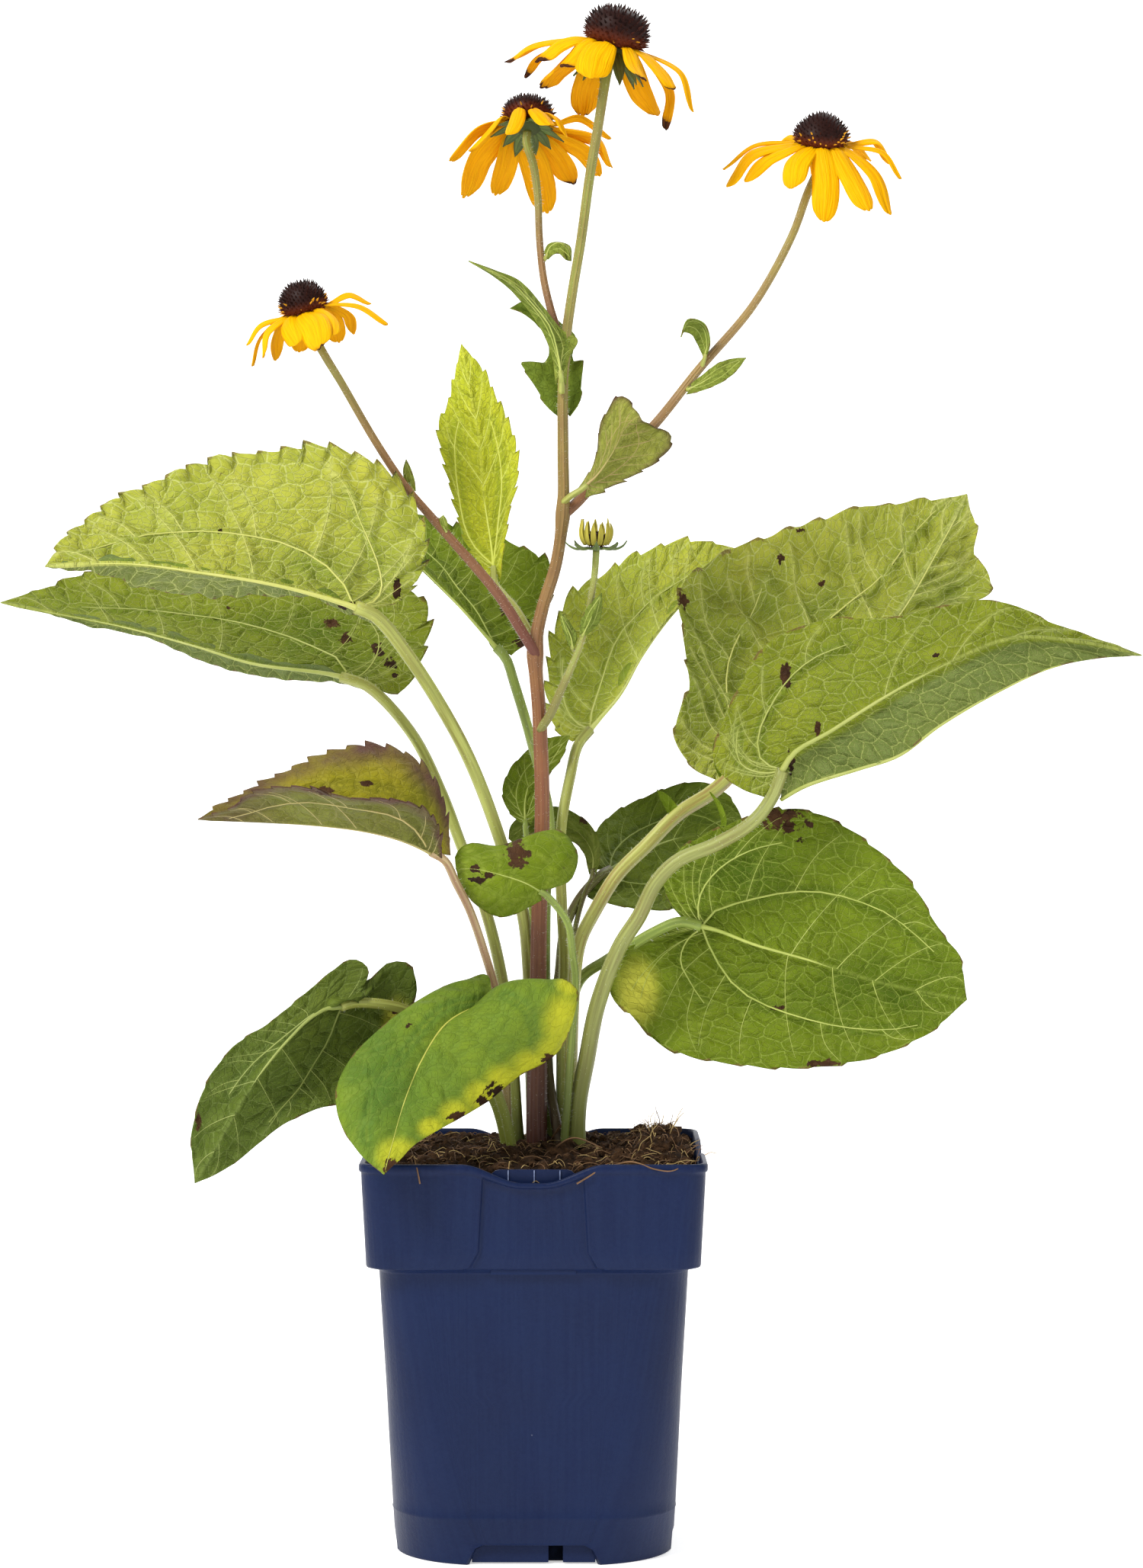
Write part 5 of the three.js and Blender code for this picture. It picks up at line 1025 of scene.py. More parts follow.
@once("Vein net")
def vein_net(name):
    """The lines and finer lines of a net of veins, and its cells' swelling."""
    tree, given, out = shader_group(
        name, [("Vector", VECTOR, None), ("Cell", NUMBER, 0.005), ("Line", NUMBER, 0.05)],
        [("Lines", NUMBER), ("Fine", NUMBER), ("Swell", NUMBER)])
    pitch = maths(tree, "DIVIDE", 1.0, given["Cell"])
    drift = add(tree, "ShaderNodeTexNoise", {"Vector": given["Vector"], "Scale": pitch, "Detail": 2.0})
    shift = add(tree, "ShaderNodeVectorMath", {0: drift.outputs["Color"], 1: (0.5, 0.5, 0.5)},
                operation="SUBTRACT").outputs[0]
    sway = times(tree, given["Cell"], 0.45)
    shift = add(tree, "ShaderNodeVectorMath", {0: shift, "Scale": sway}, operation="SCALE").outputs[0]
    moved = add(tree, "ShaderNodeVectorMath", {0: given["Vector"], 1: shift}, operation="ADD").outputs[0]
    coarse = add(tree, "ShaderNodeTexVoronoi", {"Vector": moved, "Scale": pitch},
                 feature="DISTANCE_TO_EDGE", voronoi_dimensions="2D").outputs["Distance"]
    finer_pitch = times(tree, pitch, 3.3)
    finer = add(tree, "ShaderNodeTexVoronoi", {"Vector": moved, "Scale": finer_pitch},
                feature="DISTANCE_TO_EDGE", voronoi_dimensions="2D").outputs["Distance"]
    tree.links.new(rise(tree, coarse, 0.0, given["Line"], 1.0, 0.0), out["Lines"])
    tree.links.new(rise(tree, finer, 0.0, 0.12, 1.0, 0.0), out["Fine"])
    tree.links.new(rise(tree, coarse, 0.0, 0.35), out["Swell"])
    return tree


@once("Mottling")
def mottling(name):
    """Soft irregular clouds."""
    tree, given, out = shader_group(
        name, [("Vector", VECTOR, None), ("Size", NUMBER, 0.01), ("Contrast", NUMBER, 0.5)],
        [("Value", NUMBER)])
    pitch = maths(tree, "DIVIDE", 1.0, given["Size"])
    cloud = add(tree, "ShaderNodeTexNoise", {"Vector": given["Vector"], "Scale": pitch, "Detail": 5.0,
                                             "Roughness": 0.6}).outputs["Fac"]
    half = times(tree, given["Contrast"], 0.5)
    low, high = maths(tree, "SUBTRACT", 0.5, half), maths(tree, "ADD", 0.5, half)
    tree.links.new(rise(tree, cloud, low, high), out["Value"])
    return tree


@once("Worn patch")
def worn_patch(name):
    """A patch with a ragged edge, which spreads with its amount."""
    tree, given, out = shader_group(
        name, [("Vector", VECTOR, None), ("Amount", NUMBER, 0.0), ("Size", NUMBER, 0.003),
               ("Raggedness", NUMBER, 0.6)],
        [("Mask", NUMBER)])
    pitch = maths(tree, "DIVIDE", 1.0, given["Size"])
    cloud = add(tree, "ShaderNodeTexNoise", {"Vector": given["Vector"], "Scale": pitch, "Detail": 4.0,
                                             "Roughness": 0.65}).outputs["Fac"]
    uneven = times(tree, maths(tree, "SUBTRACT", cloud, 0.5), given["Raggedness"])
    level = maths(tree, "ADD", given["Amount"], times(tree, uneven, 2.0))
    worn = times(tree, rise(tree, level, 0.42, 0.58), rise(tree, given["Amount"], 0.02, 0.2))
    tree.links.new(worn, out["Mask"])
    return tree


@once("Flecks")
def flecks(name):
    """Scattered small round spots."""
    tree, given, out = shader_group(
        name, [("Vector", VECTOR, None), ("Spacing", NUMBER, 0.006), ("Size", NUMBER, 0.08)],
        [("Mask", NUMBER)])
    pitch = maths(tree, "DIVIDE", 1.0, given["Spacing"])
    spot = add(tree, "ShaderNodeTexVoronoi", {"Vector": given["Vector"], "Scale": pitch})
    chance = add(tree, "ShaderNodeSeparateColor", {"Color": spot.outputs["Color"]}).outputs[0]
    reach = times(tree, given["Size"], rise(tree, chance, 0.55, 1.0))
    near = maths(tree, "LESS_THAN", spot.outputs["Distance"], reach)
    tree.links.new(near, out["Mask"])
    return tree


@once("Strands")
def strands(name):
    """Fine lines along a piece, laid out by its own map."""
    tree, given, out = shader_group(
        name, [("Vector", VECTOR, None), ("Width", NUMBER, 0.0005), ("Length", NUMBER, 0.02)],
        [("Value", NUMBER)])
    across = maths(tree, "DIVIDE", 1.0, given["Width"])
    along = maths(tree, "DIVIDE", 1.0, given["Length"])
    scale = add(tree, "ShaderNodeCombineXYZ", {0: across, 1: along, 2: 0.0}).outputs[0]
    drawn = add(tree, "ShaderNodeVectorMath", {0: given["Vector"], 1: scale}, operation="MULTIPLY")
    cloud = add(tree, "ShaderNodeTexNoise", {"Vector": drawn.outputs[0], "Scale": 1.0, "Detail": 3.0})
    tree.links.new(rise(tree, cloud.outputs["Fac"], 0.3, 0.7), out["Value"])
    return tree


def new_finish(name):
    """A new material, its node tree, its main shader, and where things are on the piece."""
    material = bpy.data.materials.new(name)
    material.use_nodes = True
    tree = material.node_tree
    shader = tree.nodes["Principled BSDF"]
    object_place = add(tree, "ShaderNodeTexCoord").outputs["Object"]
    uv_place = add(tree, "ShaderNodeUVMap").outputs["UV"]
    return material, tree, shader, object_place, uv_place


def clouds(tree, where, size, contrast):
    return use_group(tree, mottling(), Vector=where, Size=size, Contrast=contrast)["Value"]


def fine_lines(tree, lain, width, length):
    return use_group(tree, strands(), Vector=lain, Width=width, Length=length)["Value"]


def set_surface(tree, shader, colour, roughness, gloss=0.5):
    """Gives a finish its colour, and how rough and how glossy it is."""
    tree.links.new(colour, shader.inputs["Base Color"])
    shader.inputs["Roughness"].default_value = roughness
    shader.inputs["Specular IOR Level"].default_value = gloss


def layer(tree, name):
    """The number that a piece stores under a name for each of its vertices."""
    return add(tree, "ShaderNodeAttribute", attribute_name=name).outputs["Fac"]


def bump(tree, shader, height, depth):
    normal = add(tree, "ShaderNodeBump", {"Height": height, "Distance": depth, "Strength": 1.0})
    tree.links.new(normal.outputs["Normal"], shader.inputs["Normal"])
    return normal.outputs["Normal"]


def glow_through(tree, shader, colour, share, normal):
    """Lets some light through a thin piece."""
    through = add(tree, "ShaderNodeBsdfTranslucent", {"Color": colour, "Normal": normal})
    both = add(tree, "ShaderNodeMixShader", {0: share, 1: shader.outputs[0], 2: through.outputs[0]})
    tree.links.new(both.outputs[0], tree.nodes["Material Output"].inputs["Surface"])


# Leaves

class Blade:
    """The surface of a leaf between its midrib and its two margins."""

    def __init__(self, name, form, traits):
        self.form, self.traits = leaning(form), traits
        self.midrib = SmoothLine(place(self.form["midrib"]))
        self.margins = {side: SmoothLine(place(self.form[side])) for side in ("left", "right")}
        self.seed = sum(ord(letter) for letter in name)
        self.bare_half = traits.get("shaded_half", (None, 0))[0]

    def flat(self, s, t):
        """Straight across from the midrib to the margins, s from -1 on the left to 1."""
        t = np.clip(t, 0, 1)
        middle = self.midrib.at(ROW_START + (1 - ROW_START) * t**ROW_GATHER)
        edge = np.where((s < 0)[..., None], self.margins["left"].at(t), self.margins["right"].at(t))
        return middle, edge, middle + (edge - middle) * np.abs(s)[..., None]

    def upward(self, s, t):
        """The direction that the leaf's upper face looks in."""
        step = 0.02
        t = np.clip(t, 0.03, 0.97)
        half = np.where(np.abs(s) < 0.15, np.where(s < 0, -0.15, 0.15), s)
        across = self.flat(half, t)[2] - self.flat(half * 0.5, t)[2]
        across *= np.sign(half)[..., None]
        along = self.flat(half, t + step)[2] - self.flat(half, t - step)[2]
        return unit(np.cross(across, along))

    def shape(self, s, t):
        """Where the blade is, with its bulge, its teeth and the rise and fall of its margin."""
        middle, edge, points = self.flat(s, t)
        up = self.upward(s, t)
        width = np.linalg.norm(edge - middle, axis=-1)
        out = unit(edge - middle)
        reach = np.abs(s)
        taper = ease(0, 0.12, t) * ease(1, 0.85, t)
        bulge = self.traits["arch"] * width * np.sin(np.pi * reach) * taper
        wave = self.traits["wave"] * MM * ripple(points, WAVE_PITCH, self.seed) * reach**2 * taper
        droop = -0.35 * self.traits["arch"] * width * reach**4 * taper
        fold = self.traits["folds"] * MM * ripple(points, FOLD_PITCH, self.seed + 5) * taper
        fold = fold * ease(0.05, 0.35, reach)
        points = points + up * (bulge + wave + droop + fold)[..., None]
        teeth, depth = self.traits["teeth"]
        step = (t * teeth + 1e-6) % 1
        tooth = np.where(step < TOOTH_PEAK + 1e-3, step / TOOTH_PEAK, (1 - step) / (1 - TOOTH_PEAK))
        uneven = 1 + 0.35 * np.sin(t * 37 + self.seed)
        tooth = tooth * depth * MM * uneven * ease(0.02, 0.1, t) * ease(1, 0.93, t)
        tooth *= ease(0.86, 1, reach) * np.minimum(width / (8 * MM), 1)
        if self.bare_half:
            tooth = tooth * (s < 0 if self.bare_half == "right" else s > 0)
        headings = [self.margins[side].heading(t) for side in ("left", "right")]
        ahead = np.where((s < 0)[..., None], *headings)
        return points + out * tooth[..., None] * TOOTH_OUT + ahead * tooth[..., None] * TOOTH_AHEAD

    def swelled(self, s, t, near):
        """The blade with its swellings. near is the way to the closest vein, in millimetres."""
        points = self.shape(s, t)
        quilt = self.traits["quilt"] * MM
        swell = quilt * (ease(0, 3.5, near) - 0.4) * ease(1, 0.9, np.abs(s))
        swell = swell + quilt * 0.5 * ripple(points, QUILT_PITCH, self.seed + 1) * ease(0, 3, near)
        swell = swell * ease(0, 0.1, t) * ease(1, 0.95, t)
        return points + self.upward(s, t) * swell[..., None]

    def find(self, side, places):
        """The s and t of [across, up] places on one half of the blade."""
        tries = np.linspace(0, 1, 41)
        s, t = np.meshgrid(tries[1:] * (-1 if side == "left" else 1), tries)
        on_view = seen(self.flat(s, t)[2])
        found = []
        for target in places:
            apart = np.linalg.norm(on_view - np.array(target), axis=-1)
            row, column = np.unravel_index(apart.argmin(), apart.shape)
            found.append((s[row, column], t[row, column]))
        return found


def leaf_veins(blade, draw):
    """The veins of a leaf besides its midrib: (s, t) places, and radii at both ends in mm."""
    veins = []
    listed = blade.traits["main_veins"]
    size = blade.midrib.length / MM
    stout = min(0.45, size / 220)
    for side, turn in (("left", -1), ("right", 1)):
        if side == blade.bare_half:
            continue
        mains = [blade.find(side, places) for half, places in listed if half == side]
        if not mains:
            mains = [[(turn * s, t) for s, t in BASAL_VEIN]]
        for index, main in enumerate(mains):
            if abs(main[0][0]) > 0.2 and main[0][1] < 0.15:
                main = [(0.0, 0.01)] + list(main[1:])
            veins.append((main, stout, 0.18))
            if size < SMALL_BLADE:
                continue
            steps = np.linspace(0.12, 0.88, 6 if index == 0 else 3)
            line = SmoothLine([(s, t, 0) for s, t in main])
            for t in steps:
                s0, t0, _ = line.at(t + draw.uniform(-0.03, 0.03))
                reach = draw.uniform(0.86, 0.97)
                bend = draw.uniform(0.03, 0.09) + 0.05 * (1 - t0)
                veins.append(([(s0, t0), ((s0 + turn * reach) / 2, t0 + bend * 0.4),
                               (turn * reach, t0 + bend)], 0.17, 0.07))
        if size < SMALL_BLADE:
            continue
        for t0 in (0.45, 0.6, 0.74, 0.87):
            t0 += draw.uniform(-0.02, 0.02)
            rise_to = 0.12 * (1 - t0) + 0.05
            veins.append(([(0.0, t0), (turn * 0.35, t0 + rise_to * 0.6), (turn * 0.9, t0 + rise_to * 1.5)],
                          0.18, 0.07))
        for s1, t1 in ((0.9, 0.03), (0.92, 0.1)):
            veins.append(([(0.0, 0.01), (turn * s1 * 0.5, t1 * 0.4), (turn * s1, t1)], 0.2, 0.08))
    return veins


def distances(points, spots):
    """The way from each point to the closest of some spots, in millimetres."""
    tree = KDTree(len(spots))
    for index, spot in enumerate(spots):
        tree.insert(spot, index)
    tree.balance()
    return np.array([tree.find(point)[2] for point in points]) / MM


def blade_piece(name, form, traits):
    """A leaf's blade: a thin curved sheet with teeth, quilted between its veins."""
    blade = Blade(name, form, traits)
    draw = np.random.default_rng(blade.seed)
    teeth = traits["teeth"][0]
    size = blade.midrib.length / MM
    rows = teeth * (TOOTH_ROWS if size < LONG_TOOTH * teeth else 2 * TOOTH_ROWS)
    columns = 2 * int(np.clip(size * COLUMNS_PER_MM, LEAST_COLUMNS, MOST_COLUMNS))
    veins = leaf_veins(blade, draw)
    samples, stout = [], []
    for points, foot, _ in veins:
        line = SmoothLine([(s, min(t, 0.99), 0) for s, t in points])
        line = line.at(np.linspace(0, 1, VEIN_SAMPLES))
        spots = list(blade.shape(line[:, 0], line[:, 1]))
        samples += spots
        if foot > STOUT_VEIN:
            stout += spots

    def quilted(s, t):
        near = distances(blade.shape(s, t), samples)
        middle, edge, _ = blade.flat(s, t)
        quilted.near = np.minimum(near, np.abs(s) * np.linalg.norm(edge - middle, axis=-1) / MM)
        return blade.swelled(s, t, quilted.near)

    def laid_out(s, t):
        middle, edge, _ = blade.flat(s, t)
        return np.stack([s * np.linalg.norm(edge - middle, axis=-1), t * blade.midrib.length], -1)

    bm = bmesh.new()
    _, _, s, t = sheet(bm, columns, rows, quilted, laid_out)
    points = np.array([vert.co for vert in bm.verts])
    finishes = [leaf_finish(traits["look"], "upper"), leaf_finish(traits["look"], "under")]
    piece = new_piece(name + "_blade", bm, finishes, slot_of(name), name)
    write_layer(piece, "edge", ease(0.955, 1, np.abs(s)) * ease(0.1, 1, (t * teeth + 1e-6) % 1))
    write_layer(piece, "vein", 0.5 * ease(1.0, 0.0, quilted.near))
    # Painted shade: a layer that darkens the valleys beside the strong veins.
    if stout:
        to_main = distances(points, stout)
        write_layer(piece, "shade_beside_veins", ease(0.3, 1, to_main) * ease(3.6, 1.2, to_main))
    if "edge_band" in traits:
        write_layer(piece, "flush", ease(traits["edge_band"], 1, np.maximum(np.abs(s), t**1.5)))
    # Painted shade: how far the turned-over half is greyed.
    if "shaded_half" in traits:
        side, share = traits["shaded_half"]
        write_layer(piece, "grey_shade", share * ease(0.07, 0.2, -s if side == "left" else s))
    view = seen(points)
    # The dark marks are painted shade; the brown and yellow ones are the leaf's own colour.
    for kind in sorted({mark[0] for mark in traits["marks"]}):
        amount = np.zeros(len(points))
        for mark, across, up, wide, high in traits["marks"]:
            if mark == kind:
                apart = np.hypot((view[:, 0] - across) / wide, (view[:, 1] - up) / high)
                amount = np.maximum(amount, ease(2.2, 0.2, apart))
        write_layer(piece, kind, amount)
    thicken(piece, settings().blade_thickness)
    return blade, veins, draw


def slot_of(name):
    return "yellowing_leaf" if name == "yellowing_leaf" else "leaf"


def leaf_piece(name, form):
    """A whole leaf: its blade, and its stalk with the veins that it runs out into."""
    traits = {**USUAL_TRAITS, **LEAF_TRAITS[name]}
    blade, veins, draw = blade_piece(name, form, traits)
    girth = np.array(form["girth"]) * MM
    stalk = SmoothLine(np.vstack([place(blade.form["stalk"]), blade.midrib.at(ROW_START)]))
    rib = SmoothLine(rib_points(blade))
    large = name in LEAVES
    bm = bmesh.new()

    def stalk_radius(t):
        flare = 0.35 * ease(0.12, 0, t) if large else 0
        return girth[0] + (girth[1] * RIB_FOOT - girth[0]) * t + girth[0] * flare

    def rib_radius(t):
        thinning = RIB_SHARE + (1 - RIB_SHARE) * np.exp(-t / 0.06)
        return np.maximum(girth[1] * RIB_FOOT * thinning * (1 - t) ** 0.9, RIB_TIP)

    if large:
        rod(bm, stalk, stalk_radius, 20, 60, ridges=(5, 0.07))
        count = int(stalk.length / MM * HAIRS_PER_MM)
        bristles(bm, stalk, stalk_radius, count, 0.0013, draw, share=(0.08, 1))
    else:
        rod(bm, stalk, stalk_radius, 10, 8)
    rod(bm, rib, rib_radius, 8, 40 if large else 14, material=2)
    for places, foot, tip in veins:
        line = np.array([(s, min(t, 0.985), 0) for s, t in places])
        line = SmoothLine(line).at(np.linspace(0, 1, 14))
        s, t = line[:, 0], line[:, 1]
        sunk = blade.upward(s, t) * settings().blade_thickness * VEIN_SINK
        run = SmoothLine(blade.swelled(s, t, np.zeros(len(s))) - sunk)
        widths = (foot * MM, tip * MM)
        rod(bm, run, lambda share: widths[0] + (widths[1] - widths[0]) * share, 5, 12,
            material=2, capped=False)
    if "rolled_margin" in traits:
        t = np.linspace(0, 0.8, 30)
        s = np.full(len(t), -1.0 if traits["rolled_margin"] == "left" else 1.0)
        edge = SmoothLine(blade.swelled(s, t, np.zeros(len(t))))
        rod(bm, edge, lambda share: (0.75 - 0.5 * share) * MM, 8, 40, material=2)
    for spots, width in traits["winglets"]:
        on_stalk = stalk.at(np.linspace(0, 1, 200))
        nearest = np.linalg.norm(seen(on_stalk) - np.array(spots[0]), axis=1).argmin()
        behind = on_stalk[nearest][1] / MM
        course = SmoothLine([place((*spot, behind - 1.5 * step)) for step, spot in enumerate(spots)])
        heading = course.heading(0.5)
        across = unit(np.cross(heading, (0.2, -1, 0.1)))
        strip(bm, course, across, width, WINGLET_OUTLINE, (6, 14), cup=0.4, material=3)
    finishes = [stalk_finish(traits["stalk"]), hair_finish(),
                vein_finish(traits["look"]), leaf_finish("green", "upper")]
    piece = new_piece(name + "_stalk", bm, finishes, slot_of(name))
    level = np.array([vert.co.z for vert in piece.data.vertices]) / MM
    write_layer(piece, "low", ease(205, 140, level))
    return piece


def rib_points(blade):
    """The midrib's course, a little below the blade."""
    t = np.linspace(0, 1, 24)
    s = np.zeros(24)
    across_t = ((t - ROW_START) / (1 - ROW_START)).clip(0, 1) ** (1 / ROW_GATHER)
    up = 0.5 * (blade.upward(s + 0.2, across_t) + blade.upward(s - 0.2, across_t))
    drop = np.array(blade.form["girth"])[1] * MM * 0.5 * RIB_SHARE * (1 - t) ** 0.9 * ease(0, 0.06, t)
    return blade.midrib.at(t) - unit(up) * drop[:, None]


# Stems

def stem_line(name):
    """A stem's course, ending on its flower head's own axis."""
    points = [place(spot) for spot in STEMS[name]["route"]]
    flower = next((key for key, stem in STALK_OF.items() if stem == name), None)
    if flower:
        head = Head(HEADS[flower])
        points += [head.out((0, 0, height)) for height in (HEAD_UNDER_NECK, HEAD_NECK)]
    if name == "bud_shoot":
        points.append(Head(BUD).out((0, 0, BUD["stalk_top"])))
    return SmoothLine(points)


def stem_piece(name, radii):
    """A ridged stem with short hairs, swollen where leaves and branches leave it."""
    line = stem_line(name)
    draw = np.random.default_rng(len(name))
    swellings = STEM_JOINTS.get(name, [])

    def radius(t):
        girth = np.interp(t, np.linspace(0, 1, len(radii)), radii) * MM
        for middle, gain in swellings:
            girth = girth * (1 + gain * np.exp(-((t - middle) / 0.012) ** 2))
        return girth

    bm = bmesh.new()
    columns, rows_per_mm, ridges = MAIN_STEM if name == "main_stem" else THIN_STEM
    rod(bm, line, radius, columns, int(line.length / MM * rows_per_mm), ridges=ridges)
    hairs = int(line.length / MM * HAIRS_PER_MM * STEM_HAIRINESS)
    bristles(bm, line, radius, hairs, 0.0011, draw, share=(0.04, 0.985), rise=0.25)
    slot = "stem" if name == "main_stem" else "shoot"
    piece = new_piece(name, bm, [stem_finish(name), hair_finish()], slot, name)
    level = np.array([vert.co.z for vert in piece.data.vertices])
    write_layer(piece, "along", (level - level.min()) / np.ptp(level))


# Flowers

class Head:
    """A flower head's own frame, with the axis of its cone upright in it."""

    def __init__(self, form):
        side, away = math.radians(form["lean"]), math.radians(form["back"])
        axis = (math.sin(side) * math.cos(away), math.sin(away), math.cos(side) * math.cos(away))
        self.turn = np.array(UP.rotation_difference(Vector(axis)).to_matrix())
        self.foot = place(form["centre"])
        self.behind = form["centre"][2]

    def out(self, points):
        """Points of the head's own frame, in millimetres, as points of the part."""
        return np.asarray(points, float) @ self.turn.T * MM + self.foot


def bearing(degrees):
    """The outward and sideways directions at a bearing."""
    turn = math.radians(degrees)
    return np.array((math.cos(turn), math.sin(turn), 0)), np.array((-math.sin(turn), math.cos(turn), 0))


def strip(bm, line, across, width, outline, grid, cup=0.3, twist=0.0, folds=0.0, notch=0.0,
          roll=0.0, material=0):
    """Adds a petal or a bract along a line. outline is its width at even steps."""
    columns, rows = grid

    def shape(s, t):
        heading = line.heading(t, 0.02)
        side = unit(across - heading * (heading @ across)[:, None])
        lift = np.cross(heading, side)
        turn = (twist * t)[:, None]
        side, lift = side * np.cos(turn) + lift * np.sin(turn), lift * np.cos(turn) - side * np.sin(turn)
        half = width / 2 * MM * np.interp(t, np.linspace(0, 1, len(outline)), outline)
        groove = np.exp(-(((np.abs(s) - 0.36) / 0.13) ** 2))
        back = width * MM * t**5 * (0.22 * s**2 + notch * groove)
        up = -half * cup * s**2 - folds * MM * groove * ease(0, 0.2, t)
        up = up + roll * width * MM * ripple(np.stack([s * 0.6, t * 3 + line.length * 90], -1), 1.2, 5) * t
        return line.at(t) - side * (half * s)[:, None] + lift * up[:, None] - heading * back[:, None]

    def laid_out(s, t):
        return np.stack([s * width / 2 * MM, t * line.length], -1)

    sheet(bm, columns, rows, shape, laid_out, material)
    return len(bm.verts)


def petals_piece(name, form):
    """A flower's ray florets, drooping round its cone, some of them withering at the tip."""
    head = Head(form)
    draw = np.random.default_rng(len(name) * 7)
    bm = bmesh.new()
    tones, tips = [], []
    for degrees, middle, tip, width in form["rays"]:
        outward, across = bearing(degrees)
        flat = [head.out(outward * radius + (0, 0, RAY_LEVEL))
                for radius in (form["disc"] - 2, form["disc"] + 1)]
        aside = [place((*spot, head.behind + outward[1] * spread))
                 for spot, spread in ((middle, MIDDLE_SPREAD), (tip, TIP_SPREAD))]
        line = SmoothLine(flat + aside)
        withered = draw.random() < form["withered"] and degrees not in form.get("sound_rays", ())
        end = strip(bm, line, head.turn @ across, width, PETAL_OUTLINE, PETAL_GRID,
                    cup=draw.uniform(0.25, 0.6), twist=draw.uniform(-0.3, 0.3),
                    folds=draw.uniform(0.25, 0.5), notch=draw.uniform(0.03, 0.12),
                    roll=0.09 if withered else 0.035)
        fresh = end - len(tones)
        t = np.repeat(np.linspace(0, 1, PETAL_GRID[1] + 1), PETAL_GRID[0] + 1)
        tones.extend([draw.uniform(0, 1)] * fresh)
        reach = draw.uniform(0.82, 0.93) if withered else 1.4
        tips.extend(ease(reach, reach + 0.16, t)[:fresh])
    finishes = [petal_finish("face"), petal_finish("back")]
    piece = new_piece(name + "_petals", bm, finishes, "ray", name + "_rays")
    write_layer(piece, "tone", tones)
    write_layer(piece, "brown", tips)
    thicken(piece, settings().petal_thickness)


def turned(bm, head, profile, columns, rows):
    """Adds a surface turned about a head's axis from a profile of (radius, height)."""
    line = SmoothLine(profile)

    def shape(s, t):
        radius, height = line.at(t).T
        angle = -np.pi * s
        return head.out(np.stack([radius * np.cos(angle), radius * np.sin(angle), height], -1))

    return sheet(bm, columns, rows, shape, around=True)[1]


def floret_places(profile, count, draw):
    """Places and directions of florets spread evenly over a cone, in its head's frame."""
    line = SmoothLine(profile)
    t = np.linspace(0, 1, 400)
    spots = line.at(t)
    area = np.cumsum(np.maximum(spots[:, 0], 0.05))
    wanted = (np.arange(count) + 0.5) / count
    share = np.interp(wanted, area / area[-1], t)
    radius, height = line.at(share).T
    slope = line.heading(share, 0.03)
    turn = np.arange(count) * math.pi * (3 - math.sqrt(5))
    round_it = np.stack([np.cos(turn), np.sin(turn)], -1)
    spot = np.column_stack([round_it * radius[:, None], height])
    out = np.column_stack([round_it * slope[:, 1:], -slope[:, 0]])
    return spot, unit(out + (0, 0, 0.45) + draw.normal(size=(count, 3)) * 0.07), share


def cone_piece(form, node, count):
    """A cone: a dark dome set with small pointed florets."""
    head = Head(form)
    draw = np.random.default_rng(len(node) + 3)
    top = form["cone"][-1]
    profile = [(radius - 0.7, height - 0.2) for radius, height in form["cone"]]
    profile.append((0.05, top[1] + 0.2))
    profile = [(profile[0][0] - 1.5, -1.2)] + profile
    bm = bmesh.new()
    close_ends(bm, turned(bm, head, profile, 40, 20))
    dome = len(bm.verts)
    spots, ways, shares = floret_places(profile, count, draw)
    spiky, pollen = form.get("spiky", 0.3), form.get("pollen", 0)
    size = settings().floret_length * form.get("floret_size", 1)
    tones = [0.3] * dome
    dusty = [0.0] * dome
    for spot, way, share in zip(spots, ways, shares):
        length = size * (0.8 + spiky * 0.9 * draw.random()) * (1 - 0.35 * share)
        way = head.turn @ way
        turn = UP.rotation_difference(Vector(way)).to_matrix().to_4x4()
        middle = Matrix.Translation(Vector(head.out(spot)) + Vector(way) * length * 0.32)
        made = bmesh.ops.create_cone(bm, cap_ends=True, segments=5, radius1=length * 0.26,
                                     radius2=length * 0.05, depth=length,
                                     matrix=middle @ turn)["verts"]
        dust = pollen * (0.14 < share < 0.36) > draw.random()
        tones.extend([draw.random() * (1 - 0.3 * share)] * len(made))
        tip_dust = max(float(dust), 0.9 * (draw.random() < 0.12 * spiky * (share < 0.3)))
        dusty.extend([float(dust)] * 5 + [tip_dust] * (len(made) - 5))
    piece = new_piece(node + "_florets", bm, [cone_finish()], "cone", node)
    write_layer(piece, "tone", tones)
    write_layer(piece, "yellow", dusty)
    level = np.array([vert.co for vert in piece.data.vertices]) - head.foot
    write_layer(piece, "along", (level @ head.turn[:, 2]) / (top[1] * MM))


def calyx_piece(name, form):
    """The green cup under a flower: its hub, and pointed hairy bracts."""
    head = Head(form)
    draw = np.random.default_rng(len(name))
    bm = bmesh.new()
    hairs = bmesh.new()
    close_ends(bm, turned(bm, head, HUB_PROFILE, 30, 10))
    bracts = form["bracts"]
    for number in range(bracts["count"]):
        outward, across = bearing(number * 360 / bracts["count"])
        length, drop = bracts["reach"] * draw.uniform(0.85, 1.12), bracts["drop"] * draw.uniform(0.8, 1.2)
        path = [(3.6, -2.5), (length * 0.65, -2.5 - drop * bracts["drooped"]), (length, -2.5 - drop)]
        line = SmoothLine([head.out(outward * radius + (0, 0, height)) for radius, height in path])
        strip(bm, line, head.turn @ across, bracts["width"], BRACT_OUTLINE, (6, 12),
              cup=0.25, twist=draw.uniform(-0.3, 0.3))
        hairs_on_strip(hairs, line, head.turn @ across, bracts["width"] * 0.4, 16, draw)
    new_piece(name + "_calyx_hairs", hairs, [hair_finish()], "bract")
    piece = new_piece(name + "_calyx", bm, [bract_finish()], "bract", name + "_bracts")
    thicken(piece, settings().bract_thickness, faces_apart=False)


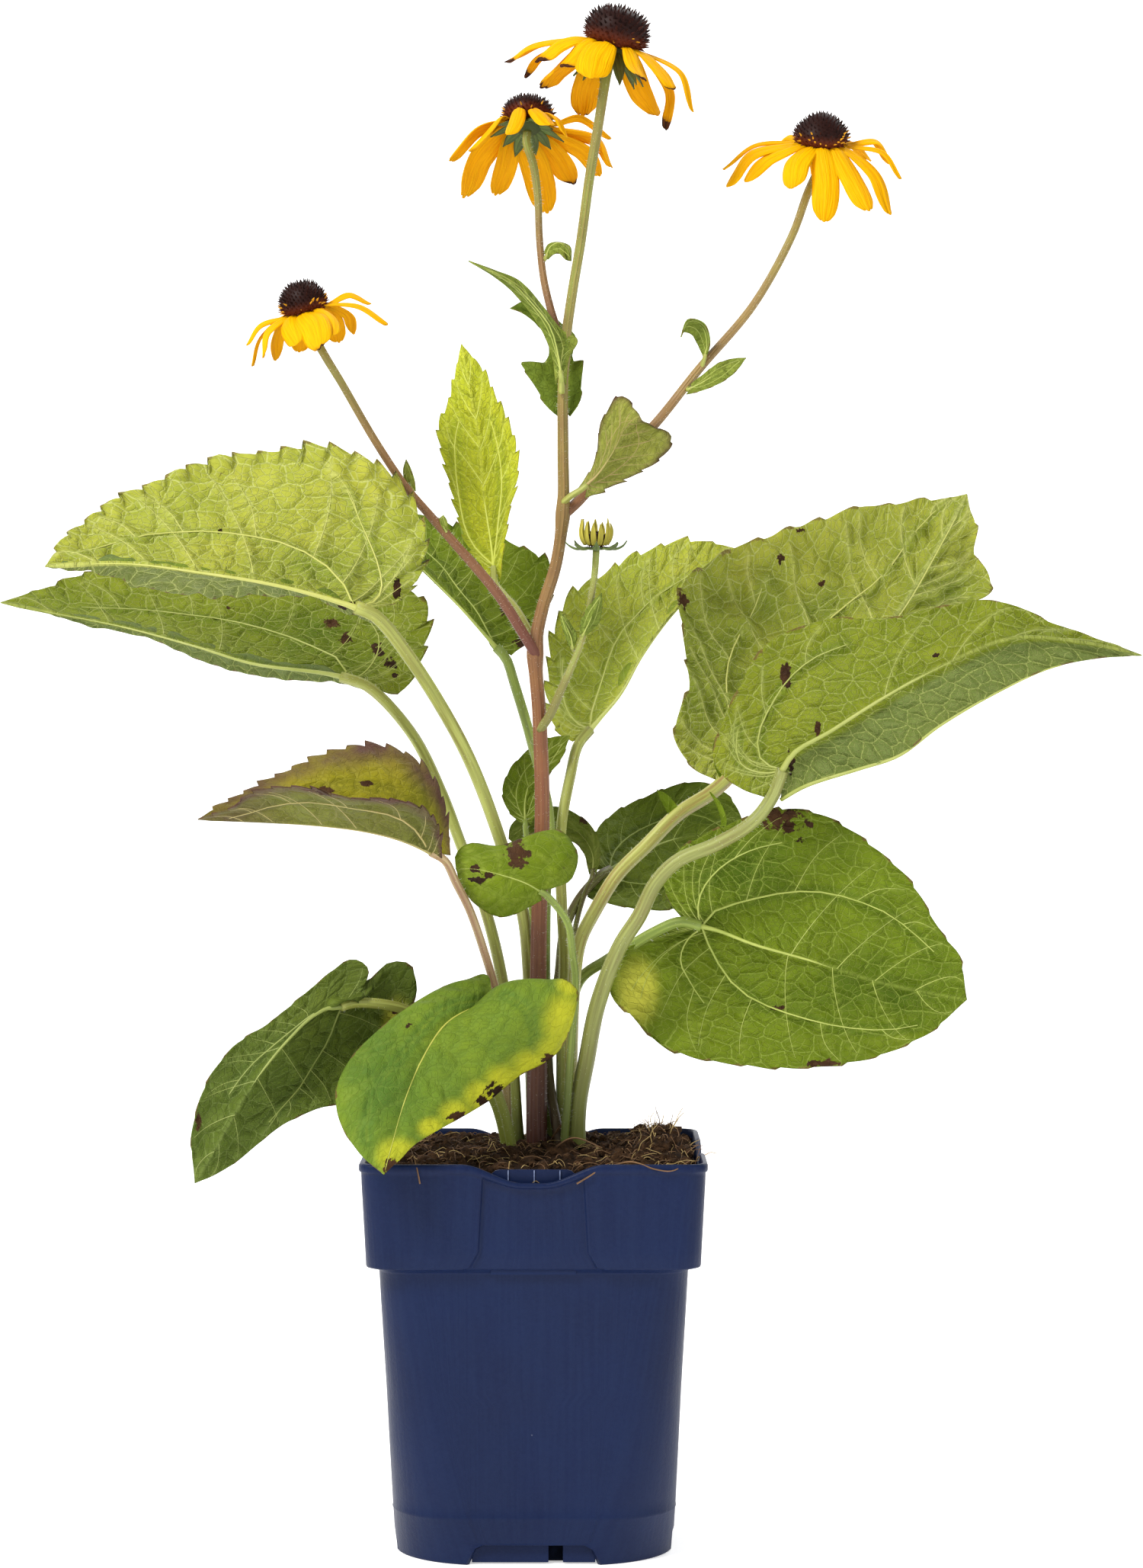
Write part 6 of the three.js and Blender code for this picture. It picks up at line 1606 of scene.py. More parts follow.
def hairs_on_strip(bm, line, across, width, count, draw, material=0):
    """Adds hairs that stand off both sides of a bract."""
    own = bmesh.new()
    for t in draw.uniform(0.1, 1, count):
        heading = line.heading(t)
        lift = np.cross(heading, across)
        way = unit(lift * draw.choice((-1, 1)) + across * draw.normal() * 0.9 + heading * 0.6)
        start = line.at(t) + across * draw.uniform(-0.5, 0.5) * width * MM * (1 - 0.6 * t)
        spike(own, start, way, draw.uniform(0.0005, 0.0011), material, HAIR_RADIUS * 0.4)
    append(bm, own)


def bud_rays_piece():
    """The opening bud's short upright rays."""
    head = Head(BUD)
    draw = np.random.default_rng(11)
    bm = bmesh.new()
    tones = []
    for number in range(BUD["ray_count"]):
        outward, across = bearing(number * 360 / BUD["ray_count"] + BUD["ray_turn"])
        path = [head.out(outward * radius + (0, 0, height * draw.uniform(0.85, 1.1)))
                for radius, height in BUD["ray_path"]]
        end = strip(bm, SmoothLine(path), head.turn @ across, BUD["ray_width"], BUD_RAY_OUTLINE,
                    (8, 16), cup=-0.5, folds=0.15, notch=0.05)
        tones.extend([draw.random()] * (end - len(tones)))
    finishes = [petal_finish("young"), petal_finish("young")]
    piece = new_piece("bud_petals", bm, finishes, "ray", "bud_rays")
    write_layer(piece, "tone", tones)
    write_layer(piece, "brown", np.zeros(len(tones)))
    thicken(piece, settings().petal_thickness)


def bud_sepals_piece():
    """The bud's cup and the sepals bent out from under it."""
    head = Head(BUD)
    draw = np.random.default_rng(12)
    bm = bmesh.new()
    hairs = bmesh.new()
    close_ends(bm, turned(bm, head, BUD["cup"], 24, 6))
    for number in range(BUD["sepal_count"]):
        outward, across = bearing(number * 360 / BUD["sepal_count"])
        path = [head.out(outward * radius + (0, 0, height)) for radius, height in BUD["sepal_path"]]
        path[-1] = path[-1] + (0, 0, -(number % 3) * 0.0006)
        line = SmoothLine(path)
        strip(bm, line, head.turn @ across, BUD["sepal_width"], BRACT_OUTLINE, (6, 12), cup=-0.3)
        hairs_on_strip(hairs, line, head.turn @ across, BUD["sepal_width"] * 0.6, 20, draw)
    new_piece("bud_calyx_hairs", hairs, [hair_finish()], "bract")
    piece = new_piece("bud_calyx", bm, [bract_finish()], "bract", "bud_sepals")
    thicken(piece, settings().bract_thickness, faces_apart=False)


# The pot and its peat

def square_place(q, half, corner, edge):
    """Round a square with rounded corners, from the middle of its back. q runs from 0 to 4 along
    its sides. Columns are drawn together at edge, the same distance either side of each middle."""
    side = np.floor(q)
    share = (q - side) * 2 - 1
    away = np.abs(share)
    straight = half - corner
    near = np.minimum(edge, straight - 2)
    knots = [0, 0.30, 0.34, 0.38, 0.42, STRAIGHT_SHARE]
    spans = [np.zeros_like(near), near - 1.6, near - 0.25, near + 0.25, near + 1.6, straight]
    run = np.zeros_like(away)
    for low, high, start, end in zip(knots, knots[1:], spans, spans[1:]):
        inside = (away >= low) & (away <= high)
        run = np.where(inside, start + (end - start) * (away - low) / (high - low), run)
    turn = np.clip((away - STRAIGHT_SHARE) / (1 - STRAIGHT_SHARE), 0, 1) * np.pi / 4
    around = away > STRAIGHT_SHARE
    along = np.where(around, straight + corner * np.sin(turn), run) * np.sign(share)
    out = np.where(around, straight + corner * np.cos(turn), half)
    angle = np.pi / 2 + side * np.pi / 2
    x = out * np.cos(angle) - along * np.sin(angle)
    y = out * np.sin(angle) + along * np.cos(angle)
    return x, y, np.abs(along)


def wall_profile(sizes):
    """The pot's wall from the edge of its floor, down and out, up to the rim and back down
    inside, as (half width, corner, height) places."""
    wall, height = sizes.wall, sizes.height
    low = [(49.6 - wall, 30 - wall, 7), (49.2 - wall, 33 - wall, 0.4), (49.2 - wall + 0.3, 33, 0),
           (48.9, 33, 0), (49.25, 33, 0.4)]
    outside = [(49.2, 33, 0.8), (49.6, 30, 8), (49.95, 27.1, 15.7), (50.2, 27, 16.2), (50.02, 27, 16.7),
               (50.4, 25, 26), (51.1, 21, 43), (51.8, 18, 60), (52.6, 16, 75), (53.4, 14, 90),
               (53.95, 12.2, 101.6), (54.2, 12, 102.3), (55, 12, 102.7), (57.4, 10, 103.7), (57.95, 9, 104),
               (58.2, 9, 104.6)]
    collar = [(58.45, 8.8, 110), (58.75, 8.5, 116), (59.05, 8.2, 122), (59.35, 7.8, 128),
              (59.6, 7.4, 133), (59.7, 7.2, height - 4.2), (59.72, 7.1, height - 3.3),
              (60.3, 7, height - 2.9), (60.45, 7, height - 2.4), (60.45, 7, height - 0.8),
              (60.1, 7, height - 0.25), (59.5, 7, height), (58.9, 6.5, height - 0.1),
              (58.6, 6, height - 0.5)]
    inside = [(60 - wall - 0.1, 6, height - 1.5), (58.1, 6.3, 130), (57.2, 7, 112),
              (58.2 - wall, 9 - wall, 105.8), (54 - wall, 12 - wall, 103.2), (51.8 - wall, 18 - wall, 60),
              (50 - wall, 27 - wall, 16.3), (49.6 - wall, 30 - wall, 9)]
    return np.array(low), np.array(outside), np.array(collar), np.array(inside)


def resampled(profile, pitch):
    """A profile with more places on its long stretches."""
    rows = [profile[0]]
    for start, end in zip(profile, profile[1:]):
        count = max(1, int(abs(end[2] - start[2]) / pitch))
        rows.extend(start + (end - start) * (i + 1) / count for i in range(count))
    return np.array(rows)


def panel_edge(z):
    """Half the width of a collar face's middle panel at a height, or of the notch low down."""
    across = np.interp(z, [104, 140.5], [19.2, 17.3])
    tab = np.clip((109 - z) / 5, 0, 1)
    across = across + 5 * (1 - np.sqrt(np.clip(1 - tab**2, 0, 1)))
    return np.where(z < 60, 20.0, across)


def pot_piece():
    """The pot's moulding: wall, collar with set-back panels, dipped rim, floor and pockets."""
    sizes = settings().pot
    profile = np.vstack(wall_profile(sizes))
    rows = resampled(profile, POT_ROW_PITCH)
    top = int(np.argmax(rows[:, 2]))
    count = len(rows) - 1

    def shape(s, t):
        row = np.rint(t * count).astype(int)
        half, corner, z = rows[row].T
        q = ((1 - s) / 2 * 4) % 4
        edge = panel_edge(z)
        x, y, along = square_place(q, half, corner, edge)
        outward = row <= top + 2
        panel = np.clip((edge + 0.25 - along) / 0.5, 0, 1)
        panel = panel * (z > 103.5) * outward * ease(sizes.height - 3, sizes.height - 3.7, z)
        pull = 1 - panel * sizes.panel_depth / np.maximum(half, 1)
        x = np.where(np.abs(x) > np.abs(y), x * pull, x)
        y = np.where(np.abs(y) >= np.abs(x), y * pull, y)
        dip = sizes.dip_depth * (1 - ease(3.5, 25, along))
        z = z - dip * np.clip((z - 118) / (sizes.height - 118), 0, 1) ** 1.5
        notch = sizes.notch_height * np.clip((21.6 - along) / 1.35, 0, 1)
        z = np.where(z < notch, notch, z)
        return np.stack([x, y, z], -1) * MM

    def laid_out(s, t):
        row = np.rint(t * count).astype(int)
        return np.stack([s * 0.22, rows[row][:, 2] * MM], -1)

    bm = bmesh.new()
    sheet(bm, POT_COLUMNS, count, shape, laid_out, around=True)
    for side in range(4):
        floor_quarter(bm, side)
        pocket(bm, side)
    block(bm, Matrix.Identity(4), *CENTRAL_FOOT)
    bmesh.ops.recalc_face_normals(bm, faces=bm.faces)
    new_piece("pot_moulding", bm, [pot_finish(), pip_highlight_finish(), notch_shadow_finish()], "pot", "pot")


def floor_quarter(bm, side):
    """A quarter of the pot's floor with its drain hole."""
    middle = HOLE_OUT / math.sqrt(2)

    def reach(turn):
        way = np.stack([np.cos(turn), np.sin(turn)], -1)
        low, high = np.zeros(len(turn)), np.full(len(turn), 90.0)
        for _ in range(30):
            length = (low + high) / 2
            spot = middle + way * length[:, None]
            over = np.maximum(spot - (FLOOR_HALF - FLOOR_CORNER), 0)
            inside = (spot.min(axis=-1) > 0) & (np.hypot(*over.T) < FLOOR_CORNER)
            low, high = np.where(inside, length, low), np.where(inside, high, length)
        return low

    rows = len(FLOOR_SECTION) - 1

    def shape(s, t):
        share, z = np.array(FLOOR_SECTION)[np.rint(t * rows).astype(int)].T
        turn = np.pi * s
        length = HOLE_RADIUS + (reach(turn) - HOLE_RADIUS) * share
        x, y = middle + np.cos(turn) * length, middle + np.sin(turn) * length
        angle = side * np.pi / 2
        return np.stack([x * np.cos(angle) - y * np.sin(angle),
                         x * np.sin(angle) + y * np.cos(angle), z], -1) * MM

    sheet(bm, 64, rows, shape, around=True)


def pocket(bm, side):
    """The label pocket's plate behind a dip, with three upright pips on its face, the two set-back
    ribs behind the notch at the foot, and a near-black sheet behind them: painted shadow for the dark inside
    under the pot."""
    turn = Matrix.Rotation(side * math.pi / 2, 4, "Z")
    plate = bm.faces.new([bm.verts.new(turn @ Vector((x * MM, PLATE_FRONT * MM, z * MM)))
                          for x, z in POCKET_PLATE])
    grown = bmesh.ops.extrude_face_region(bm, geom=[plate])["geom"]
    moved = [item for item in grown if isinstance(item, bmesh.types.BMVert)]
    bmesh.ops.translate(bm, verts=moved, vec=turn @ Vector((0, PLATE_THICKNESS * MM, 0)))
    # The pips take the pale finish, a painted highlight for their glint.
    for x in PIPS_ACROSS:
        block(bm, turn, (x, -56.2, 136), PIP_SIZE, finish=1)
    for start, end in FOOT_RIBS:
        made = block(bm, turn, ((start + end) / 2, -46.3, 4.4), (end - start, 1.2, 7.6))
        edges = list({edge for vert in made for edge in vert.link_edges})
        bmesh.ops.bevel(bm, geom=edges, offset=0.25 * MM, segments=2, profile=0.5, affect="EDGES",
                        material=-1)
    # Painted shadow: a near-black sheet behind the notch, where only shade is seen.
    block(bm, turn, (0, -43.4, 3.9), (26, 0.8, 6.6), finish=2)


def peat_height(x, y):
    """How high the peat lies: mounded round the crown and heaped at the right-hand rim."""
    out = np.minimum(np.maximum(np.abs(x), np.abs(y)) / 60, 1)
    heap = HEAP_HEIGHT * np.exp(-(((x - HEAP_MIDDLE[0]) / HEAP_SPREAD[0]) ** 2)
                                - ((y - HEAP_MIDDLE[1]) / HEAP_SPREAD[1]) ** 2)
    near, far = np.minimum(np.abs(x), np.abs(y)), np.maximum(np.abs(x), np.abs(y))
    at_pocket = ease(50, 55, far) * ease(19, 15, near)
    return PEAT_LEVEL + PEAT_MOUND * (1 - out**2) + heap - POCKET_HOLLOW * at_pocket


def on_square(x, y, half, corner):
    """Where a heading from the axis meets a square outline with round corners."""
    way = np.array((x, y)) / math.hypot(x, y)
    near, far = sorted(np.abs(way))
    if near / far * half <= half - corner:
        return way / far * half
    reach = (near + far) * (half - corner)
    return way * (reach + math.sqrt(reach**2 - 2 * (half - corner) ** 2 + corner**2))


def peat_piece():
    """The peat: a lumpy top of clods, fibres, straws and roots, down to the pot's floor."""
    sizes = settings().peat
    draw = np.random.default_rng(5)
    bm = bmesh.new()
    straight = PEAT_HALF - PEAT_CORNER

    def rounded(value, beyond, over):
        return np.sign(value) * (np.minimum(np.abs(value), straight) + beyond / over)

    def shape(s, t):
        x, y = s * PEAT_HALF, (t * 2 - 1) * PEAT_HALF
        beyond = [np.maximum(np.abs(value), straight) - straight for value in (x, y)]
        over = np.maximum(np.hypot(*beyond) / PEAT_CORNER, 1)
        x, y = rounded(x, beyond[0], over), rounded(y, beyond[1], over)
        spots = np.stack([x, y], -1)
        lumps = sum(ripple(spots, pitch, number) * height
                    for number, (pitch, height) in enumerate(PEAT_LUMPS, start=1))
        lumps = lumps + np.abs(ripple(spots, PEAT_GRIT[0], 4)) * PEAT_GRIT[1]
        edge = np.maximum(np.abs(x), np.abs(y))
        z = peat_height(x, y) + lumps * sizes.lump_height - EDGE_HOLLOW * ease(53, PEAT_HALF, edge)
        return np.stack([x, y, z], -1) * MM

    sheet(bm, PEAT_GRID, PEAT_GRID, shape)
    rim = [edge for edge in bm.edges if edge.is_boundary]
    grown = bmesh.ops.extrude_edge_only(bm, edges=rim)["geom"]
    for half, corner, level in PEAT_SIDES:
        for vert in [item for item in grown if isinstance(item, bmesh.types.BMVert)]:
            x, y = on_square(vert.co.x, vert.co.y, half, corner)
            vert.co = Vector((x, y, level)) * MM
        rim = [item for item in grown if isinstance(item, bmesh.types.BMEdge)]
        if level > PEAT_SIDES[-1][2]:
            grown = bmesh.ops.extrude_edge_only(bm, edges=rim)["geom"]
    floor = [e for e in bm.edges if e.is_boundary]
    bmesh.ops.holes_fill(bm, edges=floor, sides=0)
    bmesh.ops.recalc_face_normals(bm, faces=bm.faces)

    def on_top(x, y, lift=0.0):
        return np.array((x, y, peat_height(x, y) + lift)) * MM

    crumbs = bmesh.new()
    for _ in range(sizes.clods):
        x, y = draw.uniform(-56, 56, 2)
        radius = draw.gamma(2.0, 0.58) + 0.4
        spot = Vector(on_top(x, y, draw.uniform(-0.4, 0.9)))
        scale = Matrix.Diagonal((*draw.uniform(0.6, 1.3, 3), 1))
        turn = Matrix.Rotation(draw.uniform(0, 6.3), 4, Vector(draw.normal(size=3)).normalized())
        made = bmesh.ops.create_icosphere(crumbs, subdivisions=1, radius=min(radius, 3) * MM,
                                          matrix=Matrix.Translation(spot) @ turn @ scale)["verts"]
        for vert in made:
            vert.co += Vector(draw.normal(size=3)) * 0.1 * radius * MM
        paint(made, 1)
    append(bm, crumbs)

    for number in range(sizes.fibres):
        x, y = draw.uniform(-55, 55, 2)
        turn = draw.uniform(0, 2 * math.pi)
        length = draw.uniform(3, 16)
        points = []
        for step in np.linspace(0, 1, 5):
            turn += draw.normal() * 0.4
            x = float(np.clip(x + math.cos(turn) * length / 4, -56.5, 56.5))
            y = float(np.clip(y + math.sin(turn) * length / 4, -56.5, 56.5))
            points.append(on_top(x, y, 0.9 + 2.2 * draw.random() * math.sin(step * math.pi)))
        thick = draw.uniform(0.07, 0.24) * MM
        rod(bm, SmoothLine(points), lambda t: thick * (1 - 0.5 * t), 4, 10,
            material=2 if number % 3 else 3)
    for number in range(sizes.tendrils):
        x, y = draw.uniform(34, 58), draw.uniform(-46, 14)
        spot = on_top(x, y, -0.5)
        way = unit(np.array((draw.normal() * 0.5, draw.normal() * 0.5, 1.0)))
        length = draw.uniform(4, 13)
        points = [spot]
        for _ in range(4):
            way = unit(way + draw.normal(size=3) * 0.45)
            points.append(points[-1] + way * length / 4 * MM)
        thick = draw.uniform(0.12, 0.26) * MM
        rod(bm, SmoothLine(points), lambda t: thick * (1 - 0.5 * t), 4, 10, material=2 + number % 2)
    for points, thick in PEAT_ROOTS:
        line = SmoothLine([np.array(spot) * MM for spot in points])
        rod(bm, line, lambda t: thick * MM * (1 - 0.6 * t), 6, 24, material=2)
    finishes = [peat_finish("ground"), peat_finish("clod"), fibre_finish("root"), fibre_finish("straw")]
    new_piece("peat", bm, finishes, "soil", "soil")


# Leaf finishes. Each look has, for the upper and the under face, the main colour, the colour in its
# darker parts and the colour of its finer veins, in screen levels.
LOOKS = {
    "pale": {"upper": ((118, 140, 46), (88, 110, 36), (170, 180, 90)),
             "under": ((176, 184, 72), (138, 152, 50), (212, 216, 142))},
    "fresh": {"upper": ((150, 170, 58), (116, 138, 44), (196, 206, 120)),
              "under": ((192, 204, 78), (152, 170, 56), (224, 230, 150))},
    "dull": {"upper": ((104, 120, 40), (78, 96, 30), (150, 156, 84)),
             "under": ((130, 144, 40), (92, 112, 26), (186, 190, 116))},
    "purple": {"upper": ((158, 154, 34), (118, 116, 28), (194, 184, 76)),
               "under": ((126, 134, 60), (98, 100, 46), (156, 150, 96))},
    "green": {"upper": ((110, 134, 28), (78, 102, 20), (156, 170, 72)),
              "under": ((110, 132, 28), (76, 98, 18), (160, 174, 80))},
    # The deep look is a darker copy of the green one: painted shade for the low front leaf.
    "deep": {"upper": ((96, 116, 44), (72, 90, 32), (134, 148, 78)),
             "under": ((98, 118, 46), (74, 92, 34), (136, 150, 84))},
    "shaded": {"upper": ((92, 116, 34), (66, 86, 26), (132, 148, 66)),
               "under": ((116, 136, 46), (80, 98, 30), (156, 168, 84))},
    "bright": {"upper": ((160, 182, 42), (120, 142, 34), (196, 204, 96)),
               "under": ((192, 202, 50), (150, 164, 40), (214, 218, 108))},
    "yellowing": {"upper": ((120, 146, 44), (88, 120, 44), (160, 176, 80)),
                  "under": ((134, 154, 52), (100, 124, 42), (170, 182, 96))},
    "purple_green": {"upper": ((128, 134, 56), (98, 98, 44), (160, 158, 88)),
                     "under": ((146, 156, 66), (116, 120, 50), (184, 184, 112))},
    "small": {"upper": ((108, 132, 42), (80, 100, 32), (138, 156, 66)),
              "under": ((140, 156, 66), (106, 126, 48), (168, 178, 96))},
}
MIDRIB_COLOURS = {
    "pale": (198, 198, 112), "fresh": (206, 212, 126), "dull": (166, 172, 92), "purple": (188, 170, 108),
    "green": (176, 186, 92), "deep": (150, 160, 80), "shaded": (164, 176, 88), "bright": (204, 210, 100),
    "yellowing": (196, 194, 84), "purple_green": (170, 140, 90), "small": (176, 184, 92),
}

# How strongly each look's margin is browned, and how strongly its net of veins shows.
EDGE_SHARE = {
    "pale": 0.6, "fresh": 0.45, "dull": 0.6, "purple": 0.7, "green": 0.6, "deep": 0.55, "shaded": 0.4,
    "bright": 0.4, "yellowing": 0.7, "purple_green": 0.6, "small": 0.5,
}
NET_SHARE = {
    "pale": 0.85, "fresh": 0.8, "dull": 0.75, "purple": 0.6, "green": 0.75, "deep": 0.6,
    "shaded": 0.5, "bright": 0.55, "yellowing": 0.35, "purple_green": 0.45, "small": 0.15,
}


def leaf_finish(look, face):
    """A leaf's finish on its upper or its under face."""
    name = f"Leaf {look} {face}"
    if name in bpy.data.materials:
        return bpy.data.materials[name]
    base, deep, line = [srgb(*levels) for levels in LOOKS[look][face]]
    material, tree, shader, where, lain = new_finish(name)
    net = use_group(tree, vein_net(), Vector=lain, Cell=0.0062, Line=0.045)
    cloud = clouds(tree, where, size=0.016, contrast=0.45)
    colour = tint(tree, times(tree, cloud, 0.75), base, deep)
    spread = clouds(tree, where, size=0.05, contrast=0.6)
    warm = [min(1, base[0] * 1.25), base[1] * 1.04, base[2] * 0.8, 1]
    colour = tint(tree, times(tree, spread, 0.5), colour, warm)
    # Painted shade: the dark marks darken the blade where it lies in shade.
    uneven = maths(tree, "ADD", 0.45, times(tree, cloud, 0.4))
    dark = times(tree, layer(tree, "dark"), uneven)
    colour = tint(tree, dark, colour, [deep[0] * 0.72, deep[1] * 0.8, deep[2] * 0.8, 1])
    # Painted shade: the turned-over half is greyed.
    colour = tint(tree, times(tree, layer(tree, "grey_shade"), 0.85), colour, srgb(104, 120, 74))
    # Painted shade in the valleys beside the strong veins.
    colour = tint(tree, times(tree, layer(tree, "shade_beside_veins"), 0.65), colour, deep)
    under = face == "under"
    fine = times(tree, net["Fine"], 0.42 if under else 0.25)
    coarse = times(tree, net["Lines"], 0.85 if under else 0.55)
    lines = maths(tree, "MAXIMUM", maths(tree, "MAXIMUM", fine, coarse), layer(tree, "vein"))
    colour = tint(tree, times(tree, lines, NET_SHARE[look]), colour, line)
    # Painted shade: darker in the hollows of the vein net, between its swellings.
    hollow_shade = maths(tree, "SUBTRACT", 1.0, net["Swell"])
    colour = tint(tree, times(tree, hollow_shade, 0.22), colour, deep)
    uneven = maths(tree, "ADD", layer(tree, "yellow"), times(tree, spread, 0.25))
    yellow = rise(tree, uneven, 0.2, 1.05)
    yellow_tone = srgb(206, 206, 50) if look == "yellowing" else srgb(190, 188, 70)
    uneven = maths(tree, "SUBTRACT", 0.95, times(tree, cloud, 0.3))
    colour = tint(tree, times(tree, yellow, uneven), colour, yellow_tone)
    edge = use_group(tree, worn_patch(), Vector=where, Amount=layer(tree, "edge"), Size=0.0015)
    colour = tint(tree, times(tree, edge["Mask"], EDGE_SHARE[look]), colour, srgb(112, 72, 54))
    uneven = maths(tree, "ADD", 0.55, times(tree, cloud, 0.6))
    flush = times(tree, layer(tree, "flush"), uneven)
    colour = tint(tree, flush, colour, srgb(96, 70, 58))
    specks = use_group(tree, flecks(), Vector=lain, Spacing=0.007, Size=0.07)["Mask"]
    colour = tint(tree, times(tree, specks, 0.45), colour, srgb(80, 72, 40))
    dead = use_group(tree, worn_patch(), Vector=where, Amount=layer(tree, "brown"), Size=0.0035,
                     Raggedness=1.7)["Mask"]
    withered = tint(tree, cloud, srgb(40, 26, 18), srgb(86, 58, 36))
    colour = tint(tree, dead, colour, withered)
    set_surface(tree, shader, colour, 0.55, 0.1)
    grain = add(tree, "ShaderNodeTexNoise", {"Vector": where, "Scale": 1800.0, "Detail": 2.0})
    height = maths(tree, "ADD", times(tree, net["Swell"], 1.0 if under else 0.8),
                   times(tree, grain.outputs["Fac"], 0.35))
    height = maths(tree, "SUBTRACT", height, times(tree, net["Fine"], 0.25))
    normal = bump(tree, shader, height, 0.0009 if under else 0.0006)
    glow_through(tree, shader, colour, 0.14, normal)
    return material


def vein_finish(look):
    """The raised veins of a leaf."""
    name = f"Leaf {look} vein"
    if name in bpy.data.materials:
        return bpy.data.materials[name]
    material, tree, shader, where, _ = new_finish(name)
    pale = srgb(*MIDRIB_COLOURS[look])
    green = srgb(*LOOKS[look]["under"][0])
    cloud = clouds(tree, where, size=0.012, contrast=0.5)
    set_surface(tree, shader, tint(tree, times(tree, cloud, 0.5), pale, green), 0.5)
    return material


# Main, darker and reddish colours of each kind of stalk, how much of it is reddish, and its colour
# near the peat.
STALK_COLOURS = {
    "pale": ((172, 178, 88), (138, 146, 62), (136, 92, 62), 0.4, (104, 114, 36)),
    "dim": ((150, 156, 84), (120, 128, 60), (130, 92, 60), 0.4, (112, 118, 46)),
    "pink": ((190, 168, 124), (160, 130, 92), (140, 86, 66), 0.7, (120, 110, 60)),
    "flushed": ((176, 180, 92), (144, 148, 68), (150, 84, 56), 0.6, (118, 116, 44)),
    # The dark kind is a darker copy of the stalk colours: painted shade for stalks that lie in shadow.
    "dark": ((124, 128, 62), (98, 96, 50), (84, 48, 38), 0.6, (66, 44, 30)),
    "green": ((142, 160, 68), (110, 130, 50), (120, 92, 56), 0.25, (92, 104, 34)),
}


def stalk_finish(kind):
    """A leaf's stalk, with reddish specks and lengthwise streaks."""
    name = f"Leaf stalk {kind}"
    if name in bpy.data.materials:
        return bpy.data.materials[name]
    base, deep, red, share, low = STALK_COLOURS[kind]
    material, tree, shader, where, lain = new_finish(name)
    streaks = fine_lines(tree, lain, width=0.0011, length=0.03)
    colour = tint(tree, streaks, srgb(*deep), srgb(*base))
    flush = clouds(tree, where, size=0.03, contrast=0.5)
    flush = times(tree, flush, maths(tree, "SUBTRACT", 1.0, streaks))
    colour = tint(tree, times(tree, flush, share), colour, srgb(*red))
    specks = use_group(tree, flecks(), Vector=where, Spacing=0.0016, Size=0.2)["Mask"]
    colour = tint(tree, times(tree, specks, share * 0.6), colour, srgb(*red))
    colour = tint(tree, times(tree, layer(tree, "low"), 0.9), colour, srgb(*low))
    set_surface(tree, shader, colour, 0.5)
    bump(tree, shader, streaks, 0.00012)
    return material


# Low, middle and top colours of each stem, and where the middle one is reached.
STEM_COLOURS = {
    "main_stem": ((58, 25, 20), (124, 70, 40), (132, 144, 58), 0.32),
    "second_flower_stalk": ((116, 66, 46), (128, 96, 52), (132, 152, 60), 0.4),
    "right_branch": ((126, 84, 46), (140, 118, 56), (146, 148, 62), 0.5),
    "left_branch": ((104, 52, 36), (128, 88, 46), (146, 146, 62), 0.5),
    "bud_shoot": ((132, 136, 66), (142, 156, 72), (140, 160, 70), 0.5),
}


def stem_finish(name):
    """A stem's ridged skin, from maroon at its foot to olive at its top."""
    low, middle, top, turning = STEM_COLOURS[name]
    material, tree, shader, where, lain = new_finish(f"Skin of {name.replace('_', ' ')}")
    level = layer(tree, "along")
    colour = tint(tree, rise(tree, level, 0.0, turning), srgb(*low), srgb(*middle))
    colour = tint(tree, rise(tree, level, turning, 0.95), colour, srgb(*top))
    streaks = fine_lines(tree, lain, width=0.0009, length=0.05)
    pale = times(tree, streaks, rise(tree, level, 0.02, 0.4, 0.05, 0.36))
    colour = tint(tree, pale, colour, srgb(170, 128, 80))
    patches = clouds(tree, where, size=0.012, contrast=0.4)
    colour = tint(tree, times(tree, patches, 0.35), colour, srgb(96, 52, 40))
    set_surface(tree, shader, colour, 0.5)
    bump(tree, shader, streaks, 0.0002)
    return material


def hair_finish():
    """Short pale bristles."""
    if "Hairs" in bpy.data.materials:
        return bpy.data.materials["Hairs"]
    material, tree, shader, where, _ = new_finish("Hairs")
    cloud = clouds(tree, where, size=0.004, contrast=0.5)
    colour = tint(tree, cloud, srgb(214, 214, 190), srgb(238, 238, 224))
    set_surface(tree, shader, colour, 0.45)
    return material


# Fresh and deeper colours of a ray's two faces and of a young ray.
PETAL_COLOURS = {
    "face": ((255, 208, 0), (250, 184, 0)),
    "back": ((250, 196, 10), (232, 168, 12)),
    "young": ((222, 210, 92), (170, 160, 66)),
}


def petal_finish(face):
    """Golden yellow rays, orange towards the cone, with fine lengthwise folds."""
    name = f"Petal {face}"
    if name in bpy.data.materials:
        return bpy.data.materials[name]
    material, tree, shader, where, lain = new_finish(name)
    fresh, deep = PETAL_COLOURS[face]
    streaks = fine_lines(tree, lain, width=0.0007, length=0.02)
    colour = tint(tree, streaks, srgb(*deep), srgb(*fresh))
    tone = times(tree, layer(tree, "tone"), 0.35)
    colour = tint(tree, tone, colour, srgb(*deep))
    patch = use_group(tree, worn_patch(), Vector=where, Amount=layer(tree, "brown"), Size=0.003)
    dry = tint(tree, streaks, srgb(44, 26, 22), srgb(112, 66, 34))
    colour = tint(tree, rise(tree, layer(tree, "brown"), 0.0, 0.5, 0.0, 0.55), colour, srgb(196, 122, 20))
    colour = tint(tree, patch["Mask"], colour, dry)
    set_surface(tree, shader, colour, 0.55, 0.1)
    normal = bump(tree, shader, streaks, 0.00025)
    glow_through(tree, shader, colour, 0.3, normal)
    return material


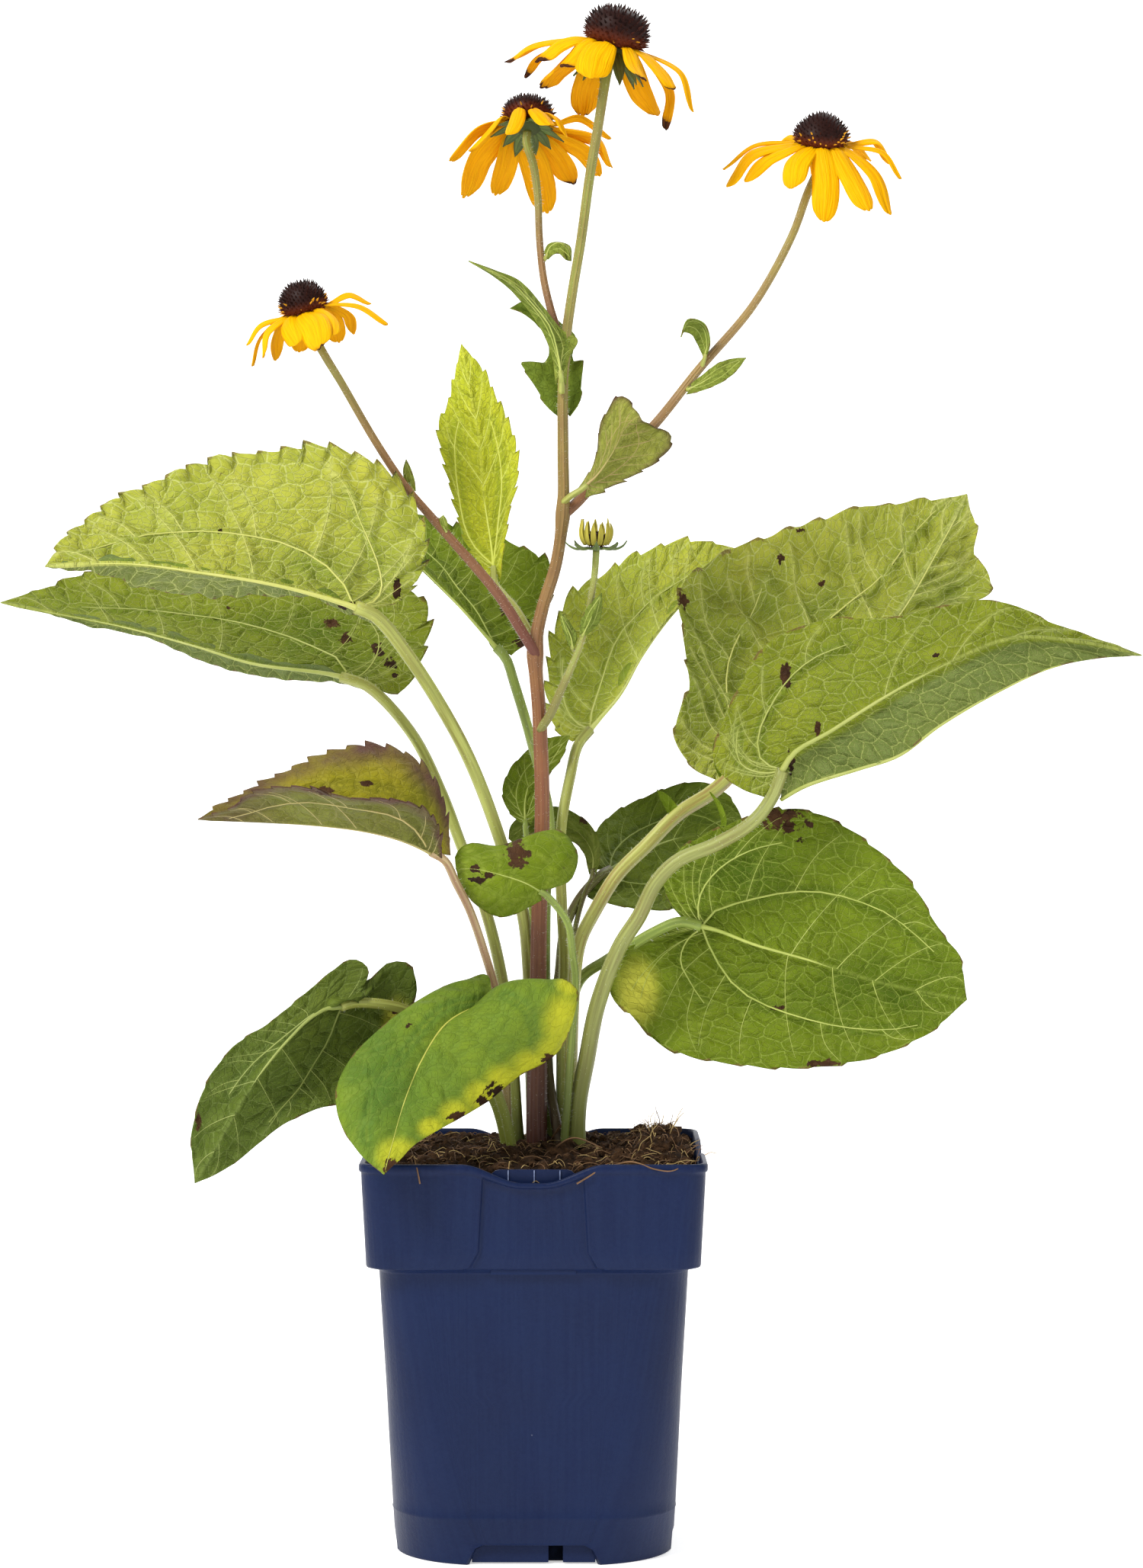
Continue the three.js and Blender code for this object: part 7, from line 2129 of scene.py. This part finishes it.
def cone_finish():
    """Dark purple-brown florets, warmer low on the cone, some of them dusted with pollen."""
    if "Cone florets" in bpy.data.materials:
        return bpy.data.materials["Cone florets"]
    material, tree, shader, where, _ = new_finish("Cone florets")
    colour = tint(tree, layer(tree, "tone"), srgb(20, 9, 8), srgb(62, 32, 26))
    low = rise(tree, layer(tree, "along"), 0.0, 0.4, 1.0, 0.0)
    colour = tint(tree, times(tree, low, 0.6), colour, srgb(112, 48, 22))
    dust = use_group(tree, worn_patch(), Vector=where, Amount=layer(tree, "yellow"), Size=0.001)
    colour = tint(tree, dust["Mask"], colour, srgb(226, 160, 40))
    set_surface(tree, shader, colour, 0.5, 0.1)
    return material


def bract_finish():
    """Green bracts, darker between their veins."""
    if "Bract" in bpy.data.materials:
        return bpy.data.materials["Bract"]
    material, tree, shader, where, lain = new_finish("Bract")
    streaks = fine_lines(tree, lain, width=0.0008, length=0.01)
    colour = tint(tree, streaks, srgb(56, 74, 28), srgb(104, 124, 54))
    cloud = clouds(tree, where, size=0.006, contrast=0.5)
    colour = tint(tree, times(tree, cloud, 0.35), colour, srgb(58, 52, 30))
    set_surface(tree, shader, colour, 0.6)
    bump(tree, shader, streaks, 0.0002)
    return material


def pot_finish():
    """Satin dark blue plastic with faint moulding streaks, scuffs and dust."""
    material, tree, shader, where, lain = new_finish("Pot plastic")
    streaks = fine_lines(tree, lain, width=0.0012, length=0.05)
    cloud = clouds(tree, where, size=0.05, contrast=0.5)
    grain = clouds(tree, where, size=0.0012, contrast=0.5)
    colour = tint(tree, cloud, srgb(12, 24, 57), srgb(15, 29, 65))
    colour = tint(tree, times(tree, streaks, 0.2), colour, srgb(28, 44, 76))
    colour = tint(tree, times(tree, grain, 0.2), colour, srgb(30, 44, 78))
    dust = use_group(tree, flecks(), Vector=where, Spacing=0.02, Size=0.02)["Mask"]
    colour = tint(tree, times(tree, dust, 0.35), colour, srgb(110, 116, 134))
    tree.links.new(colour, shader.inputs["Base Color"])
    rough = maths(tree, "ADD", 0.36, times(tree, cloud, 0.12))
    tree.links.new(rough, shader.inputs["Roughness"])
    shader.inputs["Specular IOR Level"].default_value = 0.14
    height = maths(tree, "ADD", times(tree, streaks, 0.4), times(tree, grain, 0.4))
    bump(tree, shader, height, 0.0001)
    return material


def pip_highlight_finish():
    """The pale pips on a label pocket, a painted highlight that stands for their glint."""
    material, tree, shader, where, _ = new_finish("Pocket pips")
    cloud = clouds(tree, where, size=0.001, contrast=0.5)
    set_surface(tree, shader, tint(tree, cloud, srgb(130, 144, 178), srgb(86, 100, 140)), 0.4)
    return material


def notch_shadow_finish():
    """Near-black plastic for the sheet behind each notch, a painted shadow for the dark inside under the pot.
    """
    material, tree, shader, where, _ = new_finish("Pot underside")
    cloud = clouds(tree, where, size=0.004, contrast=0.5)
    set_surface(tree, shader, tint(tree, cloud, srgb(6, 8, 14), srgb(16, 20, 32)), 0.9, 0.0)
    return material


def peat_finish(kind):
    """Dark crumbly peat."""
    material, tree, shader, where, _ = new_finish(f"Peat {kind}")
    low, high = ((22, 15, 11), (64, 45, 31)) if kind == "ground" else ((30, 21, 15), (92, 66, 44))
    grain = clouds(tree, where, size=0.0022, contrast=0.55)
    cloud = clouds(tree, where, size=0.012, contrast=0.6)
    colour = tint(tree, grain, srgb(*low), srgb(*high))
    colour = tint(tree, times(tree, cloud, 0.5), colour, srgb(*low))
    pale = use_group(tree, flecks(), Vector=where, Spacing=0.0028, Size=0.14)["Mask"]
    colour = tint(tree, times(tree, pale, 0.5), colour, srgb(150, 122, 84))
    set_surface(tree, shader, colour, 0.95, 0.1)
    bump(tree, shader, grain, 0.0012)
    return material


def fibre_finish(kind):
    """Roots and straws in the peat."""
    material, tree, shader, _, lain = new_finish(f"Peat {kind}")
    low, high = ((72, 48, 30), (146, 110, 72)) if kind == "root" else ((150, 122, 72), (196, 172, 116))
    streaks = fine_lines(tree, lain, width=0.0004, length=0.01)
    set_surface(tree, shader, tint(tree, streaks, srgb(*low), srgb(*high)), 0.8)
    return material


# Sizes, operators and panel

def length_property(name, default, description):
    return FloatProperty(name=name, description=description, default=default, min=0, unit="LENGTH",
                         subtype="DISTANCE", precision=5)


class PotSizes(bpy.types.PropertyGroup):
    """Sizes of the pot, in millimetres."""
    height: FloatProperty(name="Height", description="From the base to the rim", default=140.5)
    wall: FloatProperty(name="Wall", description="Thickness of the wall", default=1.5)
    panel_depth: FloatProperty(name="Panel depth", default=1.3,
                               description="How far each collar face's middle panel is set back")
    dip_depth: FloatProperty(name="Dip depth", description="Depth of the finger dips", default=6.4)
    notch_height: FloatProperty(name="Notch height", default=7.0,
                                description="Height of the notches at the foot")


class PeatSizes(bpy.types.PropertyGroup):
    """What the peat is made of."""
    lump_height: FloatProperty(name="Lump height", default=1.0,
                               description="How rough the top is, as a share of the usual")
    clods: IntProperty(name="Clods", description="Number of loose crumbs on top", default=1400)
    fibres: IntProperty(name="Fibres", description="Number of roots and straws on top", default=420)
    tendrils: IntProperty(name="Tendrils", default=60,
                          description="Number of fine curly roots that stand up by the right-hand rim")


class PlantSizes(bpy.types.PropertyGroup):
    """Sizes of the whole part."""
    blade_thickness: length_property("Blade thickness", 0.45 * MM, "Thickness of a leaf's blade")
    petal_thickness: length_property("Petal thickness", 0.35 * MM, "Thickness of a petal")
    bract_thickness: length_property("Bract thickness", 0.5 * MM, "Thickness of a green bract")
    floret_length: length_property("Floret length", 1.85 * MM, "Length of the florets on a cone")
    florets: IntProperty(name="Florets", description="Number of florets on a cone", default=300)
    pot: PointerProperty(type=PotSizes, name="Pot", description="Sizes of the pot")
    peat: PointerProperty(type=PeatSizes, name="Peat", description="Make-up of the peat")


class StageSettings(bpy.types.PropertyGroup):
    """Floor and lights."""
    floor_colour: FloatVectorProperty(name="Floor colour", description="Colour of the plain floor",
                                      subtype="COLOR", size=4, default=(0.9, 0.9, 0.9, 1))
    floor_glow: FloatProperty(name="Floor glow", default=0.55,
                              description="How much light the backdrop gives off")
    surroundings: FloatProperty(name="Surroundings", default=0.36,
                                description="Strength of the light from all sides")
    key: FloatProperty(name="Key light", description="Power of the main light", default=50.0, unit="POWER")
    fill: FloatProperty(name="Fill light", description="Power of the second light", default=9.0,
                        unit="POWER")


def settings():
    return bpy.context.scene.black_eyed_susan


class PieceOperator(bpy.types.Operator):
    """Builds pieces of the part"""
    bl_options = {"REGISTER", "UNDO"}

    def execute(self, context):
        self.build()
        return {"FINISHED"}


class OBJECT_OT_build_leaves(PieceOperator):
    """Build the large leaves that rise from the crown and the upper leaf of the stem"""
    bl_idname = "object.build_leaves"
    bl_label = "Build Leaves"

    def build(self):
        for name, form in LEAVES.items():
            leaf_piece(name, form)


class OBJECT_OT_build_stem_leaves(PieceOperator):
    """Build the small leaves along the stems"""
    bl_idname = "object.build_stem_leaves"
    bl_label = "Build Stem Leaves"

    def build(self):
        for name, form in STEM_LEAVES.items():
            leaf_piece(name, form)


class OBJECT_OT_build_stems(PieceOperator):
    """Build the stem, its branches and the flower stalks"""
    bl_idname = "object.build_stems"
    bl_label = "Build Stems"

    def build(self):
        for name, form in STEMS.items():
            stem_piece(name, form["radii"])


class OBJECT_OT_build_flowers(PieceOperator):
    """Build the four open flowers"""
    bl_idname = "object.build_flowers"
    bl_label = "Build Flowers"

    def build(self):
        for name, form in HEADS.items():
            petals_piece(name, form)
            cone_piece(form, name + "_cone", settings().florets)
            calyx_piece(name, form)


class OBJECT_OT_build_bud(PieceOperator):
    """Build the opening bud"""
    bl_idname = "object.build_bud"
    bl_label = "Build Bud"

    def build(self):
        bud_rays_piece()
        cone_piece(BUD, "bud_disc", BUD["florets"])
        bud_sepals_piece()


class OBJECT_OT_build_pot(PieceOperator):
    """Build the square nursery pot"""
    bl_idname = "object.build_pot"
    bl_label = "Build Pot"

    def build(self):
        pot_piece()


class OBJECT_OT_build_peat(PieceOperator):
    """Build the peat that fills the pot"""
    bl_idname = "object.build_peat"
    bl_label = "Build Peat"

    def build(self):
        peat_piece()


class OBJECT_OT_build_stage(PieceOperator):
    """Set up the floor, the lights and the camera"""
    bl_idname = "object.build_stage"
    bl_label = "Build Stage"

    def build(self):
        stage = bpy.context.scene.susan_stage
        scene = bpy.context.scene
        bm = bmesh.new()

        def sweep(s, t):
            run = (t - 0.3) * BACKDROP_RUN
            bend = np.clip(run - BACKDROP_BEND, 0, math.pi / 2)
            y = np.minimum(run, BACKDROP_BEND) + np.sin(bend)
            z = 1 - np.cos(bend) + np.maximum(run - BACKDROP_BEND - math.pi / 2, 0)
            return np.stack([s * BACKDROP_HALF, y, z], -1)

        sheet(bm, 4, 60, sweep)
        mesh = bpy.data.meshes.new("Backdrop")
        bm.to_mesh(mesh)
        bm.free()
        floor = bpy.data.objects.new("Backdrop", mesh)
        scene.collection.objects.link(floor)
        material, tree, shader, _, _ = new_finish("Backdrop")
        shader.inputs["Base Color"].default_value = stage.floor_colour
        shader.inputs["Roughness"].default_value = 0.9
        shader.inputs["Specular IOR Level"].default_value = 0.0
        shader.inputs["Emission Color"].default_value = stage.floor_colour
        shader.inputs["Emission Strength"].default_value = stage.floor_glow
        behind = add(tree, "ShaderNodeNewGeometry").outputs["Backfacing"]
        clear = add(tree, "ShaderNodeBsdfTransparent")
        both = add(tree, "ShaderNodeMixShader", {0: behind, 1: shader.outputs[0], 2: clear.outputs[0]})
        tree.links.new(both.outputs[0], tree.nodes["Material Output"].inputs["Surface"])
        mesh.materials.append(material)
        lights = (
            ("Key", (-1.1, -1.1, 1.75), 0.8, stage.key, (1.0, 0.98, 0.95)),
            ("Fill", (1.5, -1.3, 0.8), 1.5, stage.fill, (0.97, 0.99, 1.0)),
            ("Back", (0.5, 0.9, 1.7), 1.0, stage.fill, (1.0, 1.0, 1.0)),
        )
        for name, spot, size, power, colour in lights:
            data = bpy.data.lights.new(name, "AREA")
            data.shape, data.size, data.energy, data.color = "DISK", size, power, colour
            light = bpy.data.objects.new(name, data)
            light.location = spot
            aim = Vector((0, 0, 0.3)) - light.location
            light.rotation_euler = aim.to_track_quat("-Z", "Y").to_euler()
            scene.collection.objects.link(light)
        world = bpy.data.worlds.new("Studio")
        world.use_nodes = True
        sky = world.node_tree.nodes["Background"].inputs
        sky["Color"].default_value = (1, 1, 1, 1)
        direct = add(world.node_tree, "ShaderNodeLightPath").outputs["Is Camera Ray"]
        strength = maths(world.node_tree, "MAXIMUM", direct, stage.surroundings)
        world.node_tree.links.new(strength, sky["Strength"])
        scene.world = world
        data = bpy.data.cameras.new("Camera")
        data.lens, data.sensor_width = CAMERA_LENS, 36
        data.shift_y = CAMERA_SHIFT
        data.clip_start = 0.05
        camera = bpy.data.objects.new("Camera", data)
        camera.location = VIEWER * MM
        camera.rotation_euler = (math.pi / 2, 0, 0)
        scene.collection.objects.link(camera)
        scene.camera = camera
        scene.view_settings.view_transform = "Standard"


OPERATORS = (
    OBJECT_OT_build_leaves, OBJECT_OT_build_stem_leaves, OBJECT_OT_build_stems,
    OBJECT_OT_build_flowers, OBJECT_OT_build_bud, OBJECT_OT_build_pot, OBJECT_OT_build_peat,
    OBJECT_OT_build_stage,
)


class VIEW3D_PT_black_eyed_susan(bpy.types.Panel):
    """Sizes and operators of the part"""
    bl_label = "Black-Eyed Susan"
    bl_space_type = "VIEW_3D"
    bl_region_type = "UI"
    bl_category = "Black-Eyed Susan"

    def draw(self, context):
        for group in (settings(), settings().pot, settings().peat, context.scene.susan_stage):
            box = self.layout.box()
            for key in group.__annotations__:
                if key not in ("pot", "peat"):
                    box.prop(group, key)
        for operator in OPERATORS:
            self.layout.operator(operator.bl_idname)


CLASSES = (PotSizes, PeatSizes, PlantSizes, StageSettings, *OPERATORS, VIEW3D_PT_black_eyed_susan)


def register():
    for kind in CLASSES:
        bpy.utils.register_class(kind)
    bpy.types.Scene.black_eyed_susan = PointerProperty(type=PlantSizes)
    bpy.types.Scene.susan_stage = PointerProperty(type=StageSettings)


def unregister():
    del bpy.types.Scene.susan_stage
    del bpy.types.Scene.black_eyed_susan
    for kind in reversed(CLASSES):
        bpy.utils.unregister_class(kind)


def main():
    register()
    bpy.ops.object.build_pot()
    bpy.ops.object.build_peat()
    bpy.ops.object.build_stems()
    bpy.ops.object.build_leaves()
    bpy.ops.object.build_stem_leaves()
    bpy.ops.object.build_flowers()
    bpy.ops.object.build_bud()
    bpy.ops.object.build_stage()
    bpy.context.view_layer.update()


if __name__ == "__main__":
    main()
